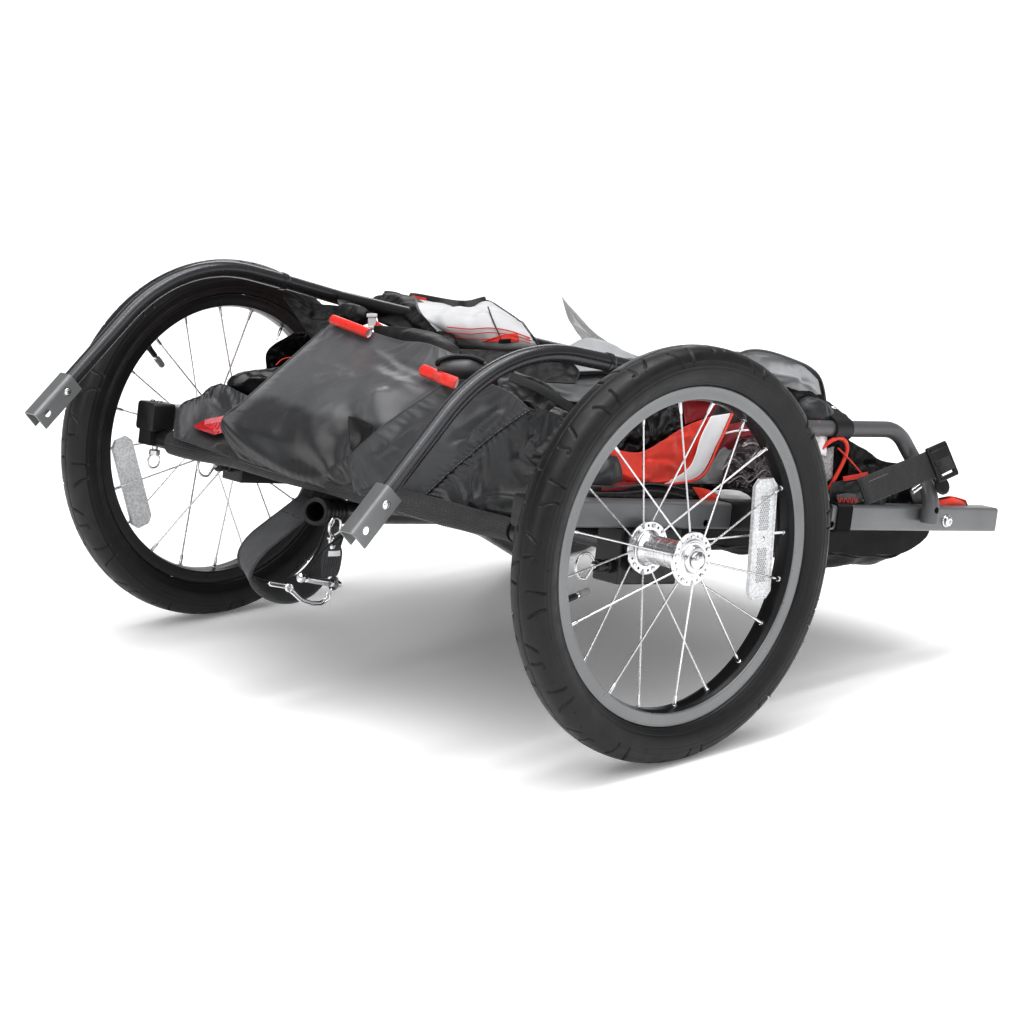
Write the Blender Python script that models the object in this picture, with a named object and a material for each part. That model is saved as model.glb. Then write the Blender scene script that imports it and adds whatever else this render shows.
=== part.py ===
"""Child bike trailer, folded flat: two spoked wheels on quick-release stub axles,
a pair of square base rails, a hinged upper frame of round tube, the tow arm folded
under the floor, and the slack fabric body lying between them.

Metres, +Z up, +X towards the front (tow end), +Y towards the trailer's left side.
Chassis pieces are written in the chassis frame: origin at the middle of the wheel
axle line, x forward along the base rails, z square to them. The trailer lies nose
down, so that frame is pitched about +Y.
"""

import math

import bmesh
import bpy
from mathutils import Matrix, Vector

# ---------------------------------------------------------------- dimensions
WHEEL_R = 0.1955           # 16 x 1.75 tyre
WHEEL_Y = 0.357            # middle plane of each wheel
PITCH = math.radians(9.4)  # nose-down rest angle of the chassis
RACK = math.radians(1.14)  # twist of the upper frame: right side down, left side up

RAIL = 0.025               # square base rail
RAIL_WALL = 0.0016
RAIL_Y = 0.2957
RAIL_X0, RAIL_X1 = -0.139, 0.523
RAIL_Z0 = 0.0163
RAIL_Z1 = RAIL_Z0 + RAIL

AXLE_R = 0.0062
AXLE_BORE = 0.0073
HINGE = (0.4404, 0.0274)   # upper-frame pivot, x and z in the chassis frame
TOW_HINGE = (0.545, RAIL_Y, 0.0288)
TOW_R = 0.0118

SIDE_Y = 0.2548            # upper side tubes
BEND_R = 0.0084            # thick rear part of a side tube
SIDE_R = 0.0077            # thin front part
LEG_R = 0.00825
SPLICE_X = -0.013
GAP = 0.0003

RIM_IN, RIM_OUT = 0.1445, 0.1590
SPOKES = 20
SPOKE_R = 0.0011
SPOKE_END = 0.1437

# ---------------------------------------------------------------- clean start
for old in list(bpy.data.objects):
    bpy.data.objects.remove(old, do_unlink=True)

SCENE = bpy.context.scene.collection


# ---------------------------------------------------------------- materials
def material(name, colour, rough, metal=0.0, alpha=1.0):
    mat = bpy.data.materials.new(name)
    mat.use_nodes = True
    bsdf = mat.node_tree.nodes["Principled BSDF"]
    bsdf.inputs["Base Color"].default_value = (*colour, 1.0)
    bsdf.inputs["Roughness"].default_value = rough
    bsdf.inputs["Metallic"].default_value = metal
    bsdf.inputs["Alpha"].default_value = alpha
    mat.diffuse_color = (*colour, 1.0)
    return mat


GUNMETAL = material("gunmetal_paint", (0.075, 0.078, 0.080), 0.33, 0.35)
RAIL_GREY = material("rail_paint", (0.16, 0.165, 0.168), 0.42, 0.25)
BRACKET = material("bracket_paint", (0.30, 0.31, 0.31), 0.35, 0.6)
BLACK_STEEL = material("black_steel", (0.012, 0.012, 0.013), 0.35, 0.1)
BLACK_PLASTIC = material("black_plastic", (0.013, 0.013, 0.014), 0.45)
CHROME = material("bright_steel", (0.75, 0.75, 0.76), 0.18, 1.0)
ALLOY = material("polished_alloy", (0.70, 0.70, 0.71), 0.25, 1.0)
RUBBER = material("tyre_rubber", (0.020, 0.020, 0.021), 0.6)
RIM_PAINT = material("rim_paint", (0.11, 0.112, 0.115), 0.32, 0.5)
CHARCOAL = material("charcoal_nylon", (0.055, 0.056, 0.058), 0.45)
BLACK_CLOTH = material("black_nylon", (0.012, 0.012, 0.013), 0.55)
RED_CLOTH = material("red_nylon", (0.75, 0.06, 0.035), 0.45)
WEBBING = material("black_webbing", (0.010, 0.010, 0.011), 0.75)
VINYL = material("grey_vinyl", (0.45, 0.46, 0.47), 0.25)
REFLECT_RED = material("red_reflector", (0.6, 0.02, 0.03), 0.2)
REFLECT_WHITE = material("white_reflector", (0.85, 0.85, 0.86), 0.2)


# ---------------------------------------------------------------- empties
def empty(name, parent=None, location=(0, 0, 0), rotation=(0, 0, 0)):
    obj = bpy.data.objects.new(name, None)
    obj.empty_display_size = 0.04
    obj.location = location
    obj.rotation_euler = rotation
    obj.parent = parent
    SCENE.objects.link(obj)
    return obj


# The root shift puts the middle of the whole box at x = y = 0 and its lowest
# point at z = 0.
ROOT_SHIFT = (-0.12426, 0.0, 0.0)
root = empty("trailer_origin", location=ROOT_SHIFT)
axle_line = empty("axle_line", root, (0, 0, WHEEL_R))
chassis = empty("chassis_frame", axle_line, rotation=(0, PITCH, 0))
hinge = empty("upper_frame_hinge", chassis, (HINGE[0], 0, HINGE[1]))
side_axis = {
    -1: empty("right_side_twist", hinge, rotation=(0, -RACK, 0)),
    1: empty("left_side_twist", hinge, rotation=(0, RACK, 0)),
}
tow_axis = empty("tow_arm_hinge", chassis, TOW_HINGE)
wheel_axis = {s: empty(f"wheel_axis_{n}", axle_line) for s, n in ((-1, "right"), (1, "left"))}
SIDES = ((-1, "right"), (1, "left"))

HINGE_OFF = Vector((HINGE[0], 0, HINGE[1]))
TOW_OFF = Vector(TOW_HINGE)


# ---------------------------------------------------------------- mesh helpers
def finish(bm, name, mat, parent, offset=Vector((0, 0, 0)), smooth=None):
    """Turn a bmesh into a named object under `parent`, its mesh moved by -offset."""
    bmesh.ops.translate(bm, verts=bm.verts, vec=-Vector(offset))
    bmesh.ops.recalc_face_normals(bm, faces=bm.faces)
    mesh = bpy.data.meshes.new(name)
    bm.to_mesh(mesh)
    bm.free()
    if smooth is not None:
        mesh.shade_smooth()
        mesh.set_sharp_from_angle(angle=math.radians(smooth))
    mesh.materials.append(mat)
    obj = bpy.data.objects.new(name, mesh)
    obj.parent = parent
    SCENE.objects.link(obj)
    return obj


def bm_box(x0, x1, y0, y1, z0, z1, bm=None):
    bm = bm or bmesh.new()
    made = bmesh.ops.create_cube(bm, size=1.0)
    verts = made["verts"]
    bmesh.ops.scale(bm, verts=verts, vec=(x1 - x0, y1 - y0, z1 - z0))
    bmesh.ops.translate(bm, verts=verts, vec=((x0 + x1) / 2, (y0 + y1) / 2, (z0 + z1) / 2))
    return bm


def bm_prism(section, y0, y1, lean=(0.0, 0.0), bm=None):
    """A closed x-z outline carried from y0 to y1; `lean` is its x, z drift on the way."""
    bm = bm or bmesh.new()
    base = [bm.verts.new((x, y0, z)) for x, z in section]
    face = bm.faces.new(base)
    out = bmesh.ops.extrude_face_region(bm, geom=[face])
    moved = [v for v in out["geom"] if isinstance(v, bmesh.types.BMVert)]
    bmesh.ops.translate(bm, verts=moved, vec=(lean[0], y1 - y0, lean[1]))
    return bm


def bm_turned(profile, steps, flip_y=False, bm=None):
    """Spin a (y, r) profile about the Y axis: closed, or open with both ends on the axis."""
    bm = bm or bmesh.new()
    verts = [bm.verts.new((r, -y if flip_y else y, 0.0)) for y, r in profile]
    on_axis = profile[0][1] == 0.0 and profile[-1][1] == 0.0
    pairs = zip(verts, verts[1:]) if on_axis else zip(verts, verts[1:] + verts[:1])
    edges = [bm.edges.new(pair) for pair in pairs]
    bmesh.ops.spin(
        bm, geom=verts + edges, cent=(0, 0, 0), axis=(0, 1, 0),
        angle=2 * math.pi, steps=steps, use_merge=True, use_duplicate=False,
    )
    bmesh.ops.remove_doubles(bm, verts=bm.verts, dist=1e-6)
    return bm


def bm_rod(p0, p1, r, sides=12, bm=None, r2=None):
    bm = bm or bmesh.new()
    p0, p1 = Vector(p0), Vector(p1)
    d = p1 - p0
    turn = Vector((0, 0, 1)).rotation_difference(d.normalized()).to_matrix().to_4x4()
    bmesh.ops.create_cone(
        bm, cap_ends=True, segments=sides, radius1=r, radius2=r if r2 is None else r2,
        depth=d.length, matrix=Matrix.Translation((p0 + p1) / 2) @ turn,
    )
    return bm


def hull_outline(circles, n=10):
    """Convex outline round several (x, z, r) circles."""
    pts = [
        (x + r * math.cos(2 * math.pi * k / n), z + r * math.sin(2 * math.pi * k / n))
        for x, z, r in circles for k in range(n)
    ]
    pts = sorted(set((round(a, 7), round(b, 7)) for a, b in pts))

    def half(seq):
        out = []
        for p in seq:
            while len(out) > 1 and (
                (out[-1][0] - out[-2][0]) * (p[1] - out[-2][1])
                - (out[-1][1] - out[-2][1]) * (p[0] - out[-2][0])
            ) <= 0:
                out.pop()
            out.append(p)
        return out

    return half(pts)[:-1] + half(pts[::-1])[:-1]


def filleted(points, radii, step=math.radians(11)):
    """Round the inner corners of a path, each with its own bend radius."""
    pts = [Vector(p) for p in points]
    out = [pts[0]]
    for k in range(1, len(pts) - 1):
        a, b, c = pts[k - 1], pts[k], pts[k + 1]
        u, v = (a - b).normalized(), (c - b).normalized()
        angle = math.pi - u.angle(v)
        r = radii[k - 1]
        if angle < 1e-4 or r <= 0:
            out.append(b)
            continue
        t = r * math.tan(angle / 2)
        start = b + u * t
        centre = b + (u + v).normalized() * (r / math.cos(angle / 2))
        arm0 = start - centre
        n = max(2, math.ceil(angle / step))
        for j in range(n + 1):
            turn = angle * j / n
            out.append(centre + arm0 * math.cos(turn) - u * (r * math.sin(turn)))
    out.append(pts[-1])
    return out


def tube(name, points, radius, mat, parent, offset=Vector((0, 0, 0)), rounds=4, radii=None, cyclic=False):
    """A round bar along a path: a bevelled curve with filled ends, made a mesh."""
    data = bpy.data.curves.new(name, "CURVE")
    data.dimensions = "3D"
    data.fill_mode = "FULL"
    data.bevel_depth = radius
    data.bevel_resolution = rounds
    data.use_fill_caps = True
    spline = data.splines.new("POLY")
    spline.points.add(len(points) - 1)
    spline.use_cyclic_u = cyclic
    for k, (point, at) in enumerate(zip(spline.points, points)):
        p = Vector(at) - Vector(offset)
        point.co = (*p, 1.0)
        if radii:
            point.radius = radii[k]
    guide = bpy.data.objects.new(name + "_path", data)
    SCENE.objects.link(guide)
    mesh = bpy.data.meshes.new_from_object(guide.evaluated_get(bpy.context.evaluated_depsgraph_get()))
    bpy.data.objects.remove(guide, do_unlink=True)
    mesh.name = name
    bm = bmesh.new()
    bm.from_mesh(mesh)
    bmesh.ops.remove_doubles(bm, verts=bm.verts, dist=1e-6)
    bmesh.ops.recalc_face_normals(bm, faces=bm.faces)
    bm.to_mesh(mesh)
    bm.free()
    mesh.materials.clear()
    mesh.materials.append(mat)
    mesh.shade_smooth()
    mesh.set_sharp_from_angle(angle=math.radians(35))
    obj = bpy.data.objects.new(name, mesh)
    obj.parent = parent
    SCENE.objects.link(obj)
    return obj


def cutter(bm, name, parent, offset=Vector((0, 0, 0))):
    obj = finish(bm, name, BLACK_STEEL, parent, offset)
    obj.hide_render = True
    obj.display_type = "WIRE"
    return obj


def boolean(obj, other, kind="DIFFERENCE"):
    mod = obj.modifiers.new(f"{kind.lower()}_{len(obj.modifiers)}", "BOOLEAN")
    mod.operation = kind
    mod.solver = "EXACT"
    mod.object = other
    return mod


def helper(obj):
    obj.hide_render = True
    obj.display_type = "WIRE"
    return obj


# ================================================================ base frame
rails = {}
for s, side in SIDES:
    y0, y1 = sorted((s * (RAIL_Y - RAIL / 2), s * (RAIL_Y + RAIL / 2)))
    rail = finish(bm_box(RAIL_X0, RAIL_X1, y0, y1, RAIL_Z0, RAIL_Z1), f"base_rail_{side}", RAIL_GREY, chassis)
    inner = bm_box(
        RAIL_X0 - 0.01, RAIL_X1 + 0.01, y0 + RAIL_WALL, y1 - RAIL_WALL,
        RAIL_Z0 + RAIL_WALL, RAIL_Z1 - RAIL_WALL,
    )
    boolean(rail, cutter(inner, f"rail_inside_{side}", chassis))
    holes = bm_rod((HINGE[0], y0 - 0.01, HINGE[1]), (HINGE[0], y1 + 0.01, HINGE[1]), 0.0046)
    bm_rod((-0.125, s * RAIL_Y, 0.0), (-0.125, s * RAIL_Y, 0.06), 0.0036, bm=holes)
    if s > 0:
        bm_rod((0.509, y0 - 0.01, 0.0288), (0.509, y1 + 0.01, 0.0288), 0.0036, bm=holes)
    boolean(rail, cutter(holes, f"rail_holes_{side}", chassis))
    rails[s] = rail

rear_tube = tube(
    "rear_cross_tube", [(-0.126, -0.306, 0.0064), (-0.126, 0.306, 0.0064)], 0.0094, BLACK_STEEL, chassis
)
pin_holes = bm_rod((-0.125, -RAIL_Y, -0.02), (-0.125, -RAIL_Y, 0.03), 0.0036)
bm_rod((-0.125, RAIL_Y, -0.02), (-0.125, RAIL_Y, 0.03), 0.0036, bm=pin_holes)
boolean(rear_tube, cutter(pin_holes, "rear_tube_pin_holes", chassis))

tube("mid_cross_tube", [(0.012, -0.2740, -0.003), (0.012, 0.2740, -0.003)], 0.011, GUNMETAL, chassis)
tube("front_floor_tube", [(0.485, -0.2828, 0.030), (0.485, 0.2828, 0.030)], 0.0095, GUNMETAL, chassis)

for s, side in SIDES:
    y0, y1 = sorted((s * 0.2745, s * 0.3085))
    # Receiver block under the rail, bored for the stub axle, with the snout
    # that guides the release plunger unioned to its rear face.
    body = finish(bm_box(-0.024, 0.054, y0, y1, -0.037, 0.0160), f"axle_receiver_{side}", BLACK_STEEL, chassis)
    snout = cutter(bm_rod((-0.020, s * RAIL_Y, -0.0215), (-0.042, s * RAIL_Y, -0.0215), 0.0065), f"plunger_snout_{side}", chassis)
    boolean(body, snout, "UNION")
    bores = bm_rod((0, y0 - 0.01, 0), (0, y1 + 0.01, 0), AXLE_BORE, 20)
    bm_rod((0.004, s * RAIL_Y, -0.0215), (-0.05, s * RAIL_Y, -0.0215), 0.0034, bm=bores)
    boolean(body, cutter(bores, f"receiver_bores_{side}", chassis))

    # Release plunger: a pin in the snout and the pull ring on its end.
    pull = finish(
        bm_rod((0.0030, s * RAIL_Y, -0.0215), (-0.0455, s * RAIL_Y, -0.0215), 0.0029),
        f"plunger_pull_{side}", CHROME, chassis, smooth=35,
    )
    ring = [
        (-0.0445 - 0.011 + 0.011 * math.cos(a), s * RAIL_Y, -0.0215 + 0.0115 * math.sin(a))
        for a in (2 * math.pi * k / 20 for k in range(20))
    ]
    loop = tube(f"pull_ring_{side}", ring, 0.0014, CHROME, chassis, rounds=1, cyclic=True)
    boolean(pull, helper(loop), "UNION")

    # Lock pin, pushed up through the rear cross tube and the rail.
    pin = finish(
        bm_rod((-0.125, s * RAIL_Y, -0.0100), (-0.125, s * RAIL_Y, 0.0455), 0.0031),
        f"lock_pin_{side}", CHROME, chassis, smooth=35,
    )
    collar = bm_rod((-0.125, s * RAIL_Y, -0.0125), (-0.125, s * RAIL_Y, -0.0060), 0.0060)
    boolean(pin, cutter(collar, f"pin_collar_{side}", chassis), "UNION")
    eye = [
        (-0.125 + 0.0075 * math.cos(a), s * RAIL_Y, -0.0185 + 0.0075 * math.sin(a))
        for a in (2 * math.pi * k / 16 for k in range(16))
    ]
    boolean(pin, helper(tube(f"pin_eye_{side}", eye, 0.0011, CHROME, chassis, rounds=1, cyclic=True)), "UNION")

    # Front pivot bolt: domed head outside, shank through rail and pivot plate.
    bolt = bm_turned(
        [(0.3085, 0.0), (0.3085, 0.0062), (0.3100, 0.0062), (0.3128, 0.0048), (0.3140, 0.0020), (0.3142, 0.0)],
        16, flip_y=s < 0,
    )
    head = finish(bolt, f"pivot_bolt_{side}", CHROME, chassis, smooth=40)
    head.location = (HINGE[0], 0, HINGE[1])
    ya, yb = sorted((s * 0.2700, s * 0.3100))
    shank = cutter(bm_rod((HINGE[0], ya, HINGE[1]), (HINGE[0], yb, HINGE[1]), 0.0040), f"pivot_shank_{side}", chassis)
    boolean(head, shank, "UNION")
    yn, ym = sorted((s * 0.2705, s * 0.2740))
    nut = cutter(bm_rod((HINGE[0], yn, HINGE[1]), (HINGE[0], ym, HINGE[1]), 0.0070, 6), f"pivot_nut_{side}", chassis)
    boolean(head, nut, "UNION")

# Tow-arm clevis on the front end of the left rail: two cheek plates and a web.
inner_y, outer_y = RAIL_Y - RAIL / 2 - GAP, RAIL_Y + RAIL / 2 + GAP
web = finish(bm_box(0.4965, 0.521, inner_y - 0.004, outer_y + 0.004, 0.0105, 0.0160), "tow_clevis", BLACK_STEEL, chassis)
cheeks = bm_prism(hull_outline([(0.5030, 0.0250, 0.0065), (0.5030, 0.0370, 0.0065), (0.545, 0.0288, 0.0148)]), inner_y - 0.004, inner_y)
cheek_a = cutter(cheeks, "clevis_cheek_in", chassis)
cheeks = bm_prism(hull_outline([(0.5030, 0.0250, 0.0065), (0.5030, 0.0370, 0.0065), (0.545, 0.0288, 0.0148)]), outer_y, outer_y + 0.004)
cheek_b = cutter(cheeks, "clevis_cheek_out", chassis)
lip_a = cutter(bm_box(0.4970, 0.5205, inner_y - 0.004, inner_y, 0.0110, 0.0300), "clevis_lip_in", chassis)
lip_b = cutter(bm_box(0.4970, 0.5205, outer_y, outer_y + 0.004, 0.0110, 0.0300), "clevis_lip_out", chassis)
for piece in (lip_a, lip_b, cheek_a, cheek_b):
    boolean(web, piece, "UNION")
clevis_holes = bm_rod((0.545, inner_y - 0.02, 0.0288), (0.545, outer_y + 0.02, 0.0288), 0.0045)
boolean(web, cutter(clevis_holes, "clevis_holes", chassis))

bolt = finish(
    bm_rod((0.545, inner_y - 0.0045, 0.0288), (0.545, outer_y + 0.0045, 0.0288), 0.0040),
    "tow_pivot_bolt", CHROME, chassis, smooth=40,
)
bolt_head = cutter(bm_rod((0.545, outer_y + 0.0043, 0.0288), (0.545, outer_y + 0.0085, 0.0288), 0.0070, 6), "tow_bolt_head", chassis)
bolt_nut = cutter(bm_rod((0.545, inner_y - 0.0095, 0.0288), (0.545, inner_y - 0.0043, 0.0288), 0.0070, 6), "tow_bolt_nut", chassis)
boolean(bolt, bolt_head, "UNION")
boolean(bolt, bolt_nut, "UNION")


# ================================================================ fabric on the base
def slope(x, k):
    """Height over the base on a plane that fans out from the upper-frame hinge."""
    return HINGE[1] + (HINGE[0] - x) * k


finish(bm_box(-0.108, 0.37, -0.26, 0.26, 0.0145, 0.0200), "floor_sling", BLACK_CLOTH, chassis)
finish(
    bm_prism([(0.04, 0.0135), (0.04, 0.0), (0.15, -0.022), (0.30, -0.031), (0.38, -0.034), (0.44, -0.030), (0.475, 0.0), (0.478, 0.0135)], -0.262, 0.262),
    "foot_bag", BLACK_CLOTH, chassis,
)
sleeve = finish(bm_rod((-0.126, -0.262, 0.0064), (-0.126, 0.262, 0.0064), 0.0118, 16), "rear_hem_sleeve", WEBBING, chassis, smooth=40)
boolean(sleeve, cutter(bm_rod((-0.126, -0.30, 0.0064), (-0.126, 0.30, 0.0064), 0.0098, 16), "hem_inside", chassis))

finish(
    bm_prism(
        [(-0.100, 0.0235), (-0.105, 0.058), (-0.080, 0.103), (-0.015, 0.1285), (-0.012, slope(-0.012, 0.245)), (0.36, slope(0.36, 0.245)), (0.36, 0.0235)],
        -0.235, 0.235,
    ),
    "seat_sling", RED_CLOTH, chassis,
)
REAR = [(-0.142, 0.021), (-0.158, 0.050), (-0.135, 0.100), (-0.070, 0.140), (-0.020, 0.1475), (-0.020, 0.135), (-0.090, 0.110), (-0.118, 0.060), (-0.112, 0.021)]
finish(bm_prism(REAR, -0.060, 0.170), "rear_panel_main", CHARCOAL, chassis)
finish(bm_prism(REAR, -0.235, -0.065), "rear_panel_right", CHARCOAL, chassis)
finish(
    bm_prism([(-0.142, 0.021), (-0.158, 0.050), (-0.147, 0.075), (-0.110, 0.075), (-0.120, 0.060), (-0.112, 0.021)], 0.175, 0.262),
    "rear_flap_left", CHARCOAL, chassis,
)
finish(
    bm_prism([(-0.1640, 0.040), (-0.1660, 0.0445), (-0.1605, 0.0640), (-0.1570, 0.0625)], 0.190, 0.222),
    "rear_reflector", REFLECT_RED, chassis,
)
for s, side in SIDES:
    y0, y1 = sorted((s * 0.262, s * 0.278))
    finish(bm_prism([(-0.09, 0.044), (-0.09, 0.110), (0.365, 0.0465), (0.365, 0.044)], y0 + (0.0005 if s > 0 else 0), y1 - (0.0005 if s < 0 else 0)), f"side_panel_{side}", RED_CLOTH, chassis)


# ================================================================ upper frame
LEG_DIR = Vector((0.6511, 0, 0.7590)).normalized()
LEG_OUT = Vector((-LEG_DIR.z, 0, LEG_DIR.x))
RIVET = Vector((-0.2777, 0, 0.0423))
HOLE = RIVET - LEG_DIR * 0.0304
BEND_TOP = Vector((-0.1510, 0, 0.1909))


def side_z(x):
    return 0.1734 - 0.1446 * (x - SPLICE_X)


def leg_y(z):
    t = min(1.0, max(0.0, (0.105 - z) / 0.060))
    return 0.285 + 0.0334 * t * t * (3 - 2 * t)


for s, side in SIDES:
    axis = side_axis[s]
    at = Vector((0, s * SIDE_Y, 0))
    bend_path = filleted(
        [RIVET - LEG_DIR * 0.009 + at, BEND_TOP + at, Vector((SPLICE_X - GAP, 0, side_z(SPLICE_X))) + at],
        [0.1686], step=math.radians(7),
    )
    bend = tube(f"rear_bend_{side}", bend_path, BEND_R, GUNMETAL, axis, HINGE_OFF, rounds=6)
    straight = tube(
        f"side_tube_{side}",
        [Vector((SPLICE_X, 0, side_z(SPLICE_X))) + at, Vector((0.300, 0, side_z(0.300))) + at],
        SIDE_R, GUNMETAL, axis, HINGE_OFF, rounds=6,
    )
    # U-shaped end bracket: web on the outer side of the tube, two cheeks, a
    # rivet through the tube and an open pin hole below it.
    top = RIVET + LEG_DIR * 0.014
    low = HOLE - LEG_DIR * 0.012

    section = [
        (-0.0106, -0.0108), (-0.0106, 0.0042), (-0.0086, 0.0084), (-0.0042, 0.0105), (0.0042, 0.0105), (0.0086, 0.0084), (0.0106, 0.0042), (0.0106, -0.0108),
        (0.0088, -0.0108), (0.0088, 0.0036), (0.0071, 0.0071), (0.0036, 0.0088), (-0.0036, 0.0088), (-0.0071, 0.0071), (-0.0088, 0.0036), (-0.0088, -0.0108),
    ]
    folded = bmesh.new()
    face = folded.faces.new([folded.verts.new(low + LEG_OUT * n + Vector((0, s * SIDE_Y + y, 0))) for y, n in section])
    out = bmesh.ops.extrude_face_region(folded, geom=[face])
    bmesh.ops.translate(folded, verts=[v for v in out["geom"] if isinstance(v, bmesh.types.BMVert)], vec=top - low)
    bracket = finish(folded, f"end_bracket_{side}", BRACKET, axis, HINGE_OFF)
    hole = bm_rod(HOLE + at + Vector((0, -0.02, 0)), HOLE + at + Vector((0, 0.02, 0)), 0.0039, 16)
    boolean(bracket, cutter(hole, f"bracket_hole_{side}", axis, HINGE_OFF))

    # Leg tube: level run, elbow, and the foot that stands beside the base rail.
    flat = filleted([(0.235, 0, 0.1185), (0.398, 0, 0.1185), (0.4005, 0, 0.045), (0.401, 0, 0.028)], [0.045, 0.0])
    run = []
    for a, b in zip(flat, flat[1:]):
        n = max(1, round((b - a).length / 0.012)) if a.z < 0.117 or b.z < 0.117 else 1
        run += [a.lerp(b, j / n) for j in range(n)]
    run.append(flat[-1])
    leg_path = [Vector((p.x, s * leg_y(p.z), p.z)) for p in run]
    swell = [1.0 if p.z > 0.052 else 1.0 + 0.14 * min(1.0, (0.052 - p.z) / 0.016) for p in run]
    leg = tube(f"leg_tube_{side}", leg_path, LEG_R, GUNMETAL, axis, HINGE_OFF, rounds=6, radii=swell)
    foot = bm_rod((0.4012, s * 0.3184, 0.015), (0.4005, s * 0.3184, 0.052), 0.0068, 16)
    boolean(leg, cutter(foot, f"foot_bore_{side}", axis, HINGE_OFF))
    cross = bm_rod((0.4008, s * 0.3184 - 0.02, 0.0419), (0.4008, s * 0.3184 + 0.02, 0.0419), 0.0034, 12)
    boolean(leg, cutter(cross, f"foot_hole_{side}", axis, HINGE_OFF))

    # Twin clamp that joins side tube and leg tube: one block, two bores.
    cx = 0.283
    clamp_outline = hull_outline([(s * SIDE_Y, side_z(cx), 0.0118), (s * 0.285, 0.1185, 0.0112)], 16)
    clamp = bmesh.new()
    ring0 = [clamp.verts.new((cx - 0.012, y, z)) for y, z in clamp_outline]
    face = clamp.faces.new(ring0)
    out = bmesh.ops.extrude_face_region(clamp, geom=[face])
    bmesh.ops.translate(clamp, verts=[v for v in out["geom"] if isinstance(v, bmesh.types.BMVert)], vec=(0.024, 0, 0))
    clamp = finish(clamp, f"tube_clamp_{side}", BLACK_PLASTIC, axis, HINGE_OFF)
    bores = bm_rod(Vector((0.25, s * SIDE_Y, side_z(0.25))), Vector((0.31, s * SIDE_Y, side_z(0.31))), SIDE_R + 0.0004, 16)
    bm_rod(Vector((0.25, s * 0.285, 0.1185)), Vector((0.31, s * 0.285, 0.1185)), LEG_R + 0.0004, 16, bm=bores)
    boolean(clamp, cutter(bores, f"clamp_bores_{side}", axis, HINGE_OFF))

    # Pivot plate on the pivot bolt, welded to the leg tube and carrying the front tube.
    ya, yb = sorted((s * 0.2785, s * 0.2825))
    plate = finish(
        bm_prism(hull_outline([(HINGE[0], HINGE[1], 0.011), (0.433, 0.0645, 0.0125), (0.405, 0.070, 0.008)]), ya, yb),
        f"pivot_plate_{side}", BLACK_STEEL, hinge, HINGE_OFF,
    )
    yc, yd = sorted((s * 0.2815, s * 0.2970))
    boolean(plate, cutter(bm_box(0.394, 0.411, yc, yd, 0.056, 0.080), f"weld_tab_{side}", hinge, HINGE_OFF), "UNION")
    cuts = bm_rod((HINGE[0], ya - 0.01, HINGE[1]), (HINGE[0], yb + 0.01, HINGE[1]), 0.0044, 16)
    bm_rod((0.433, ya - 0.01, 0.0645), (0.433, yb + 0.01, 0.0645), 0.0098, 16, bm=cuts)
    boolean(plate, cutter(cuts, f"plate_holes_{side}", hinge, HINGE_OFF))
    leg_cut = tube(f"leg_clearance_{side}", leg_path[1:-2], LEG_R + 0.0012, BLACK_STEEL, axis, HINGE_OFF, rounds=4)
    boolean(plate, helper(leg_cut))

tube("front_cross_tube", [(0.433, -0.300, 0.0645), (0.433, 0.300, 0.0645)], 0.0095, BLACK_STEEL, hinge, HINGE_OFF, rounds=4)


def twisted(x, y, z, s):
    """A side-frame point after that side's twist about the hinge."""
    dx, dz = x - HINGE[0], z - HINGE[1]
    c, n = math.cos(s * RACK), math.sin(s * RACK)
    return Vector((HINGE[0] + dx * c + dz * n, y, HINGE[1] - dx * n + dz * c))


tube(
    "roof_cross_tube",
    [twisted(0.06, -0.2465, side_z(0.06), -1), twisted(0.06, 0.2465, side_z(0.06), 1)],
    0.0075, BLACK_STEEL, hinge, HINGE_OFF, rounds=3,
)


# ================================================================ fabric on the upper frame
finish(
    bm_prism([(0.075, slope(0.075, 0.275)), (0.075, 0.176), (0.13, 0.186), (0.26, 0.184), (0.30, 0.168), (0.30, slope(0.30, 0.275))], 0.002, 0.235),
    "canopy_roof", CHARCOAL, hinge, HINGE_OFF,
)
finish(bm_prism([(-0.015, 0.160), (-0.009, 0.178), (0.040, 0.180), (0.046, 0.158)], -0.05, 0.235), "bug_screen_roll", BLACK_CLOTH, hinge, HINGE_OFF)
finish(
    bm_prism(
        [(0.075, slope(0.075, 0.275)), (0.075, 0.160), (0.12, 0.178), (0.21, 0.184), (0.27, 0.170), (0.30, 0.148), (0.318, 0.110), (0.33, 0.075), (0.33, slope(0.33, 0.275))],
        -0.235, -0.004,
    ),
    "window_roll", VINYL, hinge, HINGE_OFF,
)

# Storage strap lashed round the right foot tube, and its side-release buckle.
strap_line = [(0.283, 0.0795), (0.292, 0.0525), (0.385, 0.0745), (0.372, 0.1010)]
finish(bm_prism(strap_line, -0.3300, -0.3276), "storage_strap", WEBBING, hinge, HINGE_OFF)
buckle = bm_prism([(0.3700, 0.0990), (0.3790, 0.1110), (0.4230, 0.0915), (0.4140, 0.0735), (0.3890, 0.0800)], -0.3390, -0.3310)
finish(buckle, "storage_buckle", BLACK_PLASTIC, hinge, HINGE_OFF)


# ================================================================ wheels
TREAD_R = WHEEL_R / math.cos(math.pi / 48)  # the flats of the 48 sides lie at WHEEL_R
TYRE = [
    (-0.0122, 0.1593), (-0.0182, 0.1675), (-0.0208, 0.1775), (-0.0188, 0.1870), (-0.0115, 0.1932), (-0.0065, TREAD_R),
    (0.0065, TREAD_R), (0.0115, 0.1932), (0.0188, 0.1870), (0.0208, 0.1775), (0.0182, 0.1675), (0.0122, 0.1593),
]
RIM = [
    (-0.0125, 0.1500), (-0.0125, 0.1590), (0.0125, 0.1590), (0.0125, 0.1500), (0.0070, RIM_IN), (-0.0070, RIM_IN),
]
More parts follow.
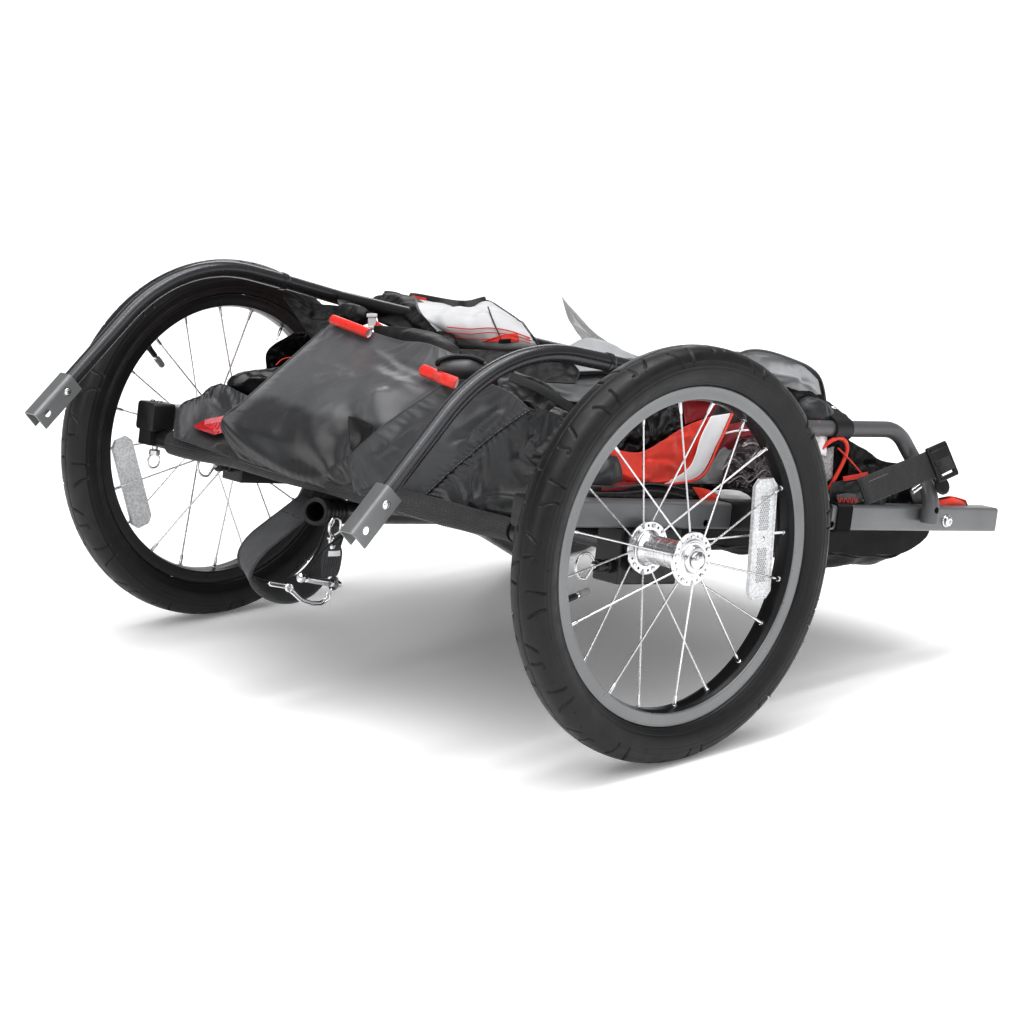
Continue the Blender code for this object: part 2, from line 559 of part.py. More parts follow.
# Hub profile, distance out from the trailer's middle and radius.
HUB = [
    (0.3125, 0.0070), (0.3125, 0.0120), (0.3160, 0.0135), (0.3172, 0.0255), (0.3198, 0.0255), (0.3215, 0.0160),
    (0.3290, 0.0135), (0.3660, 0.0135), (0.3735, 0.0160), (0.3752, 0.0255), (0.3778, 0.0255), (0.3790, 0.0135),
    (0.3830, 0.0120), (0.3830, 0.0070),
]
PHASE = {-1: math.radians(-0.5), 1: math.radians(-3.0)}
for s, side in SIDES:
    spin = wheel_axis[s]
    tyre = finish(bm_turned([(s * WHEEL_Y + y, r) for y, r in TYRE], 48), f"tyre_{side}", RUBBER, spin, smooth=40)
    tyre.rotation_euler = (0, math.pi / 48, 0)
    rim = finish(bm_turned([(s * WHEEL_Y + y, r) for y, r in RIM], 48), f"rim_{side}", RIM_PAINT, spin, smooth=40)
    rim.rotation_euler = (0, math.pi / 48, 0)
    hub = finish(bm_turned(HUB, 24, flip_y=s < 0), f"hub_and_spokes_{side}", ALLOY, spin, smooth=40)
    wires = bmesh.new()
    clear = bmesh.new()
    for k in range(SPOKES):
        # Radial lacing: alternate spokes run to the outer and the inner flange.
        a = PHASE[s] + 2 * math.pi * k / SPOKES
        out_flange = k % 2 == (1 if s < 0 else 0)
        yf = s * (0.3765 if out_flange else 0.3185)
        yr = s * (WHEEL_Y + (0.0008 if out_flange else -0.0008))
        p0 = (0.0205 * math.cos(a), yf, 0.0205 * math.sin(a))
        p1 = (SPOKE_END * math.cos(a), yr, SPOKE_END * math.sin(a))
        bm_rod(p0, p1, SPOKE_R, 6, bm=wires)
        bm_rod(p0, p1, SPOKE_R + 0.0005, 6, bm=clear)
    boolean(hub, cutter(wires, f"spoke_set_{side}", spin), "UNION")
    gaps = cutter(clear, f"spoke_clearance_{side}", spin)

    # Spoke reflector, clipped on between the two spoke planes.
    w, h = (0.0150, 0.0585) if s < 0 else (0.0130, 0.0515)
    outline = [(-w, -h + 0.007), (-w + 0.006, -h), (w - 0.006, -h), (w, -h + 0.007), (w, h - 0.007), (w - 0.006, h), (-w + 0.006, h), (-w, h - 0.007)]
    ya, yb = sorted((s * 0.3525, s * 0.3575))
    disc = finish(bm_prism(outline, ya, yb), f"spoke_reflector_{side}", REFLECT_WHITE, spin)
    if s < 0:
        disc.location = (0.1155, 0, -0.0035)
        disc.rotation_euler = (0, math.radians(4), 0)
    else:
        disc.location = (-0.1146, 0, -0.0325)
        disc.rotation_euler = (0, math.radians(-14.5), 0)
    boolean(disc, gaps)

    # Quick-release stub axle: shank in the receiver, domed end outside the hub.
    axle = bm_turned(
        [(0.2800, 0.0), (0.2800, 0.0050), (0.2812, AXLE_R), (0.3842, AXLE_R), (0.3848, 0.0085), (0.3868, 0.0085), (0.3885, 0.0060), (0.3892, 0.0)],
        20, flip_y=s < 0,
    )
    finish(axle, f"wheel_axle_{side}", CHROME, axle_line, smooth=40)


# ================================================================ tow arm, folded back under the floor
def on_floor(x, r):
    """Height of a bar's middle, of radius r, where it lies on the ground at chassis x."""
    return (r - WHEEL_R + math.sin(PITCH) * x) / math.cos(PITCH)


arm_path = filleted(
    [
        (0.545, RAIL_Y, 0.0418), (0.545, RAIL_Y, on_floor(0.545, TOW_R)), (0.425, RAIL_Y, on_floor(0.425, TOW_R)),
        (0.300, 0.240, -0.0750), (0.150, 0.140, -0.0450), (-0.1397, 0.0, -0.0220),
    ],
    [0.045, 0.10, 0.20, 0.30],
)
arm = tube("tow_arm", arm_path, TOW_R, BLACK_STEEL, tow_axis, TOW_OFF, rounds=4)
boolean(arm, cutter(bm_rod((0.545, RAIL_Y - 0.03, 0.0288), (0.545, RAIL_Y + 0.03, 0.0288), 0.0044), "arm_hole", tow_axis, TOW_OFF))
ARM_END = Vector((-0.1397, 0.0, -0.0220))
ARM_DIR = (Vector((0.150, 0.140, -0.0450)) - ARM_END).normalized()
end_bore = bm_rod(ARM_END - ARM_DIR * 0.01, ARM_END + ARM_DIR * 0.045, 0.0098, 16)
boolean(arm, cutter(end_bore, "arm_end_bore", tow_axis, TOW_OFF))

boot = finish(bm_rod(ARM_END - ARM_DIR * 0.003, ARM_END + ARM_DIR * 0.052, 0.0136, 20), "arm_end_sleeve", RUBBER, tow_axis, TOW_OFF, smooth=40)
boolean(boot, cutter(bm_rod(ARM_END - ARM_DIR * 0.02, ARM_END + ARM_DIR * 0.07, TOW_R + 0.0003, 20), "sleeve_inside", tow_axis, TOW_OFF))

# Safety strap: 38 mm webbing, a loop that hangs behind the arm's end.
loop_line = [
    (-0.113, -0.0205), (-0.138, -0.0385), (-0.156, -0.0515), (-0.177, -0.0675), (-0.188, -0.0805), (-0.191, -0.0890),
    (-0.189, -0.0980), (-0.176, -0.1090), (-0.155, -0.1165), (-0.132, -0.1165), (-0.110, -0.1080), (-0.094, -0.0900),
    (-0.084, -0.0620), (-0.080, -0.0450),
]


def band(line, half):
    """Closed outline of a strip of thickness 2 x half along an x-z line."""
    left, right = [], []
    for k, (x, z) in enumerate(line):
        x0, z0 = line[max(0, k - 1)]
        x1, z1 = line[min(len(line) - 1, k + 1)]
        n = math.hypot(x1 - x0, z1 - z0)
        nx, nz = -(z1 - z0) / n * half, (x1 - x0) / n * half
        left.append((x + nx, z + nz))
        right.append((x - nx, z - nz))
    return left + right[::-1]


finish(bm_prism(band(loop_line, 0.0012), 0.0290, 0.0620, lean=(0.012, 0.015)), "safety_strap", WEBBING, tow_axis, TOW_OFF)

# Snap hook and the short webbing tab that carries the hitch pin.
tab = finish(bm_prism([(-0.1345, -0.0550), (-0.1150, -0.0540), (-0.1120, -0.0600), (-0.1125, -0.0800), (-0.1170, -0.0840), (-0.1290, -0.0840), (-0.1340, -0.0780), (-0.1365, -0.0620)], -0.0145, -0.0105), "pin_tether", WEBBING, tow_axis, TOW_OFF)
hook = bm_rod((-0.1245, -0.0125, -0.0545), (-0.1275, -0.0125, -0.0400), 0.0024, 8)
boolean(tab, cutter(hook, "hook_shank", tow_axis, TOW_OFF), "UNION")
hook_ring = [
    (-0.1282 + 0.0062 * math.cos(a), -0.0125, -0.0345 + 0.0080 * math.sin(a))
    for a in (2 * math.pi * k / 14 for k in range(14))
]
boolean(tab, helper(tube("hook_ring", hook_ring, 0.0013, CHROME, tow_axis, TOW_OFF, rounds=1, cyclic=True)), "UNION")

# Hitch pin hanging level under the tab, with its wire keeper.
PIN_A, PIN_B = Vector((-0.1640, -0.0125, -0.0845)), Vector((-0.1090, -0.0125, -0.0925))
PIN_DIR = (PIN_B - PIN_A).normalized()
finish(bm_rod(PIN_A, PIN_B, 0.0036, 12), "hitch_pin", CHROME, tow_axis, TOW_OFF, smooth=40)
BAIL_AXIS = PIN_B - PIN_DIR * 0.010
keeper = [
    (-0.1290, -0.0181, -0.0985), (-0.1290, -0.0183, -0.1040), (-0.1370, -0.0188, -0.1085), (-0.1480, -0.0195, -0.1085), (-0.1610, -0.0195, -0.1050),
    (-0.1725, -0.0190, -0.0965), (-0.1820, -0.0185, -0.0905), (-0.2010, -0.0180, -0.0885),
]
tube("pin_keeper", keeper, 0.0014, CHROME, tow_axis, TOW_OFF, rounds=1)
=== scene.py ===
import math

import bmesh
import bpy
import numpy as np
from mathutils import Matrix, Vector


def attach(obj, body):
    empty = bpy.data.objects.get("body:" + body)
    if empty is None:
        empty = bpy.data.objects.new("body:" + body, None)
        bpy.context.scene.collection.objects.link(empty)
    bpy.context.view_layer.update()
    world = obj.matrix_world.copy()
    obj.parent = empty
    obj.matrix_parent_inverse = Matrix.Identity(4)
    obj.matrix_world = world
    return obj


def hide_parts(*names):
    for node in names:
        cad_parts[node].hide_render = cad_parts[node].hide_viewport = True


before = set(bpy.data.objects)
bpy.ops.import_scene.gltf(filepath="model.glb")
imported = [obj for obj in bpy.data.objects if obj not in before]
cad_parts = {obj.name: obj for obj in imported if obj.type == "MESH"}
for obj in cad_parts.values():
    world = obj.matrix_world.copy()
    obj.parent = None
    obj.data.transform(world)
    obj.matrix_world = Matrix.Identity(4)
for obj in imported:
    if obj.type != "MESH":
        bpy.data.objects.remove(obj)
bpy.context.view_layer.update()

SCENE = bpy.context.scene
TAU = 2 * math.pi

# ============================================================ frames and camera
PITCH = math.radians(9.4)
CP, SP = math.cos(PITCH), math.sin(PITCH)
WHEEL_R, WHEEL_Y = 0.1955, 0.357
SHIFT_X = -0.12426
HX, HZ = 0.4404, 0.0274
RACK = math.radians(1.14)


def W(x, y, z):
    """A point of the chassis frame, in the object's frame."""
    return Vector((x * CP + z * SP + SHIFT_X, y, -x * SP + z * CP + WHEEL_R))


def L(p):
    """Back to the chassis frame."""
    a, b = p[0] - SHIFT_X, p[2] - WHEEL_R
    return a * CP - b * SP, p[1], a * SP + b * CP


def T(x, y, z, s):
    """A point of one twisted side of the upper frame."""
    dx, dz = x - HX, z - HZ
    c, n = math.cos(s * RACK), math.sin(s * RACK)
    return W(HX + dx * c + dz * n, y, HZ - dx * n + dz * c)


CAM = Vector((-2.05456, -2.2978, 0.8727))
AZ, EL = math.radians(48.332), math.radians(-13.106)
FWD = Vector((math.cos(AZ) * math.cos(EL), math.sin(AZ) * math.cos(EL), math.sin(EL)))
RGT = FWD.cross(Vector((0, 0, 1))).normalized()
UPW = RGT.cross(FWD)
FOCAL = 3052.3

data = bpy.data.cameras.new("camera")
data.lens, data.sensor_width = FOCAL * 36 / 1024, 36
data.clip_start, data.clip_end = 0.05, 400
camera = bpy.data.objects.new("camera", data)
camera.matrix_world = Matrix.Translation(CAM) @ Matrix((RGT, UPW, -FWD)).transposed().to_4x4()
SCENE.collection.objects.link(camera)
SCENE.camera = camera


def ray(px, py):
    return FWD * FOCAL + RGT * (px - 512) - UPW * (py - 512)


def at(px, py, y):
    """The point seen at that pixel of the view, on the upright plane at that y."""
    d = ray(px, py)
    return CAM + d * ((y - CAM.y) / d.y)


def at_plane(px, py, origin, normal):
    d = ray(px, py)
    return CAM + d * ((origin - CAM).dot(normal) / d.dot(normal))


def at_h(px, py, height):
    """The point seen at that pixel, at that height over the chassis frame's base plane."""
    return at_plane(px, py, W(0, 0, height), Vector((SP, 0, CP)))


# ============================================================ studio
def stage_plane(name, size, location, mat):
    bm = bmesh.new()
    bmesh.ops.create_grid(bm, x_segments=8, y_segments=8, size=size)
    mesh = bpy.data.meshes.new(name)
    bm.to_mesh(mesh)
    bm.free()
    mesh.materials.append(mat)
    obj = bpy.data.objects.new(name, mesh)
    obj.location = location
    SCENE.collection.objects.link(obj)
    return obj


def area_light(name, at_point, to_point, size, power, colour=(1, 1, 1), spread=180):
    light = bpy.data.lights.new(name, "AREA")
    light.shape = "RECTANGLE"
    light.size, light.size_y = size
    light.energy = power
    light.color = colour
    light.spread = math.radians(spread)
    obj = bpy.data.objects.new(name, light)
    obj.location = at_point
    aim = Vector(to_point) - Vector(at_point)
    obj.rotation_euler = aim.to_track_quat("-Z", "Y").to_euler()
    SCENE.collection.objects.link(obj)
    return obj


world = bpy.data.worlds.new("studio")
world.use_nodes = True
wt = world.node_tree
back = wt.nodes["Background"]
tex = wt.nodes.new("ShaderNodeTexCoord")
sep = wt.nodes.new("ShaderNodeSeparateXYZ")
ramp = wt.nodes.new("ShaderNodeValToRGB")
wt.links.new(tex.outputs["Generated"], sep.inputs[0])
wt.links.new(sep.outputs["Z"], ramp.inputs[0])
wt.links.new(ramp.outputs[0], back.inputs[0])
ramp.color_ramp.elements[0].position = 0.0
ramp.color_ramp.elements[0].color = (1.0, 1.0, 1.0, 1)
ramp.color_ramp.elements[1].position = 0.85
ramp.color_ramp.elements[1].color = (0.34, 0.34, 0.35, 1)
low = ramp.color_ramp.elements.new(0.17)
low.color = (1.0, 1.0, 1.0, 1)
mid = ramp.color_ramp.elements.new(0.26)
mid.color = (0.22, 0.22, 0.225, 1)
back.inputs["Strength"].default_value = 1.02
SCENE.world = world
SCENE.view_settings.view_transform = "Standard"
SCENE.view_settings.look = "None"
SCENE.view_settings.gamma = 0.86

sun = bpy.data.lights.new("even_daylight", "SUN")
sun.energy = 2.3
sun.angle = math.radians(80)
sun_obj = bpy.data.objects.new("even_daylight", sun)
sun_obj.rotation_euler = (math.radians(12), math.radians(-10), 0)
SCENE.collection.objects.link(sun_obj)
area_light("overhead_softbox_a", (0.05, -0.55, 2.3), (0.0, -0.1, 0.15), (2.6, 0.20), 16)
area_light("overhead_softbox_b", (0.15, 0.45, 2.4), (0.0, 0.1, 0.1), (2.6, 0.26), 11)
area_light("left_softbox", (-2.6, -0.2, 1.5), (-0.1, 0.0, 0.2), (0.40, 1.5), 9)
area_light("front_softbox", (0.2, -2.9, 1.25), (0.1, 0.0, 0.2), (1.8, 0.7), 6)
area_light("back_softbox", (1.9, 2.2, 1.6), (0.1, 0.0, 0.2), (1.6, 0.9), 12)


# ============================================================ materials
class Mat:
    """A node material built step by step on one Principled shader."""

    def __init__(self, name, colour, rough, metal=0.0, **sockets):
        self.mat = bpy.data.materials.new(name)
        self.mat.use_nodes = True
        self.tree = self.mat.node_tree
        self.bsdf = self.tree.nodes["Principled BSDF"]
        self.colour = colour
        self.rough = rough
        self.bsdf.inputs["Base Color"].default_value = (*colour, 1)
        self.bsdf.inputs["Roughness"].default_value = rough
        self.bsdf.inputs["Metallic"].default_value = metal
        for key, value in sockets.items():
            self.bsdf.inputs[key.replace("_", " ")].default_value = value
        self.mat.diffuse_color = (*colour, 1)
        self.height = None

    def node(self, kind, values=None, **props):
        n = self.tree.nodes.new(kind)
        for key, value in props.items():
            setattr(n, key, value)
        for key, value in (values or {}).items():
            if isinstance(value, bpy.types.NodeSocket):
                self.tree.links.new(value, n.inputs[key])
            else:
                n.inputs[key].default_value = value
        return n

    def link(self, a, b):
        self.tree.links.new(a, b)

    def coords(self, kind="Object", scale=(1, 1, 1)):
        if kind == "UV":
            src = self.node("ShaderNodeUVMap").outputs[0]
        else:
            src = self.node("ShaderNodeTexCoord").outputs[kind]
        return self.node("ShaderNodeMapping", {"Vector": src, "Scale": scale}).outputs[0]

    def noise(self, scale, detail=3, rough=0.5, vec=None, distort=0.0):
        vec = vec or self.coords()
        return self.node(
            "ShaderNodeTexNoise", {"Vector": vec, "Scale": scale, "Detail": detail, "Roughness": rough, "Distortion": distort}
        ).outputs[0]

    def math(self, op, a, b=0.0, c=0.0, clamp=False):
        return self.node("ShaderNodeMath", {0: a, 1: b, 2: c}, operation=op, use_clamp=clamp).outputs[0]

    def remap(self, value, a0, a1, b0, b1):
        return self.node("ShaderNodeMapRange", {0: value, 1: a0, 2: a1, 3: b0, 4: b1}).outputs[0]

    def mix(self, fac, a, b):
        n = self.node("ShaderNodeMix", data_type="RGBA")
        for sock, value in ((n.inputs[0], fac), (n.inputs[6], a), (n.inputs[7], b)):
            if isinstance(value, bpy.types.NodeSocket):
                self.tree.links.new(value, sock)
            else:
                sock.default_value = value if not isinstance(value, tuple) or len(value) == 4 else (*value, 1)
        return n.outputs[2]

    def set(self, socket, value):
        self.tree.links.new(value, self.bsdf.inputs[socket])

    def tint(self, value, low, high, a0=0.3, a1=0.7):
        """Base colour between two multiples of the plain colour, along a mask."""
        fac = self.remap(value, a0, a1, 0, 1)
        ca = tuple(c * low for c in self.colour)
        cb = tuple(c * high for c in self.colour)
        out = self.mix(fac, ca, cb)
        self.set("Base Color", out)
        return out

    def rough_from(self, value, low, high, a0=0.3, a1=0.7):
        self.set("Roughness", self.remap(value, a0, a1, low, high))

    def bump(self, value, distance, strength=1.0):
        n = self.node("ShaderNodeBump", {"Height": value, "Distance": distance, "Strength": strength})
        if self.height is not None:
            self.link(self.height, n.inputs["Normal"])
        self.height = n.outputs[0]
        self.set("Normal", self.height)
        return n


def painted(name, colour, rough, metal, wear=0.25, coat=0.0):
    m = Mat(name, colour, rough, metal, Coat_Weight=coat, Coat_Roughness=0.12)
    big = m.noise(14, 4)
    fine = m.noise(90, 3)
    m.tint(big, 1 - wear * 0.35, 1 + wear * 0.35)
    m.rough_from(fine, rough * 0.88, rough * 1.14)
    m.bump(m.noise(60, 2), 0.00001, 0.2)
    return m.mat


def steel(name, colour, rough, brushed=0.0):
    m = Mat(name, colour, rough, 1.0)
    m.tint(m.noise(35, 4), 0.86, 1.06)
    m.rough_from(m.noise(180, 4), rough * 0.7, rough * 1.5)
    m.bump(m.noise(700, 3), 0.000003, 0.35)
    if brushed:
        m.bump(m.noise(260, 3, vec=m.coords("Object", (1, 9, 1))), 0.00008, brushed)
    return m.mat


def plastic(name, colour, rough, grain=0.5):
    m = Mat(name, colour, rough, 0.0)
    m.tint(m.noise(30, 3), 0.85, 1.15)
    m.rough_from(m.noise(160, 3), rough * 0.85, rough * 1.2)
    m.bump(m.noise(1100, 2), 0.00002, grain)
    return m.mat


def nylon(name, colour, rough, sheen=0.15, weave=1500, depth=0.00010, crease=0.0005, light=0.22, spec=0.5, scale=1.0):
    """Woven nylon: two crossed thread waves, broad tone change and a slight crumple."""
    m = Mat(name, colour, rough, 0.0, Sheen_Weight=sheen, Sheen_Roughness=0.4, Specular_IOR_Level=spec)
    uv = m.coords("UV")
    sx = m.node("ShaderNodeSeparateXYZ", {0: uv})
    wx = m.math("SINE", m.math("MULTIPLY", sx.outputs[0], weave * TAU))
    wy = m.math("SINE", m.math("MULTIPLY", sx.outputs[1], weave * TAU))
    over = m.math("MULTIPLY", wx, wy)
    tone = m.noise(9 * scale, 5, 0.6)
    m.tint(tone, 1 - light, 1 + light, 0.32, 0.68)
    m.rough_from(m.noise(26 * scale, 4), rough * 0.82, rough * 1.22)
    m.bump(over, depth * 0.45, 0.35)
    if crease:
        m.bump(m.noise(38 * scale, 5, 0.58, distort=0.6), crease, 0.9)
        m.bump(m.noise(140 * scale, 3, 0.5), crease * 0.22, 0.8)
    return m.mat


def painted_sheen_split(mat, point, normal, soft, low, high):
    """Makes the cloth lighter on one side of a plane: painted sheen, where the satin above the fold catches more light.
    """
    nt = mat.node_tree
    shader = next(n for n in nt.nodes if n.type == "BSDF_PRINCIPLED")
    link = shader.inputs["Base Color"].links[0]
    source = link.from_socket
    co = nt.nodes.new("ShaderNodeTexCoord")
    dot = nt.nodes.new("ShaderNodeVectorMath")
    dot.operation = "DOT_PRODUCT"
    dot.inputs[1].default_value = tuple(normal)
    nt.links.new(co.outputs["Object"], dot.inputs[0])
    noise = nt.nodes.new("ShaderNodeTexNoise")
    noise.inputs["Scale"].default_value = 26
    nt.links.new(co.outputs["Object"], noise.inputs["Vector"])
    add = nt.nodes.new("ShaderNodeMath")
    add.operation = "MULTIPLY_ADD"
    add.inputs[1].default_value = soft * 2.2
    nt.links.new(noise.outputs[0], add.inputs[0])
    nt.links.new(dot.outputs["Value"], add.inputs[2])
    d0 = Vector(point).dot(Vector(normal)) + soft * 1.1
    rng = nt.nodes.new("ShaderNodeMapRange")
    rng.interpolation_type = "SMOOTHSTEP"
    rng.inputs["From Min"].default_value = d0 - soft
    rng.inputs["From Max"].default_value = d0 + soft
    rng.inputs["To Min"].default_value = low
    rng.inputs["To Max"].default_value = high
    nt.links.new(add.outputs[0], rng.inputs["Value"])
    mul = nt.nodes.new("ShaderNodeVectorMath")
    mul.operation = "SCALE"
    nt.links.new(source, mul.inputs[0])
    nt.links.new(rng.outputs[0], mul.inputs["Scale"])
    nt.links.new(mul.outputs[0], shader.inputs["Base Color"])


def ribbed(name, colour, rough, pitch=0.0022, depth=0.0004, across=True, cross_pitch=0.0011):
    """Webbing: strong ribs one way, fine ribs the other."""
    m = Mat(name, colour, rough, 0.0, Sheen_Weight=0.12, Sheen_Roughness=0.4)
    uv = m.coords("UV")
    sx = m.node("ShaderNodeSeparateXYZ", {0: uv})
    a, b = (0, 1) if across else (1, 0)
    ribs = m.math("SINE", m.math("MULTIPLY", sx.outputs[a], TAU / pitch))
    fine = m.math("SINE", m.math("MULTIPLY", sx.outputs[b], TAU / cross_pitch))
    m.tint(m.math("ADD", m.math("MULTIPLY", ribs, 0.25), m.noise(40, 4)), 0.7, 1.5)
    m.bump(m.math("ADD", ribs, m.math("MULTIPLY", fine, 0.35)), depth, 0.8)
    m.bump(m.noise(60, 3), 0.0006, 0.5)
    return m.mat


def mesh_cloth(name, colour, rough, pitch=0.0013, hole=0.30, see=1.0):
    """Knitted mesh: small open holes between the threads."""
    m = Mat(name, colour, rough, 0.0, Sheen_Weight=0.2)
    uv = m.coords("UV")
    sx = m.node("ShaderNodeSeparateXYZ", {0: uv})
    fx = m.math("FRACT", m.math("MULTIPLY", sx.outputs[0], 1 / pitch))
    fy = m.math("FRACT", m.math("MULTIPLY", sx.outputs[1], 1 / pitch))
    dx, dy = m.math("SUBTRACT", fx, 0.5), m.math("SUBTRACT", fy, 0.5)
    d = m.math("SQRT", m.math("ADD", m.math("MULTIPLY", dx, dx), m.math("MULTIPLY", dy, dy)))
    solid = m.math("GREATER_THAN", d, hole)
    m.set("Alpha", m.math("MAXIMUM", solid, 1 - see))
    m.tint(m.noise(14, 4), 0.75, 1.3)
    m.bump(m.noise(45, 4, 0.6), 0.0008, 0.8)
    return m.mat


GUNMETAL = painted("gunmetal_satin_paint", (0.084, 0.085, 0.089), 0.25, 0.70, 0.2, 0.0)
# painted light: a lighter, rougher copy of the gunmetal paint for the leg tubes, which catch more light than the rear
# hoop
LEG_GUNMETAL_LIT = painted("gunmetal_painted_light_legs", (0.150, 0.151, 0.155), 0.36, 0.45, 0.15, 0.0)
RAIL_PAINT = painted("rail_grey_paint", (0.195, 0.200, 0.205), 0.36, 0.35, 0.35, 0.1)
BRACKET_PAINT = painted("bracket_grey_paint", (0.235, 0.240, 0.242), 0.33, 0.45, 0.4, 0.1)
BLACK_STEEL = painted("black_steel_paint", (0.014, 0.014, 0.015), 0.30, 0.15, 0.5, 0.2)
BLACK_PLASTIC = plastic("black_moulded_plastic", (0.013, 0.013, 0.014), 0.42)
GREY_PLASTIC = plastic("grey_moulded_plastic", (0.20, 0.20, 0.205), 0.45)
WHITE_PLASTIC = plastic("white_moulded_plastic", (0.72, 0.72, 0.71), 0.38)
CHROME = steel("bright_zinc_steel", (0.78, 0.78, 0.79), 0.16)
ALLOY = steel("polished_alloy", (0.80, 0.80, 0.81), 0.20, 0.25)
SPOKE_STEEL = steel("spoke_steel", (0.82, 0.82, 0.83), 0.24)
DARK_STEEL = steel("dark_steel", (0.20, 0.20, 0.21), 0.3)
RED_PLASTIC = plastic("red_moulded_plastic", (0.55, 0.025, 0.02), 0.3, 0.2)
THREAD_RED = plastic("red_thread", (0.62, 0.05, 0.03), 0.7)
THREAD_GREY = plastic("grey_thread", (0.25, 0.25, 0.25), 0.8)
THREAD_BLACK = plastic("black_thread", (0.012, 0.012, 0.013), 0.7)

CHARCOAL = nylon("charcoal_nylon", (0.046, 0.047, 0.049), 0.33, 0.08, crease=0.00045)
CHARCOAL_DARK = nylon("charcoal_nylon_dark", (0.030, 0.031, 0.033), 0.38, 0.08)
SHEEN_PAINTED_PANEL = nylon("charcoal_panel_painted_sheen", (0.062, 0.063, 0.066), 0.33, 0.08, crease=0.0005)
# painted light: the main panel is lighter above this plane and darker below it, as the satin catches the light
painted_sheen_split(SHEEN_PAINTED_PANEL, (0.0, 0.0, 0.2855), (0.0, 0.0, 1.0), 0.0045, 0.46, 1.42)
GREY_NYLON = nylon("grey_nylon", (0.085, 0.087, 0.090), 0.40, 0.10)
CHARCOAL_SHINE = nylon("charcoal_nylon_shiny", (0.034, 0.035, 0.037), 0.27, 0.05, crease=0.0006)
BLACK_NYLON = nylon("black_nylon", (0.006, 0.006, 0.0065), 0.42, 0.02, spec=0.35)
BLACK_FILM = nylon("black_coated_cloth", (0.008, 0.008, 0.009), 0.20, 0.0, crease=0.0009)
RED_NYLON = nylon("red_nylon", (0.80, 0.060, 0.034), 0.40, 0.10, light=0.16)
DARK_RED = nylon("dark_red_nylon", (0.27, 0.008, 0.014), 0.36, 0.08, light=0.25)
WHITE_NYLON = nylon("white_nylon", (0.88, 0.88, 0.89), 0.48, 0.04, light=0.06)
GREY_VINYL = nylon("grey_pvc", (0.37, 0.375, 0.385), 0.20, 0.0, depth=0.00003, light=0.12, crease=0.0004)
CANOPY_CLOTH = nylon("canopy_white_cloth", (0.50, 0.50, 0.51), 0.50, 0.04, light=0.10)
LIGHT_SHEET = nylon("pale_grey_cloth", (0.33, 0.335, 0.345), 0.45, 0.15, light=0.12)
WEBBING = ribbed("black_webbing", (0.016, 0.016, 0.017), 0.6)
STRAP_WEB = ribbed("charcoal_strap_webbing", (0.045, 0.046, 0.049), 0.5, 0.0021, 0.00045)
BINDING = ribbed("black_binding_tape", (0.011, 0.011, 0.012), 0.6, 0.0016, 0.00025)
RED_BINDING = ribbed("red_binding_tape", (0.55, 0.03, 0.02), 0.5, 0.0016, 0.0002)
BLACK_MESH = mesh_cloth("black_bug_mesh", (0.012, 0.012, 0.013), 0.6)
BLACK_MESH_SOLID = nylon("black_screen_cloth", (0.0055, 0.0055, 0.006), 0.42, 0.0, weave=900, depth=0.0002, crease=0.0006, light=0.35, spec=0.18, scale=1.6)
RED_BINDING_SMOOTH = nylon("red_webbing_handle", (0.72, 0.035, 0.022), 0.30, 0.05, weave=700, depth=0.00012, crease=0.0001, light=0.08)
GREY_MESH = mesh_cloth("grey_bug_mesh", (0.17, 0.172, 0.178), 0.5, 0.0017, 0.20)


def tyre_material():
    m = Mat("tyre_rubber", (0.0085, 0.0085, 0.0090), 0.38, 0.0, Specular_IOR_Level=0.42)
    m.tint(m.noise(24, 5, 0.6), 0.75, 1.5)
    m.rough_from(m.noise(70, 4, 0.6), 0.34, 0.52)
    m.bump(m.noise(900, 3), 0.00002, 0.5)
    m.bump(m.noise(45, 3), 0.0004, 0.4)
    return m.mat


def rim_material(name, colour, metal):
    m = Mat(name, colour, 0.28, metal)
    m.tint(m.noise(12, 3), 0.92, 1.08)
    m.rough_from(m.noise(60, 3), 0.27, 0.33)
    return m.mat


def film_material(name, colour, rough, alpha):
    m = Mat(name, colour, rough, 0.0, Alpha=alpha, Coat_Weight=0.6, Coat_Roughness=0.05)
    m.tint(m.noise(30, 4), 0.8, 1.2)
    m.bump(m.noise(55, 4, 0.6, distort=0.8), 0.0012, 0.9)
    return m.mat


def reflector_material(name, colour, metal=0.0):
    """Moulded lens: a tight grid of small prisms under a clear face."""
    m = Mat(name, colour, 0.16, metal, Coat_Weight=0.8, Coat_Roughness=0.05)
    v = m.node("ShaderNodeTexVoronoi", {"Vector": m.coords(), "Scale": 420}, feature="F1").outputs[0]
    m.tint(v, 0.72, 1.12, 0.0, 0.8)
    m.bump(v, 0.0004, 0.7)
    return m.mat


TYRE = tyre_material()
RIM_PAINT = rim_material("rim_grey_anodised", (0.235, 0.238, 0.242), 0.60)
# painted shade: a dark copy of the rim finish for the barrel and the inboard face, which sit in shade
RIM_SHADE_PAINT = rim_material("rim_painted_shade", (0.020, 0.020, 0.021), 0.30)
PALE_SCREEN = film_material("pale_screen_cloth", (0.55, 0.555, 0.565), 0.45, 0.62)
CLEAR_FILM = film_material("clear_window_film", (0.62, 0.60, 0.61), 0.10, 0.34)
SMOKE_FILM = film_material("smoky_window_film", (0.055, 0.034, 0.040), 0.07, 0.66)
REFLECT_WHITE = reflector_material("white_reflector_lens", (0.72, 0.73, 0.74))
REFLECT_RED = reflector_material("red_reflector_lens", (0.45, 0.012, 0.018))
# painted highlight: a pale pink copy of the red lens for the top bevel of the rear reflector
LENS_TOP_HIGHLIGHT = reflector_material("red_lens_painted_highlight", (0.62, 0.16, 0.18))


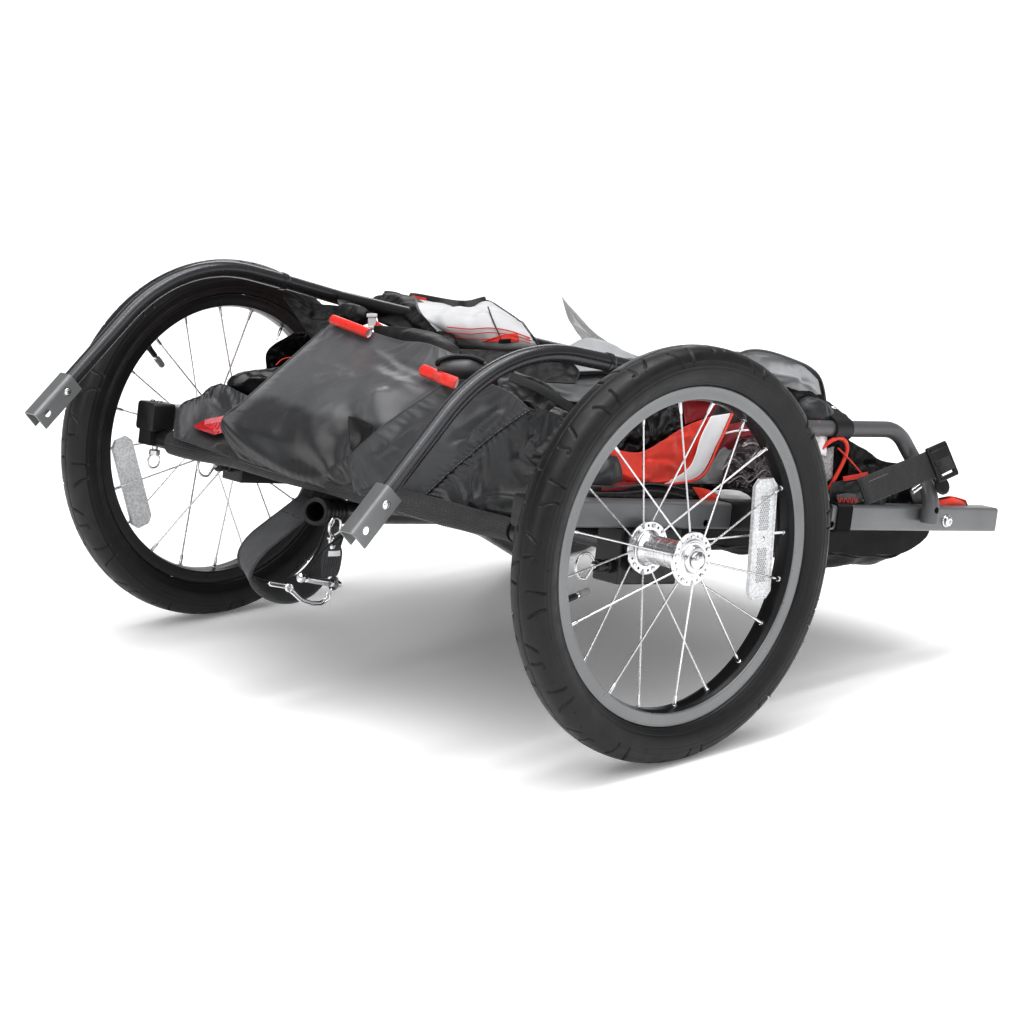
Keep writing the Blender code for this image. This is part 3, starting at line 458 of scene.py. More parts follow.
def floor_material():
    m = Mat("studio_floor", (0.97, 0.97, 0.97), 0.55, 0.0, Specular_IOR_Level=0.25, Emission_Color=(1, 1, 1, 1), Emission_Strength=0.14)
    m.tint(m.noise(3, 2), 0.995, 1.005)
    return m.mat


stage_plane("studio_floor", 60.0, (0, 0, 0), floor_material())


# ============================================================ mesh helpers
def add_object(name, mesh, mats, body, smooth=None):
    if smooth is not None:
        mesh.shade_smooth()
        if smooth < 180:
            mesh.set_sharp_from_angle(angle=math.radians(smooth))
    for mat in mats if isinstance(mats, (list, tuple)) else [mats]:
        mesh.materials.append(mat)
    obj = bpy.data.objects.new(name, mesh)
    SCENE.collection.objects.link(obj)
    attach(obj, body)
    return obj


def from_bm(bm, name, mats, body, smooth=40, weld=True):
    if weld:
        bmesh.ops.remove_doubles(bm, verts=bm.verts, dist=1e-6)
    bmesh.ops.recalc_face_normals(bm, faces=bm.faces)
    mesh = bpy.data.meshes.new(name)
    bm.to_mesh(mesh)
    bm.free()
    return add_object(name, mesh, mats, body, smooth)


def bevel_mod(obj, width, segments=2, angle=35):
    mod = obj.modifiers.new("edge_round", "BEVEL")
    mod.width = width
    mod.segments = segments
    mod.limit_method = "ANGLE"
    mod.angle_limit = math.radians(angle)
    mod.harden_normals = False
    return mod


def grid_bm(P, wrap_u=False, wrap_v=False, uv=None, bm=None, cap_u=False, mat_index=0, face_mat=None):
    """Quads over an nu x nv x 3 array. `uv` holds metres along and across."""
    P = np.asarray(P, float)
    nu, nv = P.shape[:2]
    bm = bm or bmesh.new()
    layer = bm.loops.layers.uv.get("UVMap") or bm.loops.layers.uv.new("UVMap")
    verts = [[bm.verts.new(P[i, j]) for j in range(nv)] for i in range(nu)]
    if uv is None:
        du = np.linalg.norm(np.diff(P, axis=0), axis=2).mean(1)
        dv = np.linalg.norm(np.diff(P, axis=1), axis=2).mean(0)
        uu = np.concatenate([[0], np.cumsum(du)])
        vv = np.concatenate([[0], np.cumsum(dv)])
        uv = np.stack(np.meshgrid(uu, vv, indexing="ij"), 2)
    step_u = uv[1, 0, 0] - uv[0, 0, 0]
    step_v = uv[0, 1, 1] - uv[0, 0, 1]
    for i in range(nu if wrap_u else nu - 1):
        for j in range(nv if wrap_v else nv - 1):
            i2, j2 = (i + 1) % nu, (j + 1) % nv
            try:
                f = bm.faces.new((verts[i][j], verts[i2][j], verts[i2][j2], verts[i][j2]))
            except ValueError:
                continue
            f.smooth = True
            f.material_index = mat_index if face_mat is None else face_mat(i, j)
            u0, v0 = uv[i, j]
            u1 = uv[i2, j, 0] if i2 else u0 + step_u
            v1 = uv[i, j2, 1] if j2 else v0 + step_v
            for loop, pair in zip(f.loops, ((u0, v0), (u1, v0), (u1, v1), (u0, v1))):
                loop[layer].uv = pair
    if cap_u:
        for row in (verts[0], verts[-1]):
            f = bm.faces.new(row)
            f.smooth = False
            f.material_index = mat_index
    return bm


def smooth_line(points, n, closed=False):
    """A centripetal-like smooth curve through points, n samples evenly along it."""
    P = np.array([list(p) for p in points], float)
    if len(P) == 2:
        return P[0] + (P[1] - P[0]) * np.linspace(0, 1, n)[:, None]
    if closed:
        P = np.vstack([P[-1:], P, P[:2]])
    else:
        P = np.vstack([2 * P[:1] - P[1:2], P, 2 * P[-1:] - P[-2:-1]])
    out = []
    for k in range(1, len(P) - 2):
        a, b, c, d = P[k - 1], P[k], P[k + 1], P[k + 2]
        lab = max(np.linalg.norm(b - a), 1e-9) ** 0.5
        lbc = max(np.linalg.norm(c - b), 1e-9) ** 0.5
        lcd = max(np.linalg.norm(d - c), 1e-9) ** 0.5
        m1 = (c - b) + lbc * ((b - a) / lab - (c - a) / (lab + lbc))
        m2 = (c - b) + lbc * ((d - c) / lcd - (d - b) / (lbc + lcd))
        t = np.linspace(0, 1, 24, endpoint=False)[:, None]
        out.append(
            (2 * t**3 - 3 * t**2 + 1) * b + (t**3 - 2 * t**2 + t) * m1 + (-2 * t**3 + 3 * t**2) * c + (t**3 - t**2) * m2
        )
    out.append(P[-2:-1])
    Q = np.vstack(out)
    s = np.concatenate([[0], np.cumsum(np.linalg.norm(np.diff(Q, axis=0), axis=1))])
    want = np.linspace(0, s[-1], n, endpoint=not closed)
    return np.stack([np.interp(want, s, Q[:, k]) for k in range(3)], 1)


def frames(P, up=(0, 0, 1), closed=False):
    """Tangent, side and up vectors along a line, turned as little as possible."""
    P = np.asarray(P, float)
    if closed:
        t = np.roll(P, -1, 0) - np.roll(P, 1, 0)
    else:
        t = np.gradient(P, axis=0)
    t /= np.linalg.norm(t, axis=1)[:, None]
    u = np.asarray(up, float)
    u = u - t[0] * u.dot(t[0])
    if np.linalg.norm(u) < 1e-4:
        u = np.array([0, 1.0, 0]) - t[0] * t[0][1]
    u /= np.linalg.norm(u)
    ups = [u]
    for k in range(1, len(P)):
        u = ups[-1] - t[k] * ups[-1].dot(t[k])
        ups.append(u / np.linalg.norm(u))
    ups = np.array(ups)
    side = np.cross(t, ups)
    return t, side, ups


def sweep(P, section, up=(0, 0, 1), closed=False, scale=None, cap=True, bm=None, mat_index=0, fixed_up=False, twist=None):
    """Carry a closed (side, up) section along a line. `scale` may be a number or pair per point."""
    P = np.asarray([list(p) for p in P], float)
    t, side, ups = frames(P, up, closed)
    if fixed_up:
        u0 = np.asarray(up, float)
        side = np.cross(t, u0)
        side /= np.linalg.norm(side, axis=1)[:, None]
        ups = np.cross(side, t)
    if twist is not None:
        c, s = np.cos(twist)[:, None], np.sin(twist)[:, None]
        side, ups = side * c + ups * s, ups * c - side * s
    sec = np.asarray(section, float)
    if scale is None:
        sc = np.ones((len(P), 2))
    else:
        sc = np.asarray(scale, float)
        if sc.ndim == 1:
            sc = np.stack([sc, sc], 1)
    G = P[:, None] + side[:, None] * (sec[None, :, 0] * sc[:, None, 0])[..., None] + ups[:, None] * (sec[None, :, 1] * sc[:, None, 1])[..., None]
    return grid_bm(G, wrap_u=closed, wrap_v=True, bm=bm, cap_u=cap and not closed, mat_index=mat_index)


def circle(r, n=24, phase=0.0):
    a = np.linspace(0, TAU, n, endpoint=False) + phase
    return np.stack([r * np.cos(a), r * np.sin(a)], 1)


def rounded_rect(w, h, r, n=4):
    """Counter-clockwise outline, half sizes w and h, corner radius r."""
    out = []
    for cx, cy, a0 in ((w - r, h - r, 0), (-w + r, h - r, 90), (-w + r, -h + r, 180), (w - r, -h + r, 270)):
        for k in range(n + 1):
            a = math.radians(a0 + 90 * k / n)
            out.append((cx + r * math.cos(a), cy + r * math.sin(a)))
    return np.array(out)


def tube_obj(name, P, r, mat, body, sides=28, replaces=(), closed=False, cap_round=0.0, scale=None, smooth=40):
    P = np.asarray([list(p) for p in P], float)
    bm = sweep(P, circle(r, sides), closed=closed, scale=scale)
    obj = from_bm(bm, name, mat, body, smooth)
    if cap_round:
        bevel_mod(obj, cap_round, 2, 50)
    if replaces:
        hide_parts(*replaces)
    return obj


def rod_bm(p0, p1, r, sides=16, bm=None, r2=None, mat_index=0, rounded=0.0):
    """A turned bar between two points, its rims rounded."""
    p0, p1 = Vector(p0), Vector(p1)
    r2 = r if r2 is None else r2
    d = (p1 - p0).normalized()
    ln = (p1 - p0).length
    e = min(rounded, 0.45 * ln, 0.9 * min(r, r2))
    prof = [(0.0, 0.0)]
    if e > 0:
        prof += [(e * (1 - math.cos(a)), r - e + e * math.sin(a)) for a in (0, math.pi / 6, math.pi / 3, math.pi / 2)]
        prof += [(ln - e + e * math.sin(a), r2 - e + e * math.cos(a)) for a in (0, math.pi / 6, math.pi / 3, math.pi / 2)]
    else:
        prof += [(0.0, r), (ln, r2)]
    prof.append((ln, 0.0))
    return lathe_bm(p0, d, prof, sides, bm=bm, mat_index=mat_index)


def lathe_bm(origin, axis, profile, steps, bm=None, mat_index=0, closed=False, phase=0.0):
    """Turn an (along, radius) profile about an axis through origin."""
    bm = bm or bmesh.new()
    origin, axis = Vector(origin), Vector(axis).normalized()
    u = axis.orthogonal().normalized()
    v = axis.cross(u)
    rings = []
    for h, r in profile:
        c = origin + axis * h
        if r <= 1e-9:
            rings.append([bm.verts.new(c)])
        else:
            rings.append([bm.verts.new(c + (u * math.cos(a) + v * math.sin(a)) * r) for a in (phase + TAU * k / steps for k in range(steps))])
    pairs = list(zip(rings, rings[1:])) + ([(rings[-1], rings[0])] if closed else [])
    for a, b in pairs:
        for k in range(steps):
            k2 = (k + 1) % steps
            quad = [a[k % len(a)], a[k2 % len(a)], b[k2 % len(b)], b[k % len(b)]]
            quad = [x for n, x in enumerate(quad) if x not in quad[:n]]
            if len(quad) > 2:
                f = bm.faces.new(quad)
                f.smooth = True
                f.material_index = mat_index
    return bm


def box_bm(centre, half, axes=None, bm=None, mat_index=0):
    """A box by its centre, half sizes and three axes."""
    bm = bm or bmesh.new()
    axes = axes or (Vector((1, 0, 0)), Vector((0, 1, 0)), Vector((0, 0, 1)))
    c = Vector(centre)
    v = {}
    for i in (-1, 1):
        for j in (-1, 1):
            for k in (-1, 1):
                v[i, j, k] = bm.verts.new(c + axes[0] * (i * half[0]) + axes[1] * (j * half[1]) + axes[2] * (k * half[2]))
    for quad in (
        ((-1, -1, -1), (-1, -1, 1), (-1, 1, 1), (-1, 1, -1)), ((1, -1, -1), (1, 1, -1), (1, 1, 1), (1, -1, 1)),
        ((-1, -1, -1), (1, -1, -1), (1, -1, 1), (-1, -1, 1)), ((-1, 1, -1), (-1, 1, 1), (1, 1, 1), (1, 1, -1)),
        ((-1, -1, -1), (-1, 1, -1), (1, 1, -1), (1, -1, -1)), ((-1, -1, 1), (1, -1, 1), (1, 1, 1), (-1, 1, 1)),
    ):
        f = bm.faces.new([v[q] for q in quad])
        f.material_index = mat_index
    return bm


AX_X = W(1, 0, 0) - W(0, 0, 0)
AX_Y = Vector((0, 1, 0))
AX_Z = W(0, 0, 1) - W(0, 0, 0)
AXES = (AX_X, AX_Y, AX_Z)


def local_box(x0, x1, y0, y1, z0, z1, bm=None, mat_index=0):
    return box_bm(W((x0 + x1) / 2, (y0 + y1) / 2, (z0 + z1) / 2), ((x1 - x0) / 2, (y1 - y0) / 2, (z1 - z0) / 2), AXES, bm, mat_index)


# smooth random fields over space, the same on every run
_rng = np.random.RandomState(7)
_PERM = _rng.permutation(512)
_PERM = np.concatenate([_PERM, _PERM])
_GRAD = _rng.normal(size=(512, 3))
_GRAD /= np.linalg.norm(_GRAD, axis=1)[:, None]


def pnoise(P):
    """Gradient noise, about -0.7 to 0.7."""
    P = np.asarray(P, float)
    i = np.floor(P).astype(int)
    f = P - i
    i &= 511
    w = f * f * f * (f * (f * 6 - 15) + 10)
    total = np.zeros(P.shape[:-1])
    for dx in (0, 1):
        for dy in (0, 1):
            for dz in (0, 1):
                h = _PERM[(_PERM[(_PERM[(i[..., 0] + dx) & 511] + i[..., 1] + dy) & 511] + i[..., 2] + dz) & 511]
                g = _GRAD[h]
                d = np.stack([f[..., 0] - dx, f[..., 1] - dy, f[..., 2] - dz], -1)
                wx = w[..., 0] if dx else 1 - w[..., 0]
                wy = w[..., 1] if dy else 1 - w[..., 1]
                wz = w[..., 2] if dz else 1 - w[..., 2]
                total += wx * wy * wz * (g * d).sum(-1)
    return total


def fbm(P, octaves=3, gain=0.5):
    out, amp = 0, 1.0
    P = np.asarray(P, float)
    for _ in range(octaves):
        out = out + amp * pnoise(P)
        P = P * 2.03 + 11.7
        amp *= gain
    return out


def grid_normals(P):
    du = np.gradient(P, axis=0)
    dv = np.gradient(P, axis=1)
    n = np.cross(du, dv)
    return n / np.maximum(np.linalg.norm(n, axis=2)[..., None], 1e-12)


def edge_fade(nu, nv, width=0.12, sides="tblr"):
    """1 inside, falling to 0 at the named borders of a grid."""
    u = np.linspace(0, 1, nu)[:, None] * np.ones((1, nv))
    v = np.linspace(0, 1, nv)[None, :] * np.ones((nu, 1))
    m = np.ones((nu, nv))
    for key, d in (("l", u), ("r", 1 - u), ("b", v), ("t", 1 - v)):
        if key in sides:
            x = np.clip(d / width, 0, 1)
            m = m * (x * x * (3 - 2 * x))
    return m


def coons(bottom, right, top, left, nu, nv):
    """A patch between four border lines. u runs along bottom and top, v along left and right."""
    b, t = smooth_line(bottom, nu), smooth_line(top, nu)
    l, r = smooth_line(left, nv), smooth_line(right, nv)
    u = np.linspace(0, 1, nu)[:, None, None]
    v = np.linspace(0, 1, nv)[None, :, None]
    P = (1 - v) * b[:, None] + v * t[:, None] + (1 - u) * l[None] + u * r[None]
    P -= (1 - u) * (1 - v) * b[0] + u * (1 - v) * b[-1] + (1 - u) * v * t[0] + u * v * t[-1]
    return P


def spline_grid(rows, nu, nv):
    """A surface through rows of points: each row runs along u, and the rows follow v."""
    lines = np.array([smooth_line(row, nu) for row in rows])
    cols = [smooth_line(lines[:, i], nv) for i in range(nu)]
    return np.array(cols)


def cloth_settle(P, name, pin, frames_n=22, shrink=-0.03, gravity=0.2, pressure=0.0, cap=0.010, bend=0.4, stiff=12.0, mass=0.25, limit=None):
    """Let a grid of cloth buckle and sag between its held points, and read it back as a grid."""
    P = np.asarray(P, float)
    nu, nv = P.shape[:2]
    bm = grid_bm(P)
    mesh = bpy.data.meshes.new(name + "_sim")
    bm.verts.ensure_lookup_table()
    bm.to_mesh(mesh)
    bm.free()
    obj = bpy.data.objects.new(name + "_sim", mesh)
    SCENE.collection.objects.link(obj)
    group = obj.vertex_groups.new(name="held")
    w = np.asarray(pin, float).reshape(-1)
    for k in np.nonzero(w > 0)[0]:
        group.add([int(k)], float(w[k]), "REPLACE")
    mod = obj.modifiers.new("cloth", "CLOTH")
    cs = mod.settings
    cs.quality = 6
    cs.mass = mass
    cs.tension_stiffness = stiff
    cs.compression_stiffness = stiff
    cs.shear_stiffness = stiff * 0.4
    cs.bending_stiffness = bend
    cs.tension_damping = 8
    cs.compression_damping = 8
    cs.shear_damping = 6
    cs.bending_damping = 0.8
    cs.air_damping = 2.0
    cs.vertex_group_mass = "held"
    cs.pin_stiffness = 2.0
    cs.shrink_min = shrink
    cs.effector_weights.gravity = gravity
    if pressure:
        cs.use_pressure = True
        cs.uniform_pressure_force = pressure
    mod.collision_settings.use_collision = False
    mod.collision_settings.use_self_collision = False
    mod.point_cache.frame_start = 1
    mod.point_cache.frame_end = frames_n + 2
    for k in range(1, frames_n + 1):
        SCENE.frame_set(k)
    dg = bpy.context.evaluated_depsgraph_get()
    ev = obj.evaluated_get(dg).to_mesh()
    co = np.empty(len(ev.vertices) * 3, np.float32)
    ev.vertices.foreach_get("co", co)
    bpy.data.objects.remove(obj, do_unlink=True)
    bpy.data.meshes.remove(mesh)
    SCENE.frame_set(1)
    Q = co.reshape(nu, nv, 3).astype(float)
    d = Q - P
    ln = np.linalg.norm(d, axis=2)
    lim = cap * np.tanh(ln / cap)
    d *= (lim / np.maximum(ln, 1e-9))[..., None]
    return P + d


def thick_grid(P, name, mats, body, thick=0.0012, uv=None, subdiv=0, face_mat=None, smooth=180, round_edge=True):
    """A sheet with two faces and a rolled border, from a grid."""
    P = np.asarray(P, float)
    nu, nv = P.shape[:2]
    if uv is None:
        du = np.linalg.norm(np.diff(P, axis=0), axis=2).mean(1)
        dv = np.linalg.norm(np.diff(P, axis=1), axis=2).mean(0)
        uv = np.stack(np.meshgrid(np.concatenate([[0], np.cumsum(du)]), np.concatenate([[0], np.cumsum(dv)]), indexing="ij"), 2)
    N = grid_normals(P) * (thick / 2)
    bm = grid_bm(P + N, uv=uv, face_mat=face_mat)
    front = {(round(v.co.x, 7), round(v.co.y, 7), round(v.co.z, 7)): v for v in bm.verts}
    bm.verts.ensure_lookup_table()
    top = [bm.verts[k] for k in range(nu * nv)]
    n0 = len(bm.verts)
    grid_bm((P - N)[::-1], uv=uv[::-1], bm=bm, face_mat=None if face_mat is None else (lambda i, j: face_mat(nu - 2 - i, j)))
    bm.verts.ensure_lookup_table()
    low = [bm.verts[n0 + k] for k in range(nu * nv)]

    def a(i, j):
        return top[i * nv + j]

    def b(i, j):
        return low[(nu - 1 - i) * nv + j]

    ring = [(i, 0) for i in range(nu)] + [(nu - 1, j) for j in range(1, nv)] + [(i, nv - 1) for i in range(nu - 2, -1, -1)] + [(0, j) for j in range(nv - 2, 0, -1)]
    layer = bm.loops.layers.uv.get("UVMap")
    for k in range(len(ring)):
        p, q = ring[k], ring[(k + 1) % len(ring)]
        f = bm.faces.new((a(*p), b(*p), b(*q), a(*q)))
        f.smooth = True
        for loop, ij in zip(f.loops, (p, p, q, q)):
            loop[layer].uv = tuple(uv[ij[0], ij[1]])
        if face_mat is not None:
            f.material_index = face_mat(min(p[0], nu - 2), min(p[1], nv - 2))
    bmesh.ops.recalc_face_normals(bm, faces=bm.faces)
    mesh = bpy.data.meshes.new(name)
    bm.to_mesh(mesh)
    bm.free()
    obj = add_object(name, mesh, mats, body, smooth)
    if subdiv:
        mod = obj.modifiers.new("smooth_cloth", "SUBSURF")
        mod.levels = mod.render_levels = subdiv
    return obj


def grid_area(P):
    a = P[1:, :-1] - P[:-1, :-1]
    b = P[:-1, 1:] - P[:-1, :-1]
    c = P[1:, 1:] - P[:-1, 1:]
    d = P[1:, 1:] - P[1:, :-1]
    return 0.5 * (np.linalg.norm(np.cross(a, b), axis=2).sum() + np.linalg.norm(np.cross(c, d), axis=2).sum())


def declare_sheet(P):
    """Works out the flat size of a sheet from its own grid; nothing is kept or returned."""
    w = float(np.linalg.norm(np.diff(P, axis=0), axis=2).sum(0).max())
    h = float(np.linalg.norm(np.diff(P, axis=1), axis=2).sum(1).max())
    area = float(grid_area(P))
    area = min(max(area, 0.31 * w * h), w * h)


def stitches(points, n, length, r, mat, name, body, normal=None, lift=0.0004):
    """A row of short raised threads along a line."""
    line = smooth_line(points, n * 2 + 1)
    bm = bmesh.new()
    for k in range(n):
        a, b = Vector(line[2 * k]), Vector(line[2 * k + 1])
        mid_p = (a + b) / 2
        d = (b - a).normalized() * (length / 2)
        off = Vector(normal) * lift if normal is not None else Vector((0, 0, lift))
        rod_bm(mid_p - d + off, mid_p + d + off, r, 6, bm=bm, rounded=r * 0.7)
    return from_bm(bm, name, mat, body, 60)


def piping(name, points, r, mat, body, n=None, sides=10, closed=False, declare=True, replaces=()):
    """A bound edge: a round welt along a line."""
    P = smooth_line(points, n or max(12, int(len(points) * 10)), closed)
    obj = tube_obj(name, P, r, mat, body, sides=sides, closed=closed)
    if replaces:
        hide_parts(*replaces)
    return obj


PIECES = {}


# ============================================================ frame tubes
BEND_R, SIDE_R, LEG_R = 0.0084, 0.0077, 0.00825
SIDE_Y, RAIL_Y, RAIL = 0.2548, 0.2957, 0.025
RAIL_X0, RAIL_X1, RAIL_Z0 = -0.139, 0.523, 0.0163
SPLICE_X = -0.013
LEG_DIR = Vector((0.6511, 0, 0.7590)).normalized()
LEG_OUT = Vector((-LEG_DIR.z, 0, LEG_DIR.x))
RIVET = Vector((-0.2777, 0, 0.0423))
HOLE = RIVET - LEG_DIR * 0.0304
BEND_TOP = Vector((-0.1510, 0, 0.1909))
SIDES = ((-1, "right"), (1, "left"))


def side_z(x):
    return 0.1734 - 0.1446 * (x - SPLICE_X)


def leg_y(z):
    t = min(1.0, max(0.0, (0.105 - z) / 0.060))
    return 0.285 + 0.0334 * t * t * (3 - 2 * t)


def filleted(points, radii, step=math.radians(4)):
    pts = [Vector(p) for p in points]
    out = [pts[0]]
    for k in range(1, len(pts) - 1):
        a, b, c = pts[k - 1], pts[k], pts[k + 1]
        u, v = (a - b).normalized(), (c - b).normalized()
        angle = math.pi - u.angle(v)
        r = radii[k - 1]
        if angle < 1e-4 or r <= 0:
            out.append(b)
            continue
        start = b + u * (r * math.tan(angle / 2))
        centre = b + (u + v).normalized() * (r / math.cos(angle / 2))
        arm0 = start - centre
        n = max(2, math.ceil(angle / step))
        for j in range(n + 1):
            turn = angle * j / n
            out.append(centre + arm0 * math.cos(turn) - u * (r * math.sin(turn)))
    out.append(pts[-1])
    return out


def resample(points, step):
    P = np.array([list(p) for p in points], float)
    s = np.concatenate([[0], np.cumsum(np.linalg.norm(np.diff(P, axis=0), axis=1))])
    n = max(2, int(round(s[-1] / step)) + 1)
    want = np.linspace(0, s[-1], n)
    return np.stack([np.interp(want, s, P[:, k]) for k in range(3)], 1)


def cut_mesh(bm, cutters):
    """The closed mesh bm with the closed cutter meshes taken out of it."""
    made = []
    for source in [bm] + list(cutters):
        bmesh.ops.remove_doubles(source, verts=source.verts, dist=1e-6)
        bmesh.ops.recalc_face_normals(source, faces=source.faces)
        mesh = bpy.data.meshes.new("cut")
        source.to_mesh(mesh)
        source.free()
        o = bpy.data.objects.new("cut", mesh)
        SCENE.collection.objects.link(o)
        made.append(o)
    for other in made[1:]:
        mod = made[0].modifiers.new("cut", "BOOLEAN")
        mod.operation = "DIFFERENCE"
        mod.solver = "EXACT"
        mod.object = other
    bpy.context.view_layer.update()
    ev = made[0].evaluated_get(bpy.context.evaluated_depsgraph_get())
    mesh = bpy.data.meshes.new_from_object(ev)
    for o in made:
        bpy.data.objects.remove(o, do_unlink=True)
    out = bmesh.new()
    out.from_mesh(mesh)
    bpy.data.meshes.remove(mesh)
    return out


def lathe_y(cx, cz, profile, steps, bm=None, mat_index=0, sign=1, phase=0.0, to=None):
    """Turn a (y, radius) profile about a line along Y at (cx, cz)."""
    bm = bm or bmesh.new()
    rings = []
    for y, r in profile:
        if r <= 1e-9:
            rings.append([bm.verts.new((cx, sign * y, cz))])
        else:
            rings.append([bm.verts.new((cx + r * math.cos(a), sign * y, cz + r * math.sin(a))) for a in (phase + TAU * k / steps for k in range(steps))])
    for a, b in zip(rings, rings[1:]):
        for k in range(steps):
            k2 = (k + 1) % steps
            quad = [a[k % len(a)], a[k2 % len(a)], b[k2 % len(b)], b[k % len(b)]]
            quad = [x for n, x in enumerate(quad) if x not in quad[:n]]
            if len(quad) > 2:
                f = bm.faces.new(quad)
                f.smooth = True
                f.material_index = mat_index
    return bm


def dome_head(centre, normal, r, h, bm=None, mat_index=0, steps=24):
    """A domed rivet or bolt head with a thin washer lip."""
    prof = [(0.0, 0.0), (0.0, r * 1.25), (h * 0.18, r * 1.25), (h * 0.22, r)]
    prof += [(h * (0.22 + 0.78 * math.sin(a)), r * math.cos(a)) for a in np.linspace(0.25, math.pi / 2, 6)[:-1]]
    prof.append((h, 0.0))
    return lathe_bm(centre, normal, prof, steps, bm=bm, mat_index=mat_index)


def socket_bolt(centre, normal, r, h, bm=None, mat_index=0, dark=1):
    """A button-head bolt with a recessed hexagonal socket."""
    prof = [(0.0, 0.0), (0.0, r), (h * 0.35, r), (h * 0.75, r * 0.86), (h, r * 0.55), (h, r * 0.42), (h * 0.4, r * 0.40), (h * 0.4, 0.0)]
    return lathe_bm(centre, normal, prof, 24, bm=bm, mat_index=mat_index)


for s, side in SIDES:
    at_y = Vector((0, s * SIDE_Y, 0))
    body = "upper_frame"
    path = filleted(
        [RIVET - LEG_DIR * 0.009 + at_y, BEND_TOP + at_y, Vector((SPLICE_X - 0.0003, 0, side_z(SPLICE_X))) + at_y], [0.1686], math.radians(2.5)
    )
    path = resample([T(p.x, p.y, p.z, s) for p in path], 0.006)
    # The bent tube ends in a rolled lip round the thinner side tube.
    scale = np.ones(len(path))
    tube_obj(f"rear_bend_tube_{side}", path, BEND_R, GUNMETAL, body, 32, (f"rear_bend_{side}",), cap_round=0.0012, scale=scale)
    p0, p1 = T(SPLICE_X, s * SIDE_Y, side_z(SPLICE_X), s), T(0.300, s * SIDE_Y, side_z(0.300), s)
    tube_obj(f"side_run_tube_{side}", resample([p0, p1], 0.02), SIDE_R, GUNMETAL, body, 32, (f"side_tube_{side}",), cap_round=0.0015)
    bm = bmesh.new()
    d = (p1 - p0).normalized()
    lathe_bm(p0 - d * 0.0065, d, [(0, 0.0083), (0, 0.0091), (0.0012, 0.0094), (0.0050, 0.0094), (0.0066, 0.0088), (0.0066, 0.0077)], 32, bm=bm, closed=True)
    collar = from_bm(bm, f"splice_collar_{side}", GUNMETAL, body)
    bm = bmesh.new()
    q = p0 + d * 0.020
    dome_head(q + Vector((0, s * 0.0068, 0)), (0, s, 0), 0.0026, 0.0016, bm)
    from_bm(bm, f"splice_rivet_{side}", CHROME, body)

    flat = filleted([(0.235, 0, 0.1185), (0.398, 0, 0.1185), (0.4005, 0, 0.045), (0.401, 0, 0.028)], [0.045, 0.0], math.radians(5))
    run = []
    for a, b in zip(flat, flat[1:]):
        n = max(1, round((b - a).length / 0.005))
        run += [a.lerp(b, j / n) for j in range(n)]
    run.append(flat[-1])
    P = [T(p.x, s * leg_y(p.z), p.z, s) for p in run]
    swell = [1.0 if p.z > 0.052 else 1.0 + 0.14 * min(1.0, (0.052 - p.z) / 0.016) for p in run]
    leg = sweep(P, circle(LEG_R, 32), scale=swell)
    bore = rod_bm(T(0.4012, s * 0.3184, 0.015, s), T(0.4005, s * 0.3184, 0.052, s), 0.0070, 28)
    cross = rod_bm(T(0.4008, s * 0.3184 - 0.02, 0.0419, s), T(0.4008, s * 0.3184 + 0.02, 0.0419, s), 0.0035, 20)
    leg = cut_mesh(leg, [bore, cross])
    # the leg tubes take the lighter copy of the gunmetal paint: painted light
    obj = from_bm(leg, f"leg_and_foot_{side}", LEG_GUNMETAL_LIT, body, 35)
    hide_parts(f"leg_tube_{side}")

    # End bracket: folded sheet, web outside, two cheeks, rivet above and open hole below.
    top, low = RIVET + LEG_DIR * 0.014, HOLE - LEG_DIR * 0.012
    wall, rr, hw, n0, n1 = 0.0019, 0.0046, 0.0106, -0.0108, 0.0105
    outer = [(-hw, n0)] + [(-hw + rr - rr * math.cos(a), n1 - rr + rr * math.sin(a)) for a in np.linspace(0, math.pi / 2, 7)]
    outer += [(hw - rr + rr * math.sin(a), n1 - rr + rr * math.cos(a)) for a in np.linspace(0, math.pi / 2, 7)] + [(hw, n0)]
    ri = rr - wall
    inner = [(hw - wall, n0)] + [(hw - wall - ri + ri * math.cos(a), n1 - wall - ri + ri * math.sin(a)) for a in np.linspace(0, math.pi / 2, 7)]
    inner += [(-hw + wall + ri - ri * math.sin(a), n1 - wall - ri + ri * math.cos(a)) for a in np.linspace(0, math.pi / 2, 7)] + [(-hw + wall, n0)]
    section = outer + inner
    bm = bmesh.new()
    rows = []
    for base in (low, top):
        rows.append([bm.verts.new(T(base.x + LEG_OUT.x * n, s * SIDE_Y + y, base.z + LEG_OUT.z * n, s)) for y, n in section])
    bm.faces.new(rows[0])
    bm.faces.new(rows[1][::-1])
    for k in range(len(section)):
        k2 = (k + 1) % len(section)
        bm.faces.new((rows[0][k], rows[1][k], rows[1][k2], rows[0][k2]))
    hole = rod_bm(T(HOLE.x, s * SIDE_Y - 0.02, HOLE.z, s), T(HOLE.x, s * SIDE_Y + 0.02, HOLE.z, s), 0.0039, 28)
    bm = cut_mesh(bm, [hole])
    obj = from_bm(bm, f"folded_end_bracket_{side}", BRACKET_PAINT, body, 35)
    bevel_mod(obj, 0.0004, 2, 50)
    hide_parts(f"end_bracket_{side}")
    bm = bmesh.new()
    for k in (-1, 1):
        dome_head(T(RIVET.x, s * SIDE_Y + k * 0.0104, RIVET.z, s), (0, k, 0), 0.0036, 0.0018, bm)
    obj = from_bm(bm, f"bracket_rivets_{side}", CHROME, body)

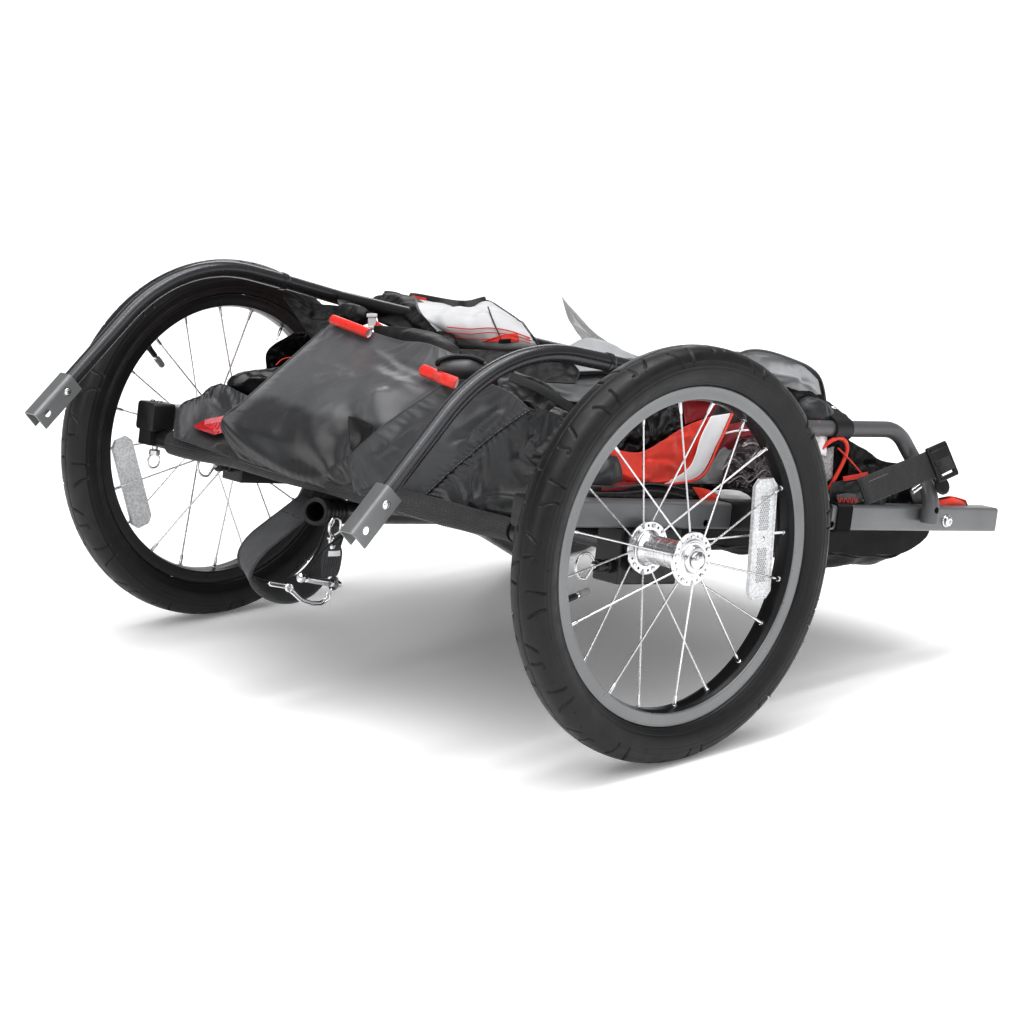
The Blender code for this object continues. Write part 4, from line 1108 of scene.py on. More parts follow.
    # Twin clamp and its two screws; the cloth sleeve that wraps over it is made with the front pieces.
    cx = 0.283
    circles = ((s * SIDE_Y, side_z(cx), 0.0118), (s * 0.285, 0.1185, 0.0112))
    pts = [(y + r * math.cos(TAU * k / 40), z + r * math.sin(TAU * k / 40)) for y, z, r in circles for k in range(40)]
    hull_bm = bmesh.new()
    for y, z in pts:
        hull_bm.verts.new((0, y, z))
    pts = sorted(set(pts))

    def half(seq):
        out = []
        for p in seq:
            while len(out) > 1 and ((out[-1][0] - out[-2][0]) * (p[1] - out[-2][1]) - (out[-1][1] - out[-2][1]) * (p[0] - out[-2][0])) <= 0:
                out.pop()
            out.append(p)
        return out

    hull_bm.free()
    outline = half(pts)[:-1] + half(pts[::-1])[:-1]
    bm = bmesh.new()
    rows = [[bm.verts.new(T(x, y, z, s)) for y, z in outline] for x in (cx - 0.012, cx + 0.012)]
    bm.faces.new(rows[0])
    bm.faces.new(rows[1][::-1])
    for k in range(len(outline)):
        k2 = (k + 1) % len(outline)
        bm.faces.new((rows[0][k], rows[1][k], rows[1][k2], rows[0][k2]))
    b1 = rod_bm(T(0.25, s * SIDE_Y, side_z(0.25), s), T(0.31, s * SIDE_Y, side_z(0.31), s), SIDE_R + 0.0003, 28)
    b2 = rod_bm(T(0.25, s * 0.285, 0.1185, s), T(0.31, s * 0.285, 0.1185, s), LEG_R + 0.0003, 28)
    bm = cut_mesh(bm, [b1, b2])
    obj = from_bm(bm, f"twin_tube_clamp_{side}", BLACK_PLASTIC, body, 30)
    bevel_mod(obj, 0.0012, 3, 50)
    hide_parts(f"tube_clamp_{side}")
    bm = bmesh.new()
    for x in (cx - 0.006, cx + 0.006):
        y = s * (SIDE_Y + 0.285) / 2
        socket_bolt(T(x, y, side_z(cx) - 0.0015, s) + AX_Z * 0.0075, AX_Z, 0.0032, 0.0024, bm)
    from_bm(bm, f"clamp_screws_{side}", CHROME, body)

    # Square base rail: open tube with rounded corners, black cap at the rear end.
    yc = s * RAIL_Y
    outer = rounded_rect(RAIL / 2, RAIL / 2, 0.0030, 4)
    inner = rounded_rect(RAIL / 2 - 0.0016, RAIL / 2 - 0.0016, 0.0018, 4)
    zc = RAIL_Z0 + RAIL / 2
    bm = bmesh.new()

    def ring_at(x, sec):
        return [W(x, yc + a, zc + b) for a, b in sec]

    G = np.array([[list(p) for p in ring_at(x, outer)] for x in np.linspace(RAIL_X0, RAIL_X1, 12)])
    grid_bm(G, wrap_v=True, bm=bm)
    G = np.array([[list(p) for p in ring_at(x, inner)] for x in (RAIL_X1, RAIL_X0)])
    grid_bm(G, wrap_v=True, bm=bm)
    for x in (RAIL_X0, RAIL_X1):
        G = np.array([[list(p) for p in ring_at(x, outer)], [list(p) for p in ring_at(x, inner)]])
        grid_bm(G, wrap_v=True, bm=bm)
    cuts = [rod_bm(W(HX, yc - 0.02, HZ), W(HX, yc + 0.02, HZ), 0.0045, 20)]
    if s > 0:
        cuts.append(rod_bm(W(0.509, yc - 0.02, 0.0288), W(0.509, yc + 0.02, 0.0288), 0.0036, 20))
    for x in (0.085, 0.265):
        cuts.append(rod_bm(W(x, yc + s * 0.006, 0.0222), W(x, yc + s * 0.03, 0.0222), 0.0034, 16))
    bm = cut_mesh(bm, cuts)
    obj = from_bm(bm, f"square_rail_{side}", RAIL_PAINT, "chassis", 32)
    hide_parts(f"base_rail_{side}")

    bm = bmesh.new()
    sec = rounded_rect(0.0152, 0.0150, 0.0040, 5)
    G = np.array([[list(W(x, yc + a * k, zc + b * k)) for a, b in sec] for x, k in ((-0.1425, 0.90), (-0.1420, 0.97), (-0.1405, 1.0), (-0.1160, 1.0), (-0.1152, 0.985), (-0.1150, 0.88))])
    grid_bm(G, wrap_v=True, bm=bm, cap_u=True)
    local_box(-0.140, -0.112, yc - 0.0105, yc + 0.0105, -0.0010, 0.0150, bm)
    cap = from_bm(bm, f"rail_end_cap_{side}", BLACK_PLASTIC, "chassis", 35)
    bm = bmesh.new()
    for dy in (-0.0055, 0.0060):
        socket_bolt(W(-0.1300, yc + dy, zc + 0.0148), AX_Z, 0.0028, 0.0020, bm)
    socket_bolt(W(-0.128, yc + s * 0.0150, zc + 0.002), (0, s, 0), 0.0026, 0.0018, bm)
    from_bm(bm, f"rail_cap_screws_{side}", DARK_STEEL, "chassis")

    # Receiver block for the stub axle, its plunger snout, pull pin and bent-wire pull.
    y0, y1 = sorted((s * 0.2745, s * 0.3085))
    bm = local_box(-0.024, 0.054, y0, y1, -0.037, 0.0160)
    bore = lathe_y(W(0, 0, 0).x, W(0, 0, 0).z, [(0.26, 0.0), (0.26, 0.0073), (0.32, 0.0073), (0.32, 0.0)], 32, sign=s)
    bm = cut_mesh(bm, [bore])
    obj = from_bm(bm, f"receiver_block_{side}", BLACK_STEEL, "chassis", 30)
    bevel_mod(obj, 0.0016, 3, 40)
    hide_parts(f"axle_receiver_{side}")
    bm = bmesh.new()
    prof = [(0, 0.0036), (0, 0.0060), (0.001, 0.0066), (0.006, 0.0066), (0.007, 0.0056), (0.013, 0.0056), (0.014, 0.0066), (0.0195, 0.0066), (0.0195, 0.0036)]
    lathe_bm(W(-0.0420, yc, -0.0215), AX_X, prof, 28, bm=bm, closed=True)
    obj = from_bm(bm, f"plunger_snout_{side}", BLACK_STEEL, "chassis")
    bm = bmesh.new()
    lathe_y(W(0, 0, 0).x, W(0, 0, 0).z, [(0.3085, 0.0075), (0.3085, 0.0105), (0.3104, 0.0105), (0.3112, 0.0098), (0.3112, 0.0075)], 32, bm=bm, sign=s)
    from_bm(bm, f"axle_bush_{side}", DARK_STEEL, "chassis")
    bm = rod_bm(W(0.0030, yc, -0.0215), W(-0.0460, yc, -0.0215), 0.0029, 20, rounded=0.0008)
    a = np.linspace(math.radians(52), math.radians(318), 26)
    ring = [W(-0.0555 + 0.0112 * math.cos(t), yc, -0.0215 + 0.0122 * math.sin(t)) for t in a]
    ring = [W(-0.0452, yc, -0.0160)] + ring[1:-3] + [W(-0.0440, yc, -0.0215)]
    sweep(smooth_line(ring, 44), circle(0.00135, 12), bm=bm)
    obj = from_bm(bm, f"plunger_and_wire_pull_{side}", CHROME, f"{side}_plunger", 40)
    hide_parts(f"plunger_pull_{side}")

    # Lock pin through the rear corner, with its eye.
    bm = rod_bm(W(-0.125, yc, -0.0100), W(-0.125, yc, 0.0455), 0.0031, 20, rounded=0.0010)
    lathe_bm(W(-0.125, yc, -0.0125), AX_Z, [(0, 0), (0, 0.0052), (0.0008, 0.0060), (0.0052, 0.0060), (0.0062, 0.0050), (0.0062, 0)], 24, bm=bm)
    eye = [W(-0.125 + 0.0075 * math.cos(t), yc, -0.0185 + 0.0075 * math.sin(t)) for t in np.linspace(0, TAU, 28, endpoint=False)]
    sweep(eye, circle(0.0011, 10), closed=True, up=(0, 1, 0), bm=bm)
    obj = from_bm(bm, f"corner_lock_pin_{side}", CHROME, f"{side}_lock_pin", 40)
    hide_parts(f"lock_pin_{side}")

    # Front pivot: domed bolt, washer and nut.
    c = W(HX, 0, HZ)
    bm = bmesh.new()
    lathe_y(c.x, c.z, [(0.3082, 0.0), (0.3082, 0.0064), (0.3090, 0.0066), (0.3096, 0.0064), (0.3100, 0.0056), (0.3126, 0.0050), (0.3138, 0.0034), (0.3138, 0.0022), (0.3122, 0.0020), (0.3122, 0.0)], 32, bm=bm, sign=s)
    rod_bm((c.x, s * 0.2705, c.z), (c.x, s * 0.3085, c.z), 0.0040, 20, bm=bm)
    lathe_y(c.x, c.z, [(0.2695, 0.0), (0.2695, 0.0058), (0.2703, 0.0070), (0.2732, 0.0070), (0.2740, 0.0058), (0.2740, 0.0)], 6, bm=bm, sign=s)
    obj = from_bm(bm, f"upper_frame_pivot_{side}", CHROME, "chassis", 30)
    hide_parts(f"pivot_bolt_{side}")


def finish_node(name, mat, bevel=0.0, segments=2, angle=35):
    """Weld and round a carried-over node and give it its finish."""
    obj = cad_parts[name]
    obj.data.attributes.remove(obj.data.attributes["custom_normal"]) if "custom_normal" in obj.data.attributes else None
    obj.data.materials.clear()
    obj.data.materials.append(mat)
    weld = obj.modifiers.new("weld", "WELD")
    weld.merge_threshold = 1e-5
    if bevel:
        bevel_mod(obj, bevel, segments, angle)
    return obj


for s, side in SIDES:
    finish_node(f"pivot_plate_{side}", BLACK_STEEL, 0.0007)
finish_node("tow_clevis", BLACK_STEEL, 0.0006)
finish_node("tow_pivot_bolt", CHROME, 0.0005)

for name, pts, r, mat, body, node, slot in (
    ("rear_hem_tube", [W(-0.126, -0.306, 0.0064), W(-0.126, 0.306, 0.0064)], 0.0094, BLACK_STEEL, "chassis", "rear_cross_tube", "black_steel"),
    ("floor_tube_middle", [W(0.012, -0.2740, -0.003), W(0.012, 0.2740, -0.003)], 0.011, GUNMETAL, "chassis", "mid_cross_tube", "gunmetal_paint"),
    ("floor_tube_front", [W(0.485, -0.2828, 0.030), W(0.485, 0.2828, 0.030)], 0.0095, GUNMETAL, "chassis", "front_floor_tube", "gunmetal_paint"),
    ("upper_frame_front_tube", [W(0.433, -0.300, 0.0645), W(0.433, 0.300, 0.0645)], 0.0095, BLACK_STEEL, "upper_frame", "front_cross_tube", "black_steel"),
    ("roof_tube", [T(0.06, -0.2465, side_z(0.06), -1), T(0.06, 0.2465, side_z(0.06), 1)], 0.0075, BLACK_STEEL, "upper_frame", "roof_cross_tube", "black_steel"),
):
    tube_obj(name, resample(pts, 0.03), r, mat, body, 28, (node,), cap_round=0.0012)

# Tow arm lying folded back under the floor.
TOW_R = 0.0118


def on_floor(x, r):
    return (r - WHEEL_R + SP * x) / CP


arm_path = filleted(
    [(0.545, RAIL_Y, 0.0418), (0.545, RAIL_Y, on_floor(0.545, TOW_R)), (0.425, RAIL_Y, on_floor(0.425, TOW_R)), (0.300, 0.240, -0.0750), (0.150, 0.140, -0.0450), (-0.1397, 0.0, -0.0220)],
    [0.045, 0.10, 0.20, 0.30], math.radians(4),
)
arm_pts = resample([W(*p) for p in arm_path], 0.010)
arm = sweep(arm_pts, circle(TOW_R, 32))
END = W(-0.1397, 0, -0.0220)
ARM_DIR = (W(0.150, 0.140, -0.0450) - END).normalized()
arm = cut_mesh(arm, [
    rod_bm(W(0.545, RAIL_Y - 0.03, 0.0288), W(0.545, RAIL_Y + 0.03, 0.0288), 0.0044, 20),
    rod_bm(END - ARM_DIR * 0.01, END + ARM_DIR * 0.045, 0.0098, 28),
])
obj = from_bm(arm, "tow_arm_tube", BLACK_STEEL, "tow_arm", 35)
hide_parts("tow_arm")
prof = [(-0.0030, 0.0098), (-0.0034, 0.0112), (-0.0034, 0.0130), (-0.0026, 0.0138)]
for k in range(5):
    z0 = 0.003 + k * 0.0085
    prof += [(z0, 0.0138), (z0 + 0.0012, 0.0130), (z0 + 0.0036, 0.0130), (z0 + 0.0048, 0.0138)]
prof += [(0.0500, 0.0138), (0.0520, 0.0128), (0.0520, 0.0121)]
bm = lathe_bm(END, ARM_DIR, prof, 36)
lathe_bm(END, ARM_DIR, [(-0.0030, 0.0098), (-0.0030, 0.0121)], 36, bm=bm)
boot = from_bm(bm, "arm_end_boot", TYRE, "tow_arm", 35)
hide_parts("arm_end_sleeve")

# ============================================================ wheels
AXLE = W(0, 0, 0)
PROFILE = [
    (0.0122, 0.1593), (0.0150, 0.1620), (0.0180, 0.1668), (0.0199, 0.1715), (0.0208, 0.1770), (0.0205, 0.1820), (0.0190, 0.1868),
    (0.0157, 0.1910), (0.0106, 0.1939), (0.0053, 0.1952), (0.0, 0.1955),
]


def make_tyre(s, side):
    steps, rows = 1380, 66
    half_line = smooth_line([(y, r, 0) for y, r in PROFILE], rows)
    prof = np.vstack([half_line, (half_line[::-1] * [-1, 1, 1])[1:]])[:, :2]
    arc = np.concatenate([[0], np.cumsum(np.linalg.norm(np.diff(prof, axis=0), axis=1))])
    arc = arc - arc[-1] / 2           # 0 at the middle of the tread
    tang = np.gradient(prof, axis=0)
    nrm = np.stack([-tang[:, 1], tang[:, 0]], 1)
    nrm /= np.linalg.norm(nrm, axis=1)[:, None]
    if nrm[len(nrm) // 2, 1] < 0:
        nrm = -nrm
    th = np.linspace(0, TAU, steps, endpoint=False)
    period = TAU / 12
    sm = arc[None, :] * np.ones((steps, 1))
    depth = np.zeros((steps, len(arc)))

    def slot(t_line, s0, s1, width, deep, sign, shift, hook=0.0):
        """A groove whose place round the tyre follows t_line(s), metres."""
        q = sign * sm
        mid_t = (t_line(q) + shift * 0.188) / 0.188
        d = ((th[:, None] - mid_t + period / 2) % period - period / 2) * 0.188
        dq = np.gradient(t_line(q), axis=1) / np.maximum(np.abs(np.gradient(q, axis=1)), 1e-6)
        d = np.abs(d) / np.sqrt(1 + dq**2)
        inside = np.clip((q - s0) / 0.0012, 0, 1) * np.clip((s1 - q) / 0.0012, 0, 1)
        m = np.clip((width / 2 + 0.0004 - d) / 0.0007, 0, 1) * inside
        np.maximum(depth, deep * m, out=depth)

    for sign in (1, -1):
        off = 0.0 if sign > 0 else period / 4
        # shoulder pair: one nearly straight slot, one bowed
        slot(lambda q: 0.10 * (q - 0.018), 0.0085, 0.0285, 0.0021, 0.0018, sign, off)
        slot(lambda q: 0.0175 + 22.0 * (q - 0.022) ** 2 - 0.25 * (q - 0.018), 0.0090, 0.0280, 0.0021, 0.0018, sign, off)
        # middle pair, with hooked outer ends
        slot(lambda q: 0.30 * (q - 0.006) + 20 * (q - 0.002) ** 2, 0.0015, 0.0150, 0.0020, 0.0016, sign, off + period / 2)
        slot(lambda q: 0.0185 - 0.12 * (q - 0.006), 0.0020, 0.0160, 0.0020, 0.0016, sign, off + period / 2)
        slot(lambda q: 0.0205 + 0 * q, 0.0140, 0.0172, 0.0046, 0.0014, sign, off + period / 2)
    # centre saw line
    saw = 0.0007 * np.abs(((th * 12 * 6 / TAU) % 1.0) - 0.5)[:, None]
    for c in (-0.0002,):
        m = np.clip((0.0009 - np.abs(sm - c - saw)) / 0.0005, 0, 1)
        np.maximum(depth, 0.0007 * m, out=depth)
    # side walls: raised band and fine ribs
    r_of = prof[:, 1][None, :]
    side_mask = np.abs(prof[:, 0]) > 0.0100
    rib = np.zeros(len(arc))
    for rc, wd, h in ((0.1612, 0.0006, 0.0005), (0.1634, 0.0005, 0.00045), (0.1652, 0.0005, 0.0004), (0.1790, 0.0006, 0.00035), (0.1842, 0.0006, 0.0005)):
        rib += h * np.exp(-(((prof[:, 1] - rc) / wd) ** 2))
    rib += 0.00035 * np.clip((prof[:, 1] - 0.1672) / 0.0006, 0, 1) * np.clip((0.1770 - prof[:, 1]) / 0.0006, 0, 1)
    rib *= side_mask
    height = rib[None, :] - depth
    fade = np.clip((np.abs(arc[0]) - np.abs(arc)) / 0.002, 0, 1)[None, :]
    height = height * fade
    y = s * WHEEL_Y + (prof[:, 0][None, :] + nrm[:, 0][None, :] * height)
    r = prof[:, 1][None, :] + nrm[:, 1][None, :] * height
    G = np.stack([AXLE.x + r * np.cos(th)[:, None], y, AXLE.z + r * np.sin(th)[:, None]], 2)
    G[..., 2] = np.maximum(G[..., 2], 0.0)
    lip = np.stack([AXLE.x + 0.1588 * np.cos(th), s * WHEEL_Y + 0 * th, AXLE.z + 0.1588 * np.sin(th)], 1)[:, None]
    bm = grid_bm(np.concatenate([G], 1), wrap_u=True, wrap_v=True)
    # mould vents: a few short rubber whiskers on the shoulder
    obj = from_bm(bm, f"road_tyre_{side}", TYRE, f"{side}_wheel", 180, weld=False)
    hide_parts(f"tyre_{side}")
    bm = bmesh.new()
    rs = np.random.RandomState(11 + s)
    for k in range(54):
        a = TAU * (k + rs.uniform(-0.3, 0.3)) / 54
        rr, yy = ((0.1868, 0.0190), (0.1905, 0.0162), (0.1800, 0.0207))[k % 3]
        for q in (-1, 1):
            base = Vector((AXLE.x + (rr - 0.0003) * math.cos(a), s * WHEEL_Y + q * yy, AXLE.z + (rr - 0.0003) * math.sin(a)))
            if base.z < 0.02:
                continue
            tip = base + Vector((math.cos(a) * 0.35, q * 0.9, math.sin(a) * 0.35)) * 0.0014
            rod_bm(base, tip, 0.00040, 5, bm=bm, r2=0.00025)
    from_bm(bm, f"tyre_vent_spews_{side}", TYRE, f"{side}_wheel", 40)


def make_rim(s, side):
    e = 0.0022
    arc_c = [(0.0125 - e + e * math.cos(a), 0.1486 - e * 0.9 - 0 + e * 0 - e * math.sin(a) * 0.9 + e * 0.9) for a in np.linspace(0, math.pi / 2, 6)]
    half = [(0.0126, 0.1590), (0.0128, 0.1582), (0.0125, 0.1574)] + [(0.0125, 0.1520)]
    half += [(0.0125 - e + e * math.cos(a), 0.1484 - e * math.sin(a)) for a in np.linspace(0, math.pi / 2, 7)]
    half += [(0.0080, 0.1453), (0.0058, 0.1446), (0.0040, 0.1445), (0.0, 0.1445)]
    ring = half + [(-y, r) for y, r in half[::-1][1:]]
    ring += [(-0.0112, 0.1590), (-0.0108, 0.1575), (-0.0105, 0.1540), (-0.0060, 0.1512), (0.0060, 0.1512), (0.0105, 0.1540), (0.0108, 0.1575), (0.0112, 0.1590)]
    steps = 288
    th = np.linspace(0, TAU, steps, endpoint=False)
    G = np.array([[(AXLE.x + r * math.cos(a), s * WHEEL_Y + y, AXLE.z + r * math.sin(a)) for y, r in ring] for a in th])
    bm = grid_bm(G, wrap_u=True, wrap_v=True)
    # painted shade: only the outboard side face keeps the grey finish; the barrel and the inboard face take the dark
    # copy
    for f in bm.faces:
        c = f.calc_center_median()
        out = s * (c.y - s * WHEEL_Y)
        if not (out > 0.0112 and math.hypot(c.x - AXLE.x, c.z - AXLE.z) > 0.1466):
            f.material_index = 1
    obj = from_bm(bm, f"wheel_rim_{side}", [RIM_PAINT, RIM_SHADE_PAINT], f"{side}_wheel", 32, weld=False)
    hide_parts(f"rim_{side}")


HUB = [
    (0.3125, 0.0070), (0.3125, 0.0114), (0.3131, 0.0120), (0.3156, 0.0124), (0.3164, 0.0150), (0.3168, 0.0160), (0.3168, 0.0176), (0.3172, 0.0180), (0.3172, 0.0249),
    (0.3178, 0.0255), (0.3192, 0.0255), (0.3198, 0.0249), (0.3198, 0.0172), (0.3206, 0.0162), (0.3222, 0.0158), (0.3250, 0.0140), (0.3290, 0.0135),
    (0.3400, 0.0133), (0.3402, 0.0129), (0.3412, 0.0129), (0.3414, 0.0133), (0.3536, 0.0133), (0.3538, 0.0129), (0.3548, 0.0129), (0.3550, 0.0133),
    (0.3660, 0.0135), (0.3700, 0.0140), (0.3728, 0.0158), (0.3744, 0.0162), (0.3752, 0.0172), (0.3752, 0.0249), (0.3758, 0.0255), (0.3772, 0.0255),
    (0.3778, 0.0249), (0.3778, 0.0186), (0.3781, 0.0182), (0.3784, 0.0176), (0.3784, 0.0164), (0.3789, 0.0158), (0.3789, 0.0138), (0.3794, 0.0132), (0.3808, 0.0128), (0.3824, 0.0122), (0.3830, 0.0114), (0.3830, 0.0070),
]
PHASE = {-1: math.radians(-0.5), 1: math.radians(-3.0)}


def make_hub(s, side):
    bm = lathe_y(AXLE.x, AXLE.z, HUB + [HUB[0]], 96, sign=s)
    cutter = bmesh.new()
    for yc in (0.3185, 0.3765):
        for k in range(20):
            a = PHASE[s] + TAU * k / 20
            c = (AXLE.x + 0.0214 * math.cos(a), AXLE.z + 0.0214 * math.sin(a))
            rod_bm((c[0], s * (yc - 0.004), c[1]), (c[0], s * (yc + 0.004), c[1]), 0.00135, 10, bm=cutter)
    bm = cut_mesh(bm, [cutter])
    obj = from_bm(bm, f"alloy_hub_{side}", ALLOY, f"{side}_wheel", 38)
    spokes = bmesh.new()
    nips = bmesh.new()
    for k in range(20):
        a = PHASE[s] + TAU * k / 20
        out = k % 2 == (1 if s < 0 else 0)
        yf = 0.3765 if out else 0.3185
        lean = 1 if out else -1
        yr = WHEEL_Y + (0.0008 if out else -0.0008)
        d = Vector((math.cos(a), 0, math.sin(a)))
        base = AXLE.copy()
        base.y = 0

        def pt(r, y):
            return base + d * r + Vector((0, s * y, 0))

        head, body_y = (yf + 0.0017, yf - 0.0022) if k % 4 < 2 else (yf - 0.0017, yf + 0.0022)
        r1 = 0.1437
        slope_y = (yr - body_y) / (r1 - 0.0240)
        pts = [pt(0.0214, head), pt(0.0214, yf), pt(0.0216, yf * 0.4 + body_y * 0.6), pt(0.0226, body_y + slope_y * 0.0), pt(0.0260, body_y + slope_y * 0.002), pt(0.06, body_y + slope_y * 0.036)]
        bend = smooth_line(pts, 26)
        line = np.vstack([bend, [list(pt(0.10, body_y + slope_y * 0.076)), list(pt(r1 + 0.0006, yr))]])
        sweep(line, circle(0.00098, 10), bm=spokes, up=(0, 1, 0))
        hd = Vector((0, s * (1 if head > yf else -1), 0))
        lathe_bm(pt(0.0214, head) - hd * 0.0001, hd, [(0, 0), (0, 0.0019), (0.0006, 0.0020), (0.0012, 0.0014), (0.0014, 0)], 12, bm=spokes)
        e = pt(r1 + 0.0010, yr)
        q = (pt(0.10, body_y + slope_y * 0.076) - e).normalized()
        lathe_bm(e, q, [(0, 0), (0, 0.0028), (0.0012, 0.0028), (0.0016, 0.0019), (0.0105, 0.0017), (0.0118, 0.0012), (0.0118, 0)], 12, bm=nips)
    sp = from_bm(spokes, f"wire_spokes_{side}", SPOKE_STEEL, f"{side}_wheel", 50)
    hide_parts(f"hub_and_spokes_{side}")
    from_bm(nips, f"spoke_nipples_{side}", CHROME, f"{side}_wheel", 40)
    ax = [
        (0.2800, 0.0), (0.2800, 0.0044), (0.2812, 0.0062), (0.3836, 0.0062), (0.3838, 0.0078), (0.3842, 0.0084), (0.3860, 0.0085), (0.3866, 0.0080),
        (0.3870, 0.0068), (0.3880, 0.0060), (0.3887, 0.0044), (0.3891, 0.0022), (0.3892, 0.0),
    ]
    bm = lathe_y(AXLE.x, AXLE.z, ax, 40, sign=s)
    obj = from_bm(bm, f"quick_release_axle_{side}", CHROME, f"{side}_axle", 35)
    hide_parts(f"wheel_axle_{side}")


def make_valve(s, side, angle):
    d = Vector((math.cos(angle), 0, math.sin(angle)))
    o = AXLE + Vector((0, s * WHEEL_Y, 0)) - Vector((0, AXLE.y, 0))
    bm = bmesh.new()
    lathe_bm(o + d * 0.1450, -d, [(0, 0), (0, 0.0042), (0.003, 0.0040), (0.008, 0.0031), (0.017, 0.0029), (0.018, 0.0026), (0.018, 0)], 20, bm=bm)
    lathe_bm(o + d * 0.1272, -d, [(0, 0), (0, 0.0025), (0.004, 0.0025), (0.004, 0)], 20, bm=bm, mat_index=1)
    lathe_bm(o + d * 0.1238, -d, [(0, 0), (0, 0.0033), (0.002, 0.0036), (0.010, 0.0035), (0.0122, 0.0028), (0.0128, 0.0012), (0.0128, 0)], 10, bm=bm, mat_index=2)
    from_bm(bm, f"tyre_valve_{side}", [TYRE, CHROME, GREY_PLASTIC], f"{side}_wheel", 35)


def make_reflector(s, side):
    """Clip-on spoke reflector: white rim, two prismatic lens fields and a centre rivet."""
    w, h = (0.0150, 0.0585) if s < 0 else (0.0130, 0.0515)
    cx, cz, tilt = (0.1155, -0.0035, math.radians(4)) if s < 0 else (-0.1146, -0.0325, math.radians(-14.5))
    c, n = math.cos(tilt), math.sin(tilt)
    outer_y, inner_y = 0.3575, 0.3525

    def place(a, b, y):
        return Vector((AXLE.x + cx + a * c + b * n, s * y, AXLE.z + cz - a * n + b * c))

    def outline(k):
        ww, hh = w - k, h - k
        return [(-ww, -hh + 0.007), (-ww + 0.006, -hh), (ww - 0.006, -hh), (ww, -hh + 0.007), (ww, hh - 0.007), (ww - 0.006, hh), (-ww + 0.006, hh), (-ww, hh - 0.007)]

    bm = bmesh.new()
    levels = [(0.0004, inner_y), (0.0, inner_y + 0.0006), (0.0, outer_y - 0.0008), (0.0005, outer_y), (0.0020, outer_y), (0.0024, outer_y - 0.0012)]
    rings = [[bm.verts.new(place(a, b, y)) for a, b in outline(k)] for k, y in levels]
    for p, q in zip(rings, rings[1:]):
        for i in range(8):
            j = (i + 1) % 8
            bm.faces.new((p[i], p[j], q[j], q[i]))
    bm.faces.new(rings[0])
    bm.faces.new(rings[-1])
    frame_obj = from_bm(bm, f"spoke_reflector_body_{side}", REFLECT_WHITE, f"{side}_wheel", 25)
    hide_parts(f"spoke_reflector_{side}")
    bm = bmesh.new()
    pitch = 0.0021
    for half in (-1, 1):
        rows_n, cols_n = (16, 5) if s < 0 else (14, 4)
        for i in range(cols_n):
            for j in range(rows_n):
                a = (i - (cols_n - 1) / 2) * pitch * 1.25 + (0.0006 if j % 2 else -0.0006)
                b = half * (0.0095 + j * pitch)
                if abs(b) > h - 0.011:
                    continue
                g = pitch * 0.43
                base = [bm.verts.new(place(a + p * g, b + q * g, outer_y - 0.0013)) for p, q in ((-1, -1), (1, -1), (1, 1), (-1, 1))]
                tip = bm.verts.new(place(a, b, outer_y - 0.0003))
                for k in range(4):
                    bm.faces.new((base[k], base[(k + 1) % 4], tip))
                bm.faces.new(base[::-1])
    prisms = from_bm(bm, f"reflector_prisms_{side}", REFLECT_GREY, f"{side}_wheel", None, weld=False)
    bm = bmesh.new()
    dome_head(place(0, 0, outer_y - 0.0014), (0, s, 0), 0.0028, 0.0016, bm)
    from_bm(bm, f"reflector_rivet_{side}", CHROME, f"{side}_wheel")


REFLECT_GREY = reflector_material("reflector_prism_grey", (0.36, 0.37, 0.38))
for s, side in SIDES:
    make_tyre(s, side)
    make_rim(s, side)
    make_hub(s, side)
    make_reflector(s, side)
make_valve(-1, "right", math.radians(-172.4))
make_valve(1, "left", math.radians(128))


# ============================================================ cloth helpers
def V(points):
    """Points given as (pixel x, pixel y, distance y across the trailer)."""
    return [at(*p) if not isinstance(p, Vector) else p for p in points]


def toward_camera(P, N):
    """Flip normals so that they face the camera on average."""
    d = (np.array(list(CAM)) - P)
    return N if (N * d).sum() > 0 else -N


